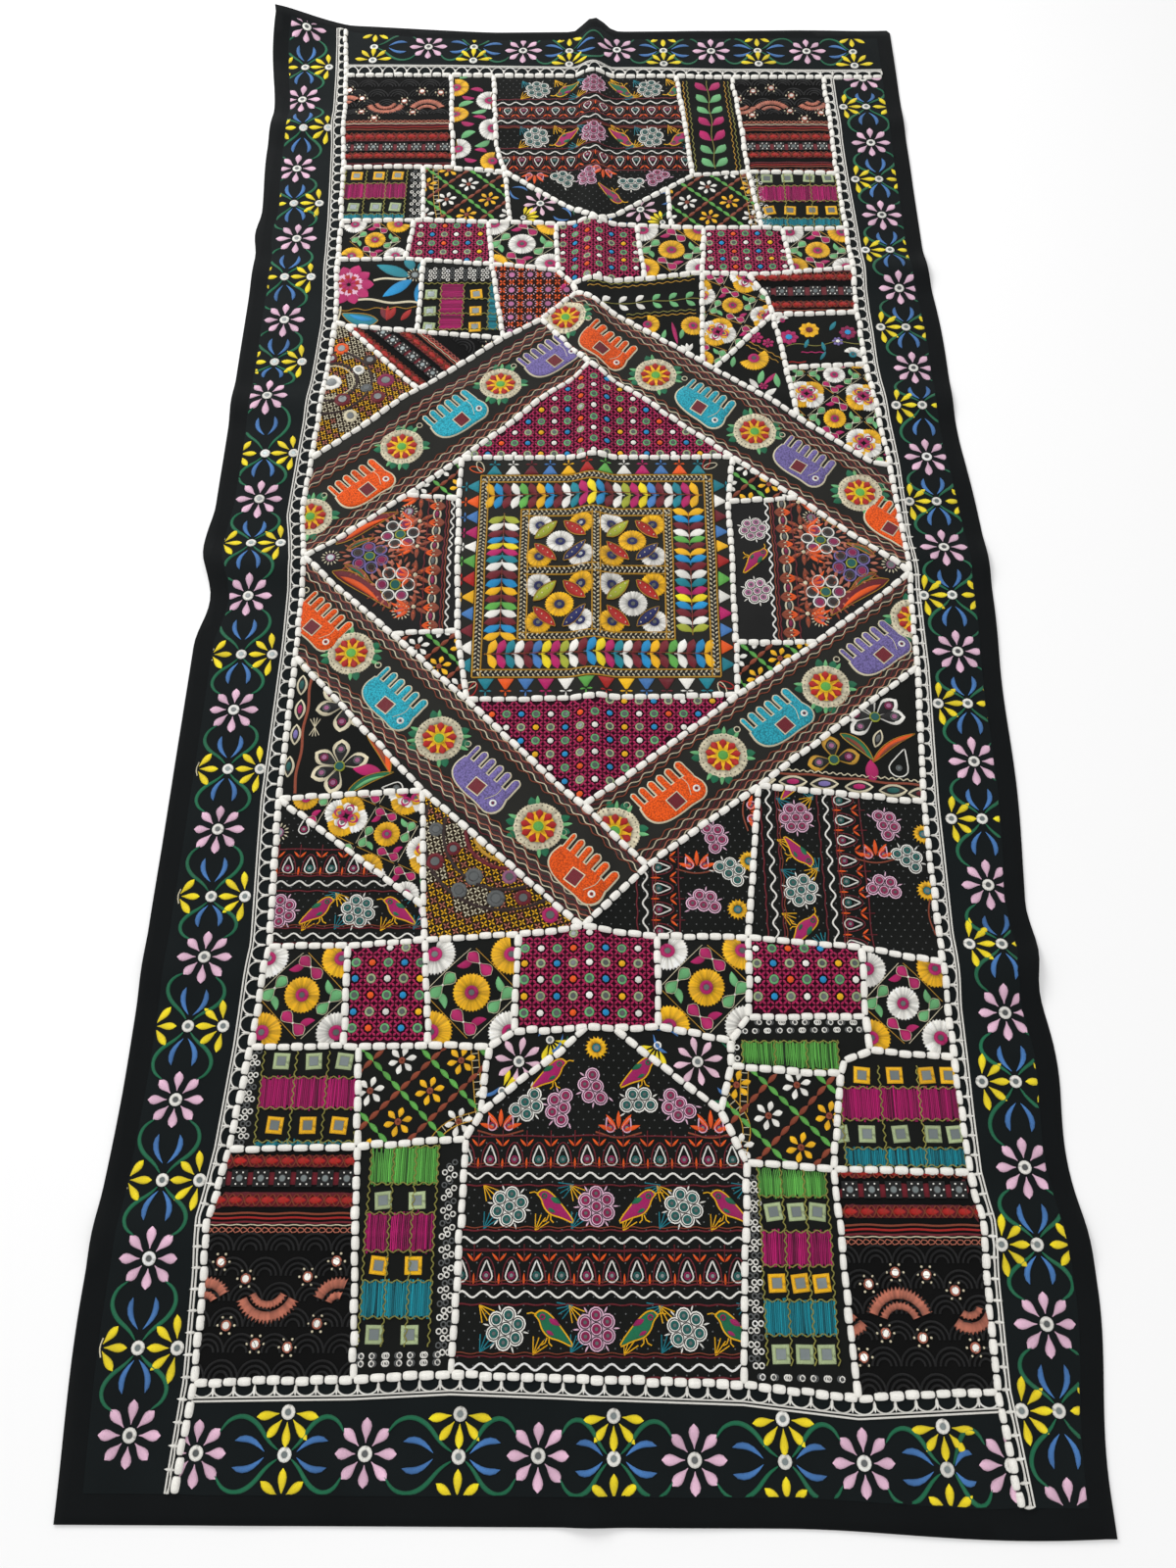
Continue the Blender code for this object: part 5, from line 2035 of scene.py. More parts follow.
@dataclass(frozen=True)
class SilkPatch(Patch):
    """Bands of floss silk between rows of square mirrors, with couched lines and a column of ringlets.

    Rows run from the top of the frame down, each as its kind, its top and its bottom. Frame is where
    the drawing's top left corner is and how it is turned. Ringlets are runs, each by its two ends.
    """

    frame: tuple = (0.0, 0.0, 0.0)
    width: float = 120.0
    rows: tuple = ()
    mirrors: tuple = ()
    ringlets: tuple = ()

    def draw(self, pen: Pen) -> None:
        """Stitches the rows, the couching between them and the ringlets.

        Args:
            pen: where to stitch.
        """
        pen = pen.moved(*self.frame)
        top, bottom = self.rows[0][1], self.rows[-1][2]
        for kind, high, low in self.rows:
            if kind in (Thread.PALE, Thread.SUN):
                for x in self.mirrors:
                    self.square_mirror(pen.moved(x, (high + low) / 2, RNG.normal(0, 4)), kind)
                continue
            self.band(pen, low, high, kind)
            for y in (low, high):
                pen.line(wavy((0, y), (self.width, y), 1.5, 11), Thread.OLIVE, 1.5, 0.9, lift=0.9)
        for share in (0.0, 0.34, 0.67, 1.0):
            x = self.width * share
            pen.line(wavy((x, top + 2), (x, bottom - 2), 1.4, 9), Thread.OLIVE, 1.5, 0.9, lift=1.1)
        for x0, y0, x1, y1 in self.ringlets:
            count = max(2, round(math.dist((x0, y0), (x1, y1)) / 6.5))
            for k, share in enumerate(np.linspace(0, 1, count + 1)):
                x, y = x0 + (x1 - x0) * share + 2.2 * (-1) ** k, y0 + (y1 - y0) * share
                pen.sew(ring(1.7, 3.5, 9, 0.8), Thread.WHITE if k % 3 else Thread.GREY, x, y)

    def band(self, pen: Pen, low: float, high: float, thread: Thread) -> None:
        """One band of floss: upright strands side by side, each its own length and shade.

        Args:
            pen: where the drawing starts.
            low: the band's bottom.
            high: its top.
            thread: its colour.
        """
        for x in np.arange(0.8, self.width, 1.9):
            foot, head = low + RNG.normal(0, 1.2), high + RNG.normal(0, 1.2)
            path = [(x + RNG.normal(0, 0.3), foot), (x, (foot + head) / 2), (x + RNG.normal(0, 0.3), head)]
            pen.sew(ribbon(np.array(path), 2.3, 1.0 + RNG.uniform(0, 0.7)), thread, vary=0.3)

    @staticmethod
    def square_mirror(pen: Pen, rim: Thread) -> None:
        """A square mirror with a padded frame of stitches."""
        pen.sew(ring(4.6, 9.3, 16, 1.7, square=True), rim)
        pen.sew(disc(4.9, 16, 0.7, square=True), Thread.GLASS, slot=Slot.GLASS)


@dataclass(frozen=True)
class TrellisPatch(Patch):
    """A lattice of green and rust caterpillar stitches, a flower in each diamond and ladder edgings."""

    origin: tuple = (0.0, 0.0)
    pitch: float = 66.0
    edging: tuple = ()
    segment: float = 15.0

    def draw(self, pen: Pen) -> None:
        """Stitches both sets of slanting lines, the flowers and the edgings.

        Args:
            pen: where to stitch.
        """
        base = pen.moved(*self.origin)
        step = self.segment * math.cos(math.radians(45))
        fat = petal(self.segment * 1.02, 6.6, bend=0.6, height=1.3, rows=6)
        for k, slope, n in ((k, slope, n) for k in range(-3, 4) for slope in (-1, 1) for n in range(-12, 12)):
            thread = Thread.GREEN if slope < 0 else Thread.RUST
            base.sew(fat, thread, n * step, slope * n * step + k * self.pitch, 45 * slope)
        half = self.pitch / 2
        for i, j in ((i, j) for i in range(-5, 6) for j in range(-5, 6) if (i + j) % 2):
            apart, _, inside = seam_distance(base.to_plan(np.array([[i * half, j * half]])), self.edge)
            if inside[0] or apart[0] < 12:
                thread = Thread.SUN if (i - j) % 4 == 1 else Thread.WHITE
                base.fan(i * half, j * half, thread, np.arange(6) * 60 + 15, 4.5, 16, 7.5, belly=1.3)
                base.sew(ring(0.4, 4.2, 10, 1.0), Thread.RUST, i * half, j * half)
        for path in self.edging:
            line = smooth(np.array(path, float), 4.0)
            across = unit(np.gradient(line, axis=0))[:, ::-1] * np.array([-1, 1])
            for shift in (0, 8):
                pen.line(line + across * shift, Thread.GOLD, 1.6)
            for point, side in zip(line[::2], across[::2], strict=True):
                pen.line([point, point + side * 4, point + side * 7.5], Thread.CREAM, 1.2)


@dataclass(frozen=True)
class BirdPatch(MotifPatch):
    """Rows of birds and mirror flowers, of drops, and of waves on dotted black, with loose motifs.

    Bands are listed as their kind and their place along the frame's y axis. First is where the first
    mirror flower is, from the start of the reach. Birds below green_below are green, the others magenta.
    """

    bands: tuple = ()
    reach: tuple = (-150.0, 180.0)
    first: float = 74.0
    green_below: float = -850.0

    def draw(self, pen: Pen) -> None:
        """Stitches the dots, then every band, then the loose motifs.

        Args:
            pen: where to stitch.
        """
        low, high = self.edge.min(axis=0), self.edge.max(axis=0)
        x, y = np.meshgrid(np.arange(low[0], high[0], 11.0), np.arange(low[1], high[1], 8.0))
        dots = np.column_stack([(x + 5.5 * (np.arange(len(x)) % 2)[:, None]).ravel(), y.ravel()])
        apart, _, inside = seam_distance(dots, self.edge)
        for px, py in dots[inside & (apart > 5)]:
            pen.sew(disc(0.9, 5, 0.3), Thread.GREY, px, py)
        framed = pen.moved(*self.frame)
        for kind, at in self.bands:
            getattr(self, kind)(framed, at)
        super().draw(pen)

    def waves(self, pen: Pen, y: float) -> None:
        """A white wave between two maroon lines, with a rust line beyond one of them.

        Args:
            pen: where to stitch.
            y: where it goes.
        """
        for shift, height, width, thread in ((0, 3.0, 2.6, Thread.WHITE), (-9.5, 0.6, 2.0, Thread.MAROON),
                                             (9.5, 0.6, 2.0, Thread.MAROON), (12.5, 0.8, 1.4, Thread.RUST)):
            path = wavy((self.reach[0], y + shift), (self.reach[1], y + shift), height, 22)
            pen.line(path, thread, width, 1.1)

    def birds(self, pen: Pen, y: float) -> None:
        """Mirror flowers with birds between, that face each other in pairs, and sprigs.

        Args:
            pen: where to stitch.
            y: where it goes.
        """
        for k, x in enumerate(np.arange(self.reach[0] + self.first, self.reach[1], 92)):
            ring_flower(pen.moved(x, y, 12 * k), Thread.WINE if k % 2 else Thread.PINE)
            first = k % 2 == 0
            wings = (Thread.VINE, Thread.SILK) if y < self.green_below else (Thread.SILK, Thread.VINE)
            bird(pen.moved(x + 46, y, 180 if first else 0, first), *wings)
            for dx, dy, turn, thread in ((28, -24, 60, Thread.SUN), (68, 22, 200, Thread.TEAL),
                                         (-28, 22, -50, Thread.SUN), (-26, -22, 60, Thread.TEAL)):
                sprig(pen.moved(x + dx, y + dy, turn), thread, 17)

    def drops(self, pen: Pen, y: float) -> None:
        """Mirror drops under maroon arches with small orange leaves and maroon spikes between.

        Args:
            pen: where to stitch.
            y: where it goes.
        """
        left, right = self.reach
        pen.line(wavy((left, y + 20), (right, y + 20), 0.5, 70, 5), Thread.MAROON, 2.0)
        for k, x in enumerate(np.arange(left, right, 26.0)):
            drop(pen.moved(x, y - 4), Thread.WINE if (k // 2) % 2 else Thread.PINE)
            arch = [(x - 10, y - 12), (x - 8, y + 6), (x, y + 16), (x + 8, y + 6), (x + 10, y - 12)]
            pen.curve(arch, Thread.MAROON, 1.8)
            pen.line([(x + 13, y + 10), (x + 13, y + 16), (x + 13, y + 26)], Thread.MAROON, 1.5)
            pen.fan(x + 13, y + 9, Thread.ORANGE, (48, 132), 0.5, 11, 3.2, belly=0.8, rows=5)
            pen.fan(x + 13, y - 14, Thread.ORANGE, (90,), 0.5, 12, 3.0, belly=0.8, rows=5)


@dataclass(frozen=True)
class ElephantStrip(Patch):
    """A strip of the big diamond: elephants and rosettes by turns between two bands of waves.

    Axis is the strip's middle line, from its left end to its right. Stops are the motifs, each as its
    elephant's colour, or None for a rosette, and its place.
    """

    axis: tuple = ((0.0, 0.0), (1.0, 0.0))
    stops: tuple = ()
    waves: tuple = ((35, "RUST"), (39, "CREAM"), (43, "MAROON"), (47, "COPPER"), (51, "CREAM"),
                    (55, "MAROON"))

    def draw(self, pen: Pen) -> None:
        """Stitches the brown bands and their waves at both sides, then the motifs.

        Args:
            pen: where to stitch.
        """
        (x0, y0), (x1, y1) = self.axis
        turn = math.degrees(math.atan2(y1 - y0, x1 - x0))
        length = math.dist(*self.axis) + 80
        strip = pen.moved(x0, y0, turn)
        for side in (-1, 1):
            band = resampled(np.array([(-80, side * 45), (length, side * 45)]), 9.0)
            strip.line(band, Thread.EARTH, 25, 0.35)
            for k, (shift, name) in enumerate(self.waves):
                wave = wavy((-80 + 5 * k, side * shift), (length, side * shift), 2.1, 21, 3.0)
                strip.line(wave, Thread[name], 1.5, 0.9, lift=0.3)
        for thread, x, y in self.stops:
            spot = pen.moved(x, y, turn)
            if thread:
                self.elephant(spot, thread)
                spot.sew(ring(3.0, 4.8, 12, 1.0), Thread.CREAM, -49, 20)
            else:
                self.rosette(spot)

    @staticmethod
    def rosette(pen: Pen) -> None:
        """A speckled cream rim, nine red petals on yellow round a green heart, and leaves outside.

        Args:
            pen: where to stitch.
        """
        for angles, thread, width in (((32, 62, 148, 212, 242, 328), Thread.VINE, 12),
                                      ((20, 48, 136, 200, 228, 316), Thread.LEAF, 6)):
            pen.fan(0, 0, thread, angles, 26, 40, width, belly=0.9)
        pen.sew(fringe(20, 31.5, jag=0.02), Thread.CREAM)
        for x, y in oval(0, 0, 27, 27, 26):
            pen.sew(disc(0.9, 5, 1.7), Thread.EARTH, x, y)
        pen.sew(ring(4, 23, 24, 1.0), Thread.SUN)
        for k in range(9):
            pen.moved(0, 0, 40 * k + 10).sew(petal(13, 9.6, belly=1.5, height=1.2), Thread.RED, 9.0, 0,
                                             lift=1.0)
        pen.sew(disc(6.2, 12, 2.4, dome=1.2), Thread.GREEN)
        pen.sew(ring(6.0, 8.2, 16, 2.0), Thread.YELLOW)

    @staticmethod
    def elephant(pen: Pen, thread: Thread) -> None:
        """An elephant on its back: four legs up, the trunk raised at the right, a saddle square below.

        It is stitched twice: a little larger in cream, then in its colour, which leaves a pale outline.

        Args:
            pen: the middle of its body, with the strip along +x.
            thread: its colour.
        """
        body = [(-40, 6), (-42, -8), (-37, -20), (-24, -27), (-4, -29), (12, -28), (22, -29), (33, -30),
                (42, -23), (44, -12), (40, -2), (38, 7), (20, 8), (0, 7), (-20, 8), (-34, 8), (-40, 6)]
        back = smooth(np.array(body, float), 5.0)[:-1]
        ends = ((-36, 6), (-23, 9.6), (-9.5, 9.6), (4, 9.6), (17.5, 9.6), (33, 11))
        for grow, colour, slot, height in ((1.5, Thread.CREAM, Slot.THREAD, 1.2),
                                           (0, thread, Slot.CURLED, 2.2)):
            pen.sew(blob(inset(back, -grow), height, 0.95), colour, slot=slot)
            for x, width in ends:
                path = np.array([(x + 2, -4.0), (x + 1.4, 6), (x + 0.6, 16), (x, 27 + grow)])
                pen.sew(capsule(path, width + 2 * grow, height), colour, slot=slot)
        pen.curve([(25, 8), (27, -3), (23, -12), (20, -18)], Thread.CREAM, 1.5, lift=2.0)
        pen.sew(disc(9.6, 16, 2.5, square=True), Thread.CREAM, 1, -13, 4)
        pen.sew(disc(8.2, 16, 3.0, square=True), Thread.MAROON, 1, -13, 4)
        pen.sew(ring(2.2, 5.0, 12, 1.2), Thread.WHITE, 31, -15, lift=2.2)
        pen.bead(31, -15, 2.2, Thread.MAROON, 3.2)


@dataclass(frozen=True)
class CentrePatch(Patch):
    """The middle square: kites round a beaded frame, rows of commas, and four squares of flowers."""

    outer: tuple = (-138.0, 169.0, -146.0, 160.0)
    inner: tuple = (-81.0, 112.0, -91.0, 103.0)
    frame_width: float = 12.5
    commas: str = ("SUN SKY MAROON WHITE GREEN MAROON SUN SKY MAROON WHITE TEAL MAGENTA YELLOW SKY MAROON "
                   "WHITE LIME MAGENTA YELLOW BLUE MAROON WHITE TEAL MAGENTA SUN")
    tips: str = "TEAL WHITE MAROON BLUE SUN RED GREEN WHITE MAGENTA BLUE ORANGE"

    def draw(self, pen: Pen) -> None:
        """Stitches the frames and kites, the cross between the squares, the commas, the squares and corners.

        Args:
            pen: where to stitch.
        """
        x0, x1, y0, y1 = self.outer
        u0, u1, v0, v1 = self.inner
        mid_x, mid_y, gap = (u0 + u1) / 2, (v0 + v1) / 2, (u0 - x0) / 2
        left_stem, right_stem, low_stem, high_stem = x0 + gap, x1 - gap, y0 + gap, y1 - gap
        for left, right, low, high in (self.outer, self.inner):
            corners = [(left, high), (right, high), (right, low), (left, low), (left, high)]
            for a, b in zip(corners, corners[1:], strict=False):
                self.beaded(*self.run(pen, a, b))
                if left == x0:
                    self.kites(*self.run(pen, a, b))
        self.beaded(*self.run(pen, (mid_x, v1 - 6), (mid_x, v0 + 6)))
        self.beaded(*self.run(pen, (u0 + 6, mid_y), (u1 - 6, mid_y)))
        for a, b in (((x0 + 8, high_stem), (x1 - 8, high_stem)), ((right_stem, v1), (right_stem, v0)),
                     ((x1 - 8, low_stem), (x0 + 8, low_stem)), ((left_stem, v0), (left_stem, v1))):
            self.comma_rows(*self.run(pen, a, b))
        for i, j, thread in ((-1, 1, Thread.WHITE), (1, 1, Thread.SUN), (-1, -1, Thread.SUN),
                             (1, -1, Thread.WHITE)):
            self.cell(pen.moved(mid_x + i * (u1 - u0) / 4, mid_y + j * (v1 - v0) / 4), thread)
        for x, y, turn, thread in ((-142, 173, 135, Thread.ORANGE), (165, 178, 45, Thread.RED),
                                   (-138, -160, 225, Thread.RED), (172, -160, -45, Thread.RED)):
            for side, rim in ((-24, Thread.CREAM), (24, thread)):
                pen.moved(x, y, turn + side).line(oval(9, 0, 10, 4.5), rim, 2.0, closed=True)

    @staticmethod
    def run(pen: Pen, start: tuple, end: tuple) -> tuple:
        """A pen that looks from start to end, and how far apart they are."""
        turn = math.degrees(math.atan2(end[1] - start[1], end[0] - start[0]))
        return pen.moved(*start, turn), math.dist(start, end)

    def beaded(self, pen: Pen, length: float) -> None:
        """Two gold lines on black with slanting cream stitches in two rows between them.

        Args:
            pen: where to stitch.
            length: how long it is.
        """
        half = self.frame_width / 2 - 0.8
        middle = resampled(np.array([(-half, 0.0), (length + half, 0.0)]), 9.0)
        pen.line(middle, Thread.BLACK, self.frame_width + 2, 0.4)
        for side in (-half, half):
            pen.line(middle + (0, side), Thread.GOLD, 2.2, 1.5, lift=0.3)
        slanted = petal(5.2, 2.5, height=1.7, rows=4)
        for x in np.arange(0, length, 6.4):
            pen.sew(slanted, Thread.CREAM, x - 1.5, -4.4, 50, lift=0.3)
            pen.sew(slanted, Thread.CREAM, x + 1.7, 4.4, -50, lift=0.3)

    def kites(self, pen: Pen, length: float) -> None:
        """Triangles on the frame's outer side, each with a small cross at its tip.

        Args:
            pen: where to stitch.
            length: how long it is.
        """
        count = round(length / 25.2)
        kite = blob(np.array([(-11, 7.5), (0, 7.0), (11, 7.5), (6.5, 15), (1.5, 23), (-1.5, 23),
                              (-6.5, 15)]), 1.3, 0.85)
        for k, name in zip(range(count), itertools.cycle(self.tips.split()), strict=False):
            x = (k + 0.5) * length / count
            pen.sew(kite, Thread[name], x, 0)
            pen.fan(x, 25, Thread[name], (0, 90, 180), 0.5, 8, 3.2, rows=4)

    def comma_rows(self, pen: Pen, length: float) -> None:
        """Round-headed commas at both sides of a thin stem, their tails on it, their colours by turns.

        Args:
            pen: where to stitch.
            length: how long it is.
        """
        pen.line([(0, 0), (length / 2, 0), (length, 0)], Thread.RUST, 1.2)
        count = round(length / 11.6)
        for k, name in zip(range(count), itertools.cycle(self.commas.split()), strict=False):
            for side in (-1, 1):
                form = petal(13.5, 13.2, belly=2.8, bend=side * 2.5, hook=-side * 20.5, height=1.5, rows=10)
                pen.sew(form, Thread[name], (k + 0.86) * length / count, side * 0.8, 180)

    @staticmethod
    def cell(pen: Pen, thread: Thread) -> None:
        """One small square: a fringed flower in a slanting frame of leaves, four more in the corners.

        Args:
            pen: where to stitch.
            thread: its colour.
        """
        for angle, colour in ((45, Thread.SUN), (135, Thread.WHITE), (225, Thread.SUN), (315, Thread.WHITE)):
            bloom(pen.moved(0, 0, angle).moved(39, 0), colour, 17.5, Thread.NAVY)
        for x, y, turn, colour in ((-37, 2, 45, Thread.LIME), (2, 37, -45, Thread.RED),
                                   (-37, -2, -45, Thread.RED), (2, -37, 45, Thread.NAVY)):
            side = pen.moved(x, y, turn)
            rimmed(side.moved(4, 0), petal(41, 15, belly=0.9, height=1.3), colour, Thread.GOLD, lift=1.2)
            for k in range(4):
                side.bead(11 + 9 * k, 0, 1.2, Thread.CREAM, 3.5)
        bloom(pen, thread, 19, Thread.NAVY)


@dataclass(frozen=True)
class LacePatch(Patch):
    """The five-sided patch beside the middle square: ringed discs in rust lace and a column of eyes.

    Frame is the drawing's place and turn and whether it is mirrored, and flowers are the places of
    ring flowers between the column and the square.
    """

    frame: tuple = (0.0, 0.0, 0.0, False)
    flowers: tuple = ()

    def draw(self, pen: Pen) -> None:
        """Stitches everything from the column by the square outwards.

        Args:
            pen: where to stitch.
        """
        pen = pen.moved(*self.frame)
        for x, thread, width, height in ((-180, Thread.WHITE, 2.6, 2.2), (-185, Thread.RUST, 1.8, 0.7),
                                         (-188.5, Thread.MAROON, 2.4, 0.7), (-213, Thread.MAROON, 2.2, 0.7)):
            pen.line(wavy((x, -130), (x, 150), height, 16), thread, width, 1.0)
        for k, y in enumerate(np.arange(-112, 140, 27.0)):
            column = pen.moved(-201, y)
            column.fan(11, 13.5, Thread.RUST, (146, 180, 214), 0, 19, 6.0, belly=0.9)
            column.fan(-11, 13.5, Thread.ORANGE, (-30, 0, 30), 0, 14, 3.8, belly=0.8)
            eye(column.moved(0, 0, 90), Thread.WINE if k % 2 else Thread.GREY, 24)
        for y in (-70, -24, 22, 66, 108):
            star(pen.moved(-224, y, 30), Thread.RUST, 21)
            for turn in (140, 166, 194, 220):
                pen.moved(-229, y, turn).sew(petal(27, 6.4, belly=0.8, bend=3),
                                             Thread.ORANGE if turn % 3 else Thread.RUST)
        for x, y, count, turn, rim in ((-249, 44, 6, 10, Thread.WHITE), (-286, 4, 6, 40, Thread.LAVENDER),
                                       (-250, -37, 6, 0, Thread.WHITE)):
            pen.fan(x, y, Thread.COPPER, np.arange(18) * 20 + turn, 25, 36, 5.0, belly=0.9, rows=5)
            pen.fan(x, y, Thread.RUST, np.arange(18) * 20 + turn + 10, 32, 43, 3.6, belly=0.9, rows=5)
            cluster(pen.moved(x, y, turn), count, rim)
        for y, turn in ((27, 34), (-19, -34)):
            leaf(pen.moved(-334, y, turn), Thread.MAROON, Thread.ORANGE, 96, 20)
            leaf(pen.moved(-318, y * 0.55, turn), Thread.RUST, Thread.VINE, 42, 9)
        for x, y in ((-338, 2), (-240, 82), (-240, -78)):
            spark(pen.moved(x, y))
        for x, y in self.flowers:
            ring_flower(pen.moved(x, y, 30), Thread.MAUVE, 6, 12)
        if self.flowers:
            bird(pen.moved(-159, 12, 90), Thread.SILK, Thread.VINE)


@dataclass(frozen=True)
class LatticePatch(Patch):
    """A net of small gold, copper and cream crosses with ringed mirrors, crossed by curved bands.

    Glass is the mirrors, each as its place, its ring's colour and its ring's radius. Pale is the
    places where the net is cream. An arc is its middle, its radius, its thread and its width.
    """

    origin: tuple = (0.0, 0.0)
    pitch: float = 8.6
    glass: tuple = ()
    pale: tuple = ()
    arcs: tuple = ()

    def draw(self, pen: Pen) -> None:
        """Stitches the net, then the arcs, then the mirrors.

        Args:
            pen: where to stitch.
        """
        base = pen.moved(*self.origin, 14)
        i, j = (grid.ravel() for grid in np.meshgrid(np.arange(-24, 25), np.arange(-24, 25)))
        plan = base.to_plan(np.column_stack([i, j]) * self.pitch)
        apart, _, inside = seam_distance(plan, self.edge)
        white = np.hypot(*(plan[:, None] - np.array(self.pale)[None]).transpose(2, 0, 1)).min(axis=1) < 21
        for a, b, pale in zip(*(column[inside & (apart > 2)] for column in (i, j, white)), strict=True):
            thread = Thread.CREAM if pale else Thread.SUN if (a + b) % 3 else Thread.COPPER
            base.fan(a * self.pitch, b * self.pitch, thread, (45, 135, 225, 315), 0.3, 4.9, 2.8, rows=3)
        for x, y, radius, thread, width in self.arcs:
            pen.line(oval(x, y, radius, radius, 60), thread, width, 1.7, closed=True, lift=0.4)
        for x, y, thread, radius in self.glass:
            pen.sew(ring(radius * 0.45, radius, 18, 1.7, 0.04), thread, x, y, lift=0.9)
            pen.sew(disc(radius * 0.5, 12, 1.8), Thread.GREY, x, y, slot=Slot.GLASS)


@dataclass(frozen=True)
class CopperPatch(Patch):
    """Half black on black arches with copper crescents and beaded stars, half red banding.

    Frame is where the join runs and its turn, and red_up says whether the banding lies above it. Rows
    is how far from the join the banding's ovals and its squares are. A crescent is its middle, its
    radius, where it starts and how far it sweeps.
    """

    frame: tuple = (0.0, 860.0, 0.0)
    red_up: bool = False
    rows: tuple = ((30, 52, 70, 109), 52, 23.0)
    crescents: tuple = ()
    stars: tuple = ()

    def draw(self, pen: Pen) -> None:
        """Stitches the join, the banding and the black half.

        Args:
            pen: where to stitch.
        """
        join, sign, reach = pen.moved(*self.frame), 1 if self.red_up else -1, 190.0
        for thread, height, shift in ((Thread.COPPER, 3.0, 0.0), (Thread.COPPER, -3.0, 0.0),
                                      (Thread.CREAM, 0.5, 5.0)):
            join.line(wavy((-reach, sign * shift), (reach, sign * shift), height, 15, 3.7), thread, 1.5)
        self.banding(join.moved(-reach, 0, 0, sign < 0), 2 * reach)
        radii = np.array((7, 12, 17), float)
        for j, x in itertools.product(range(9), np.arange(-reach, reach, 34.0)):
            for radius in radii:
                arch = oval(x + 17 * (j % 2), -sign * (24.0 * j + 20), radius, radius, 24)[:13]
                join.line(arch, Thread.BLACK, 2.8, 1.5)
        for x, y, radius, start, sweep in self.crescents:
            for outer, inner in ((radius, radius - 10), (radius - 13, radius - 20)):
                pen.sew(fringe(inner, outer, start, sweep, 0.06), Thread.COPPER, x, y, lift=0.8)
        for x, y in self.stars:
            pen.sew(ring(3.2, 5.6, 12, 1.8), Thread.COPPER, x, y)
            pen.sew(disc(3.6, 9, 1.2), Thread.WHITE, x, y, slot=Slot.GLASS)
            for bx, by in oval(x, y, 8.6, 8.6, 6):
                pen.bead(bx, by, 1.4, Thread.CREAM, 1.8)

    def banding(self, pen: Pen, length: float) -> None:
        """Rows of red ovals in rust loops at both sides of a row of dark squares with mirrors.

        Args:
            pen: the banding's left end at the join, with +y away from it.
            length: how long it is.
        """
        ovals, squares, step = self.rows
        for y in (squares - 40, squares + 40, squares + 74):
            for shift, thread in ((-4.5, Thread.MAROON), (0, Thread.RED), (4.5, Thread.RUST)):
                pen.line(wavy((0, y + shift), (length, y + shift), 0.6, 50, 5), thread, 2.6, 0.9)
        for y in ovals:
            pen.line(resampled(np.array([(0.0, y), (length, y)]), 9.0), Thread.MAROON, 21, 0.4)
            if y == squares:
                continue
            for x in np.arange(4, length, 17.0):
                pen.sew(petal(15, 9.5, height=2.0), Thread.RED, x, y)
            for start in (-4.0, 4.5):
                pen.line(wavy((start, y), (length, y), 6.0, 17, 2.0), Thread.RUST, 1.4, 1.2, lift=0.9)
        for x in np.arange(step / 2, length, step):
            pen.sew(disc(8.6, 16, 1.4, square=True), Thread.BLACK, x, squares)
            pen.sew(ring(2.8, 4.4, 9, 1.2), Thread.GREY, x, squares, lift=0.8)
            pen.sew(disc(3.2, 9, 1.9), Thread.GLASS, x, squares, slot=Slot.GLASS)
            for bx, by in oval(x, squares, 6.8, 6.8, 6):
                pen.bead(bx, by, 1.3, Thread.WHITE, 2.6)


@dataclass(frozen=True)
class RosettePatch(Patch):
    """Rust lace: mauve mirrors, each in a black ring with pink ticks, and small orange crosses between."""

    origin: tuple = (-84.0, 508.0)
    pitch: tuple = (27.5, 26.5)

    def draw(self, pen: Pen) -> None:
        """Stitches a mirror at each crossing of the grid, and a cross half-way to the next each way.

        Args:
            pen: where to stitch.
        """
        base, (wide, high) = pen.moved(*self.origin), self.pitch
        for i, j in itertools.product(range(-5, 6), repeat=2):
            x, y = i * wide, j * high
            apart, _, inside = seam_distance(base.to_plan(np.array([[x, y]])), self.edge)
            if not inside[0] and apart[0] > 14:
                continue
            base.fan(x, y, Thread.PINK, np.arange(14) * 360 / 14, 7.6, 11.4, 2.0, rows=3)
            base.mirror(x, y, 4.6, Thread.BLACK, 2.2, 12, Thread.MAUVE)
            for dx, dy in ((wide / 2, 0), (0, high / 2), (wide / 2, high / 2)):
                base.fan(x + dx, y + dy, Thread.ORANGE, (45, 135, 225, 315), 0.5, 5.6, 3.6, rows=4)
        pen.sew(petal(16, 9, belly=1.2), Thread.MAGENTA, -38, 506, 60)
        pen.line([(-45, 534), (-36, 508), (-29, 481)], Thread.MAROON, 2.4)


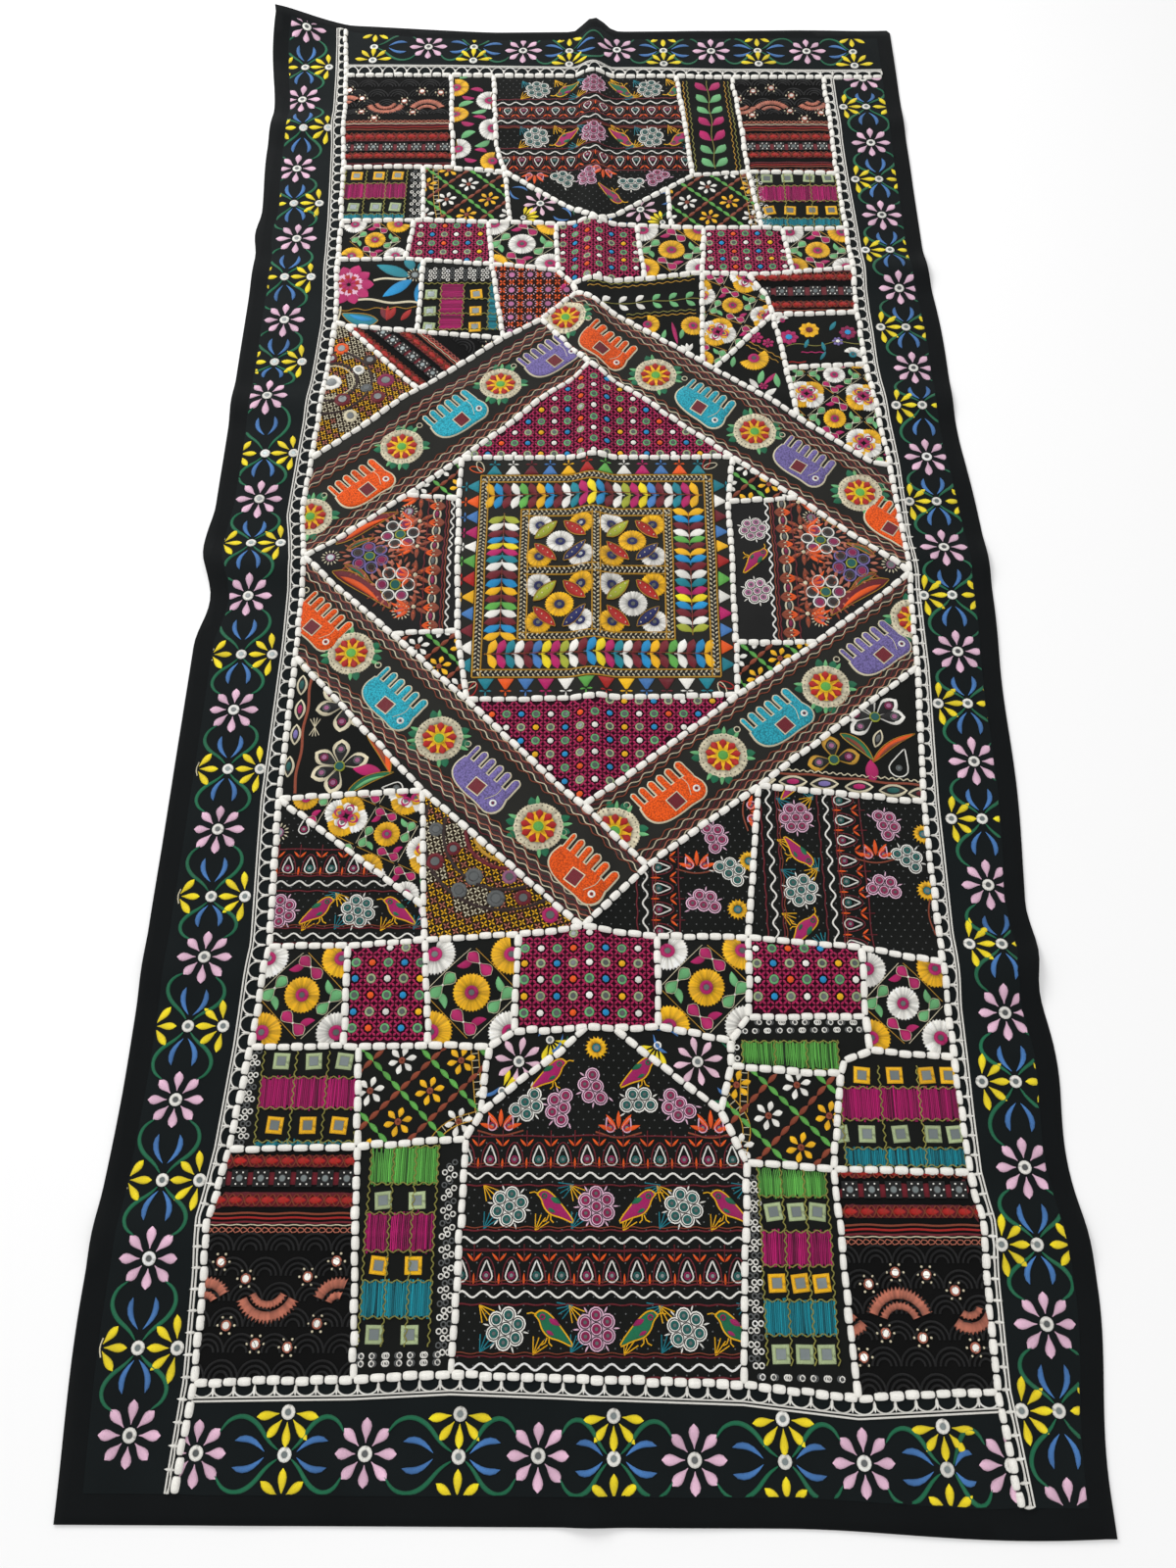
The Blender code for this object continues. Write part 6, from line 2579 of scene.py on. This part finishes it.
def silk_patches() -> list:
    """The patches of floss silk, each with its rows from the top down.

    Returns:
        The patches.
    """
    silk, teal, green = Thread.SILK, Thread.TEAL, Thread.GREEN
    gold, pale = Thread.SUN, Thread.PALE
    listed = (
        ("top_left", (-382, 762, 0), 98, (18, 53, 83), ((gold, 0, -18), (silk, -27, -60), (pale, -69, -87),
         (teal, -94, -106)), ((108, 0, 112, -104), (118, 0, 122, -104))),
        ("top_right", (268, 750, 0), 124, (16, 48, 82, 112),
         ((pale, -1, -17), (silk, -27, -60), (gold, -70, -88),
         (teal, -97, -112)), ((-6, 0, 6, -104), (2, -6, 14, -108))),
        ("low_left", (-354, -625, 0), 108, (20, 56, 90), ((pale, -2, -20), (silk, -29, -62), (gold, -71, -89),
         (teal, -97, -106)), ((-14, 0, -18, -98), (-8, 0, -12, -98))),
        ("low_right", (283, -642, 0), 128, (-4, 25, 61, 96, 120), ((gold, 0, -17), (silk, -22, -56),
         (pale, -62, -80), (teal, -86, -104)), ((132, 8, 134, -104),)),
        ("left", (-241, 432, 90), 88, (5, 36, 69), ((pale, 0, -18), (silk, -24, -58), (gold, -68, -86),
         (teal, -96, -110)), ((98, 0, 98, -112), (106, 0, 106, -112), (114, 0, 114, -112))),
        ("bottom_left", (-226, -727, 0), 72, (16, 52), ((green, 0, -38), (pale, -46, -64), (silk, -68, -105),
         (gold, -110, -128), (teal, -134, -168), (pale, -175, -193)),
         ((82, -20, 84, -200), (88, -16, 90, -200), (0, -204, 84, -202), (0, -211, 84, -209))),
        ("bottom_right", (188, -748, 0), 72, (14, 38, 60),
         ((green, 4, -29), (pale, -36, -53), (silk, -64, -97),
         (gold, -105, -122), (teal, -130, -162), (pale, -171, -188)),
         ((-8, -10, -14, -190), (-2, -10, -8, -190), (-10, -200, 76, -202))),
        ("green", (178, -612, 0), 106, (), ((green, -2, -33),),
         ((0, 10, 136, 12), (16, 20, 136, 20), (-8, 4, -8, -26))),
    )
    return [SilkPatch(f"silk_{name}", slot="silk_cloth", frame=frame, width=width, mirrors=mirrors, rows=rows,
                      ringlets=ringlets) for name, frame, width, mirrors, rows, ringlets in listed]


def flower_patches() -> list:
    """The squares of fringed flowers, the patches cut from the same cloth, and the other flowers.

    Returns:
        The patches.
    """
    bloomy = {"slot": "bloom_cloth"}
    names = [name for name in PATCHES if name.startswith(("blooms_upper", "blooms_lower"))]
    white = ("blooms_upper_3", "blooms_lower_7")
    made = [BloomPatch(n, middle=Thread.WHITE if n in white else Thread.SUN, **bloomy) for n in names]
    made += [BloomScatter(name, frame=frame, half=40, **bloomy) for name, frame in (
        ("blooms_right", (218, 476, 20)), ("blooms_right_low", (352, 262, -4)),
        ("blooms_left", (-236, -366, 20)))]
    sun, white = Thread.SUN, Thread.WHITE
    made.append(MotifPatch("buds_top", motifs=(
        (bud, -216, 958, 0, sun, 21), (bud, -160, 926, 180, white, 22), (bud, -214, 888, 0, sun, 22),
        (bud, -152, 852, 180, white, 22), (bud, -206, 812, 0, white, 21), (bud, -150, 784, 180, sun, 20)),
        **bloomy))
    lavender, magenta, leaves, purple = Thread.LAVENDER, Thread.MAGENTA, Thread.LEAF, Thread.WINE
    teal, sky, gold, cream, red = Thread.TEAL, Thread.SKY, Thread.GOLD, Thread.CREAM, Thread.RED
    made.append(MotifPatch("buds_right", motifs=(
        (flower, 249, 413, 0, magenta, 11, purple, 6), (flower, 266, 402, 20, magenta, 9, purple, 6),
        (bloom, 244, 374, 0, sun, 22, magenta, 200, 200), (stroke, 212, 358, 80, leaves, 20, 9),
        (stroke, 249, 326, 75, leaves, 26, 11), (stroke, 276, 318, 95, leaves, 28, 11),
        (stroke, 274, 346, 230, magenta, 28, 8), (flower, 255, 321, 0, magenta, 7, purple, 6),
        (stroke, 236, 336, -60, white, 22, 10), (stroke, 254, 300, 40, white, 24, 11)), lines=(
        (gold, 1.5, 1.0, 12, (234, 399), (280, 366)), (gold, 1.5, 1.0, 12, (239, 405), (285, 372))),
        **bloomy))
    made.append(MotifPatch("meadow_right", motifs=(
        (flower, 297, 413, 0, magenta, 14, sky, 8), (flower, 328, 427, 10, sun, 15, Thread.MAROON, 9),
        (flower, 384, 422, 0, purple, 13, sky, 8), (flower, 368, 405, 20, lavender, 8, white, 7),
        (bloom, 290, 446, 0, white, 10, magenta, 20, 200), (bloom, 388, 380, 0, white, 14, teal, -30, 190),
        (stroke, 319, 392, 70, teal, 18, 7), (stroke, 358, 426, 60, teal, 20, 8),
        (stroke, 348, 386, 100, teal, 18, 7), (stroke, 340, 370, 60, teal, 18, 6),
        (stroke, 404, 400, 100, leaves, 20, 8)), lines=(
        (magenta, 2.2, 0.8, 12, (313, 384), (346, 384)), (red, 2.0, 0.8, 20, (294, 366), (319, 366)),
        (Thread.OLIVE, 1.4, 3, 60, (292, 396), (400, 404)))))
    around, inner = tuple(range(0, 360, 36)), tuple(range(12, 360, 45))
    made.append(MotifPatch("peony_left", motifs=(
        (petal_ring, -357, 520, 0, magenta, 38, around), (petal_ring, -357, 520, 18, Thread.PINK, 27, around),
        (petal_ring, -357, 520, 0, red, 24, inner), (petal_ring, -357, 520, 20, magenta, 14, inner),
        (stroke, -266, 534, 155, teal, 56, 22), (stroke, -262, 528, 216, sky, 52, 20),
        (stroke, -262, 546, 110, teal, 34, 18), (stroke, -246, 528, 262, sky, 44, 19),
        (stroke, -254, 546, 60, teal, 30, 16), (spark, -258, 537, 0, Thread.GREY),
        (leaf, -308, 450, 166, teal, sky, 56, 24), (stroke, -295, 452, 112, Thread.MAROON, 26, 12),
        (stroke, -293, 452, 70, red, 26, 12), (stroke, -295, 450, 90, red, 28, 9),
        (stroke, -274, 450, 58, red, 26, 11)), lines=(
        (cream, 4.6, 2.0, 60, (-320, 527), (-271, 531)), (cream, 5.6, 2.4, 66, (-341, 491), (-250, 484)),
        (cream, 3.6, 0.8, 40, (-366, 478), (-367, 448)), (gold, 1.6, 2.0, 30, (-380, 470), (-252, 476))),
        **bloomy))
    return made


def petal_ring(pen: Pen, thread: Thread, size: float, angles: tuple) -> None:
    """Broad overlapping petals round the pen.

    Args:
        pen: their middle.
        thread: their colour.
        size: how far out they reach.
        angles: where they point, in degrees.
    """
    pen.fan(0, 0, thread, angles, size * 0.18, size, size * 0.58, belly=1.2, rows=9)


def mirror_patches() -> list:
    """All patches of magenta cross stitch, each with the place of one of its mirrors.

    Returns:
        The patches.
    """
    origins = {"upper_2": (-200, 606), "upper_4": (20, 584), "upper_6": (244, 585), "lower_2": (-222, -562),
               "lower_4": (8, -545), "lower_6": (254, -545), "point_top": (12, 222), "point_low": (14, -204)}
    return [MirrorPatch(f"mirrors_{name}", origin=origin, slot="mirror_cloth", ground=(0.13, 0.03, 0.07),
                        cloth="patch_wine") for name, origin in origins.items()]


def trellis_patches() -> list:
    """The lattice patches and the four small corners of the same cloth.

    Returns:
        The patches.
    """
    large = (("top_left", (-186, 700), (((-244, 772), (-240, 700), (-232, 656)),)),
             ("top_right", (190, 690), (((262, 634), (258, 700), (250, 756)),)),
             ("low_left", (-200, -668),
              (((-108, -688), (-150, -700), (-172, -730)), ((-124, -620), (-116, -690)))),
             ("low_right", (236, -694),
              (((176, -738), (186, -700), (160, -668)), ((176, -640), (172, -690)))))
    small = {"left_upper": (-200, 148), "left_lower": (-186, -106), "right_upper": (224, 150),
             "right_lower": (222, -124)}
    return [TrellisPatch(f"trellis_{name}", origin=at, edging=edging) for name, at, edging in large] + \
        [TrellisPatch(f"corner_{name}", origin=at, pitch=58) for name, at in small.items()]


def strip_patches() -> list:
    """The four elephant strips of the big diamond.

    Returns:
        The patches.
    """
    orange, blue, purple = Thread.ORANGE, Thread.TURQUOISE, Thread.LAVENDER
    listed = (
        ("upper_left", ((-378, 98), (-20, 405)), ((None, -374, 98), (orange, -308, 150), (None, -257, 216),
         (blue, -184, 270), (None, -122, 326), (purple, -54, 378))),
        ("upper_right", ((-38, 455), (420, 86)), ((None, -30, 454), (orange, 30, 396), (None, 101, 342),
         (blue, 168, 290), (None, 238, 240), (purple, 302, 188), (None, 376, 134), (orange, 418, 84))),
        ("lower_left", ((-360, -60), (40, -440)),
         ((orange, -346, -68), (None, -300, -116), (blue, -242, -182),
         (None, -180, -238), (purple, -122, -294), (None, -54, -356), (orange, -2, -412))),
        ("lower_right", ((38, -366), (420, -70)), ((None, 38, -362), (orange, 104, -314), (None, 172, -262),
         (blue, 242, -212), (None, 306, -166), (purple, 374, -112), (None, 428, -66))),
    )
    return [ElephantStrip(f"elephants_{name}", axis=axis, stops=stops, slot="strip_cloth",
                          ground=(0.14, 0.14, 0.13), cloth="patch_grey") for name, axis, stops in listed]


def bird_patches() -> list:
    """The patches of birds, drops and waves.

    Returns:
        The patches.
    """
    teal, pink, red_bird = Thread.PINE, Thread.WINE, (Thread.SILK, Thread.VINE)
    return [
        BirdPatch("birds_low", bands=(("waves", -940), ("birds", -905), ("waves", -873), ("drops", -851),
                                      ("waves", -821), ("birds", -788), ("waves", -757), ("drops", -736)),
                  motifs=posies((-62, -680, 200, teal), (62, -683, -20, teal), (-20, -686, 60, pink),
                                (16, -664, 90, pink), (107, -681, 120, pink))
                  + ((bird, -34, -650, 0, *red_bird), (bird, 64, -648, 0, *red_bird), (sun, 16, -622, 0),
                     (nest, -88, -710, 0), (nest, 40, -712, 0), (nest, 140, -712, 0))),
        BirdPatch("birds_top", frame=(10, 34, 0, True), reach=(-165, 175),
                  bands=(("birds", -916), ("waves", -884), ("drops", -862), ("waves", -832), ("birds", -800),
                         ("waves", -768), ("drops", -748)),
                  motifs=posies((-50, -706, 200, teal), (-4, -704, 60, pink), (60, -702, -20, teal),
                                (104, -708, 120, pink))
                  + ((bird, 30, -672, 0, *red_bird), (nest, -92, -722, 0), (nest, 16, -726, 0))),
        BirdPatch("birds_left", frame=(-300, -462, 0, False), reach=(-129, 130), first=-18.0,
                  bands=(("birds", 0), ("waves", 34), ("drops", 57), ("waves", -30)),
                  motifs=((spark, -67, 99, 0), (drop, -37, 103, 0, pink))),
        BirdPatch("birds_right_inner", frame=(73, -430, -90, False), reach=(-126, 120),
                  bands=(("waves", 0), ("drops", 20)),
                  motifs=posies((-59, 80, 0, pink), (-14, 99, 30, teal), (25, 68, 60, pink))
                  + ((nest, -20, 62, 90), (sun, 30, 108, 0), (sun, -30, 124, 0), (nest, -93, 125, 0))),
        BirdPatch("birds_right_outer", frame=(256, -420, -90, False), reach=(-202, 130), first=35.0,
                  bands=(("birds", 0), ("waves", 37), ("drops", 58), ("waves", -32)),
                  motifs=posies((-65, 104, 0, pink), (-20, 127, 30, teal), (17, 97, 60, pink))
                  + ((nest, -23, 92, 90), (sun, -54, 151, 0), (sun, 17, 148, 0), (nest, 46, 152, 0))),
    ]


def posies(*spots: tuple) -> tuple:
    """Mirror flowers with four of their six places filled, each from its place, turn and colour."""
    return tuple((ring_flower, x, y, turn, thread, 4, 13.0) for x, y, turn, thread in spots)


def side_patches() -> list:
    """The middle square, the lace beside it, and the patches round the diamond.

    Returns:
        The patches.
    """
    gold = {"slot": "gold_cloth", "ground": (0.13, 0.10, 0.07), "cloth": "patch_brown"}
    slate = {"ground": (0.12, 0.12, 0.12), "cloth": "patch_slate"}
    maroon, rust, olive = Thread.MAROON, Thread.RUST, Thread.OLIVE
    cream, orange, pink, earth = Thread.CREAM, Thread.ORANGE, Thread.MAGENTA, Thread.EARTH
    grey, white, green, wine = Thread.GREY, Thread.WHITE, Thread.VINE, Thread.WINE
    left = ((paw, -300, -190, 0, (68, 140, 192, 262, 310)),
            (paw, -301, -276, 0, (90, 149, 203, 255, 20), cream, 26),
            (leaf, -272, -226, -60, orange, rust, 68, 15), (stroke, -250, -282, 176, pink, 34, 18),
            (leaf, -289, -312, 27, green, Thread.LEAF, 62, 11), (drop, -229, -305, 90, grey, 26, white),
            (sprig, -337, -222, 90, cream, 13), (sprig, -337, -222, -90, cream, 13),
            (leaf, -300, -150, 150, Thread.GOLD, maroon, 34, 10),
            (leaf, -262, -214, 100, rust, orange, 40, 9)) + tuple(
        (eye, x, y, 90, thread, 29) for x, y, thread in (
            (-358, -128, grey), (-359, -162, Thread.PINE), (-358, -197, pink), (-360, -232, Thread.LAVENDER),
            (-364, -276, Thread.PINE), (-392, -150, pink)))
    right = ((paw, 308, -268, 0, (95, 12, 192), Thread.GOLD, 22), (leaf, 319, -232, -44, green, rust, 52, 12),
             (eye, 365, -239, 70, grey, 26), (leaf, 356, -271, 35, orange, rust, 68, 9),
             (stroke, 354, -298, 92, pink, 30, 18), (drop, 387, -279, -20, grey, 40, white),
             (paw, 364, -209, 0, (0, 40, 110, 170, 215), white, 27),
             (leaf, 420, -268, 60, green, rust, 46, 11),
             (leaf, 336, -206, 150, orange, maroon, 42, 10)) + tuple(
        (eye, x, y, 0, thread, 35) for x, y, thread in (
            (218, -294, pink), (256, -297, pink), (294, -300, Thread.LAVENDER), (336, -304, pink),
            (377, -309, Thread.PINE), (412, -313, maroon)))
    daisies = (("top_left", ((daisy, -72, 690, -35), (half_sun, -98, 660, 30))),
               ("top_right", ((daisy, 84, 676, 35), (half_sun, 118, 648, 150))),
               ("low_left", ((daisy, -70, -636, 35), (half_sun, -36, -612, -60), (half_sun, -88, -668, 20))),
               ("low_right", ((daisy, 128, -636, -35), (half_sun, 84, -618, -120))))
    return [
        CentrePatch("centre_square", slot="gold_cloth", ground=(0.12, 0.13, 0.12), cloth="patch_grey"),
        LacePatch("lace_left", frame=(0, 24, 0, False), **slate),
        LacePatch("lace_right", frame=(67, 12, 180, True), flowers=((-160, 62), (-160, -36)), **slate),
        MotifPatch("arches_left", motifs=left, lines=((rust, 4.6, 1.2, 60, (-346, -120), (-354, -312)),
                   (maroon, 2.2, 1.2, 40, (-376, -120), (-380, -312)),
                   (olive, 2.0, 1.0, 30, (-400, -318), (-230, -316)))),
        MotifPatch("arches_right", motifs=right, lines=((cream, 2.0, 1.6, 9, (205, -276), (436, -299)),
                   (rust, 4.0, 1.0, 60, (205, -281), (436, -305)),
                   (maroon, 2.0, 1.0, 30, (205, -308), (436, -334)))),
        LatticePatch("sequins_left", origin=(-330, 330),
                     arcs=((-366, 331, 32, cream, 2.4), (-366, 331, 37, earth, 5),
                     (-366, 331, 58, earth, 5)), glass=(
            (-357, 395, orange, 11), (-314, 374, earth, 10), (-329, 355, white, 9), (-370, 377, maroon, 9),
            (-288, 335, wine, 13), (-314, 319, grey, 9), (-296, 301, maroon, 11), (-346, 296, maroon, 12),
            (-333, 269, cream, 10), (-366, 331, white, 15)),
                     pale=((-363, 434), (-340, 395), (-325, 335), (-366, 288), (-335, 258)), **gold),
        LatticePatch("sequins_low", origin=(-100, -430), arcs=(
            (-93, -361, 38, Thread.GOLD, 4.6), (-93, -361, 48, maroon, 5), (-93, -361, 75, earth, 5),
            (-93, -361, 100, earth, 5)), glass=(
            (-177, -360, grey, 9), (-176, -401, maroon, 11), (-155, -385, maroon, 9), (-129, -420, grey, 11),
            (-146, -437, grey, 10), (-102, -447, grey, 11), (-87, -420, Thread.MAUVE, 9),
            (-38, -467, pink, 10), (-70, -446, maroon, 10)),
                     pale=((-178, -372), (-180, -410), (-129, -450), (-152, -366)), **gold),
        RosettePatch("rosettes_left", ground=(0.16, 0.08, 0.06), cloth="patch_rust"),
    ] + [MotifPatch(f"scrap_{name}", motifs=motifs) for name, motifs in daisies]


def copper_patches() -> list:
    """The four large corner patches, with their crescents and stars, and the two red bands.

    Returns:
        The patches.
    """
    listed = (
        ("top_left", 868, False,
         ((-330, 924, 32, 200, 140), (-262, 896, 32, 25, 130), (-392, 918, 22, 40, 110)),
         ((-392, 953), (-370, 932), (-300, 925), (-272, 948), (-241, 945), (-368, 898), (-284, 895),
          (-345, 877))),
        ("top_right", 864, False,
         ((300, 888, 32, 25, 130), (368, 922, 28, 215, 120), (252, 910, 26, 220, 120)),
         ((273, 943), (303, 950), (335, 932), (248, 925), (268, 882), (330, 893), (352, 872), (380, 888))),
        ("low_left", -812, True,
         ((-322, -866, 34, 205, 130), (-386, -884, 26, 30, 80), (-250, -884, 26, 70, 90)),
         ((-374, -843), (-347, -859), (-283, -857), (-254, -842), (-362, -903), (-330, -920), (-297, -923),
          (-269, -901))),
        ("low_right", -822, True,
         ((325, -900, 34, 20, 140), (270, -884, 28, 210, 110), (396, -880, 28, 230, 110)),
         ((296, -862), (324, -851), (356, -853), (384, -868), (309, -908), (346, -912), (285, -930),
          (398, -921))),
    )
    soot = {"slot": "copper_cloth", "ground": (0.04, 0.04, 0.04), "cloth": "patch_soot"}
    made = [CopperPatch(f"copper_{name}", frame=(math.copysign(325, stars[0][0]), split, 0), red_up=red_up,
                        crescents=crescents, stars=stars, **soot)
            for name, split, red_up, crescents, stars in listed]
    made.append(CopperPatch("copper_left", frame=(-204, 392, -45), rows=((20, 43, 67), 43, 22.0),
                            stars=((-142, 400), (-176, 432)), **soot))
    made.append(CopperPatch("copper_right", frame=(220, 449, 0), red_up=True, rows=((28, 53, 79), 53, 25.0),
                            **soot))
    return made


def leaf_patches() -> list:
    """The patches of leaf vines.

    Returns:
        The patches.
    """
    olive, gold, leaves, magenta = Thread.OLIVE, Thread.GOLD, Thread.LEAF, Thread.MAGENTA
    bloomy = {"slot": "bloom_cloth"}
    top = [(thread, 1.6, 1.3, 13, (x0, 760), (x1, 968)) for x0, x1, thread in (
        (168, 158, gold), (174, 164, olive), (238, 226, gold), (244, 232, olive))]
    side = [(thread, 1.6, 1.3, 13, (x0, y0 + shift), (x1, y1 + shift)) for x0, y0, x1, y1 in (
        (2, 507, 163, 525), (60, 452, 163, 462)) for shift, thread in ((0, gold), (7, olive))]
    return [
        MotifPatch("leaves_top", lines=tuple(top), motifs=(
            (vine, 204, 764, 91.7, 206, "LEAF LEAF MAGENTA MAGENTA LEAF LEAF MAGENTA", 27),), **bloomy),
        MotifPatch("leaves_right", lines=tuple(side), motifs=(
            (vine, 21, 478, 5, 150, "WHITE WHITE WHITE LEAF LEAF LEAF", 17),
            (bloom, 91, 440, 0, Thread.SUN, 18, magenta, -90, 180), (bloom, 158, 437, 0, Thread.SUN, 18),
            (stroke, 112, 410, 75, leaves, 20, 8), (stroke, 139, 412, 78, leaves, 20, 8),
            (stroke, 127, 444, -80, magenta, 42, 7),
            (tulip, 150, 388, 100, Thread.WHITE, 16)), **bloomy),
    ]


def patches() -> list:
    """Every patch, made by the class of its kind with its own sizes and places.

    Returns:
        The patches.
    """
    made = silk_patches() + flower_patches() + mirror_patches() + trellis_patches() + strip_patches()
    made += bird_patches() + side_patches() + copper_patches() + leaf_patches()
    missing = set(PATCHES) - {patch.name for patch in made}
    if missing:
        raise ValueError(f"patches without a drawing: {sorted(missing)}")
    return made


@dataclass(frozen=True)
class Studio:
    """The pale floor, the soft light from the upper left and the camera of the photograph.

    Places and sizes are in metres. A lamp is its name, its place, its side and its power in watts.
    """

    camera_place: tuple = (0.02024, -0.87857, 1.32261)
    camera_angles: tuple = (23.68, 0.56, 0.18)
    lens: float = 27.045
    floor_reach: float = 6.0
    lamps: tuple = (("window", (-1.6, 1.9, 1.9), 1.6, 62.0), ("fill", (0.4, -2.0, 2.6), 2.2, 18.0))

    def build(self) -> None:
        """Makes the floor, the world, the lights and the camera."""
        floor_mesh = bpy.data.meshes.new("floor")
        reach = self.floor_reach
        corners = [(-reach, -reach, 0), (reach, -reach, 0), (reach, reach, 0), (-reach, reach, 0)]
        floor_mesh.from_pydata(corners, [], [(0, 1, 2, 3)])
        floor = bpy.data.objects.new("floor", floor_mesh)
        pale = bpy.data.materials.new("pale_floor")
        pale.use_nodes = True
        pale.node_tree.nodes["Principled BSDF"].inputs["Base Color"].default_value = (0.86, 0.86, 0.86, 1)
        pale.node_tree.nodes["Principled BSDF"].inputs["Roughness"].default_value = 0.9
        floor_mesh.materials.append(pale)
        bpy.context.scene.collection.objects.link(floor)
        world = bpy.data.worlds.new("studio")
        world.use_nodes = True
        world.node_tree.nodes["Background"].inputs["Color"].default_value = (1.0, 1.0, 1.0, 1)
        world.node_tree.nodes["Background"].inputs["Strength"].default_value = 0.75
        bpy.context.scene.world = world
        bpy.context.scene.view_settings.view_transform = "Standard"
        for values in self.lamps:
            self.lamp(*values)
        data = bpy.data.cameras.new("camera")
        data.lens = self.lens
        camera = bpy.data.objects.new("camera", data)
        x, y, z = self.camera_place
        camera.location = (x - MIDDLE[0] * MM, y - MIDDLE[1] * MM, z)
        camera.rotation_euler = [math.radians(a) for a in self.camera_angles]
        bpy.context.scene.collection.objects.link(camera)
        bpy.context.scene.camera = camera

    @staticmethod
    def lamp(name: str, place: tuple, size: float, power: float) -> None:
        """An area light that faces the middle of the cloth.

        Args:
            name: its name.
            place: where it stands, in metres.
            size: its side, in metres.
            power: its power, in watts.
        """
        data = bpy.data.lights.new(name, "AREA")
        data.size = size
        data.energy = power
        lamp = bpy.data.objects.new(name, data)
        lamp.location = place
        lamp.rotation_euler = (-Vector(place)).to_track_quat("-Z", "Y").to_euler()
        bpy.context.scene.collection.objects.link(lamp)


def main() -> None:
    """Builds the hanging from the backing up, then the studio, and reports each piece."""
    logging.basicConfig(level=logging.INFO, format="%(name)s: %(message)s")
    made = [BackingCloth().build()]
    for side, edge in border_edges().items():
        strip = BorderStrip(side, INWARD[side], DAISIES[side], STATIONS[side], INNER_REACH[side], edge)
        made += strip.build()
    sheets = {}
    for patch in patches():
        pieces = patch.build()
        sheets.setdefault(node_of(patch.name), []).append(pieces[0])
        made += pieces
    for name, group in sheets.items():
        for sheet in group:
            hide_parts(name)
    made += [SeamCords().build(), LadderTrim().build()]
    Studio().build()
    for piece in made:
        LOG.info("%s: %d faces", piece.name, len(piece.data.polygons))


if __name__ == "__main__":
    main()
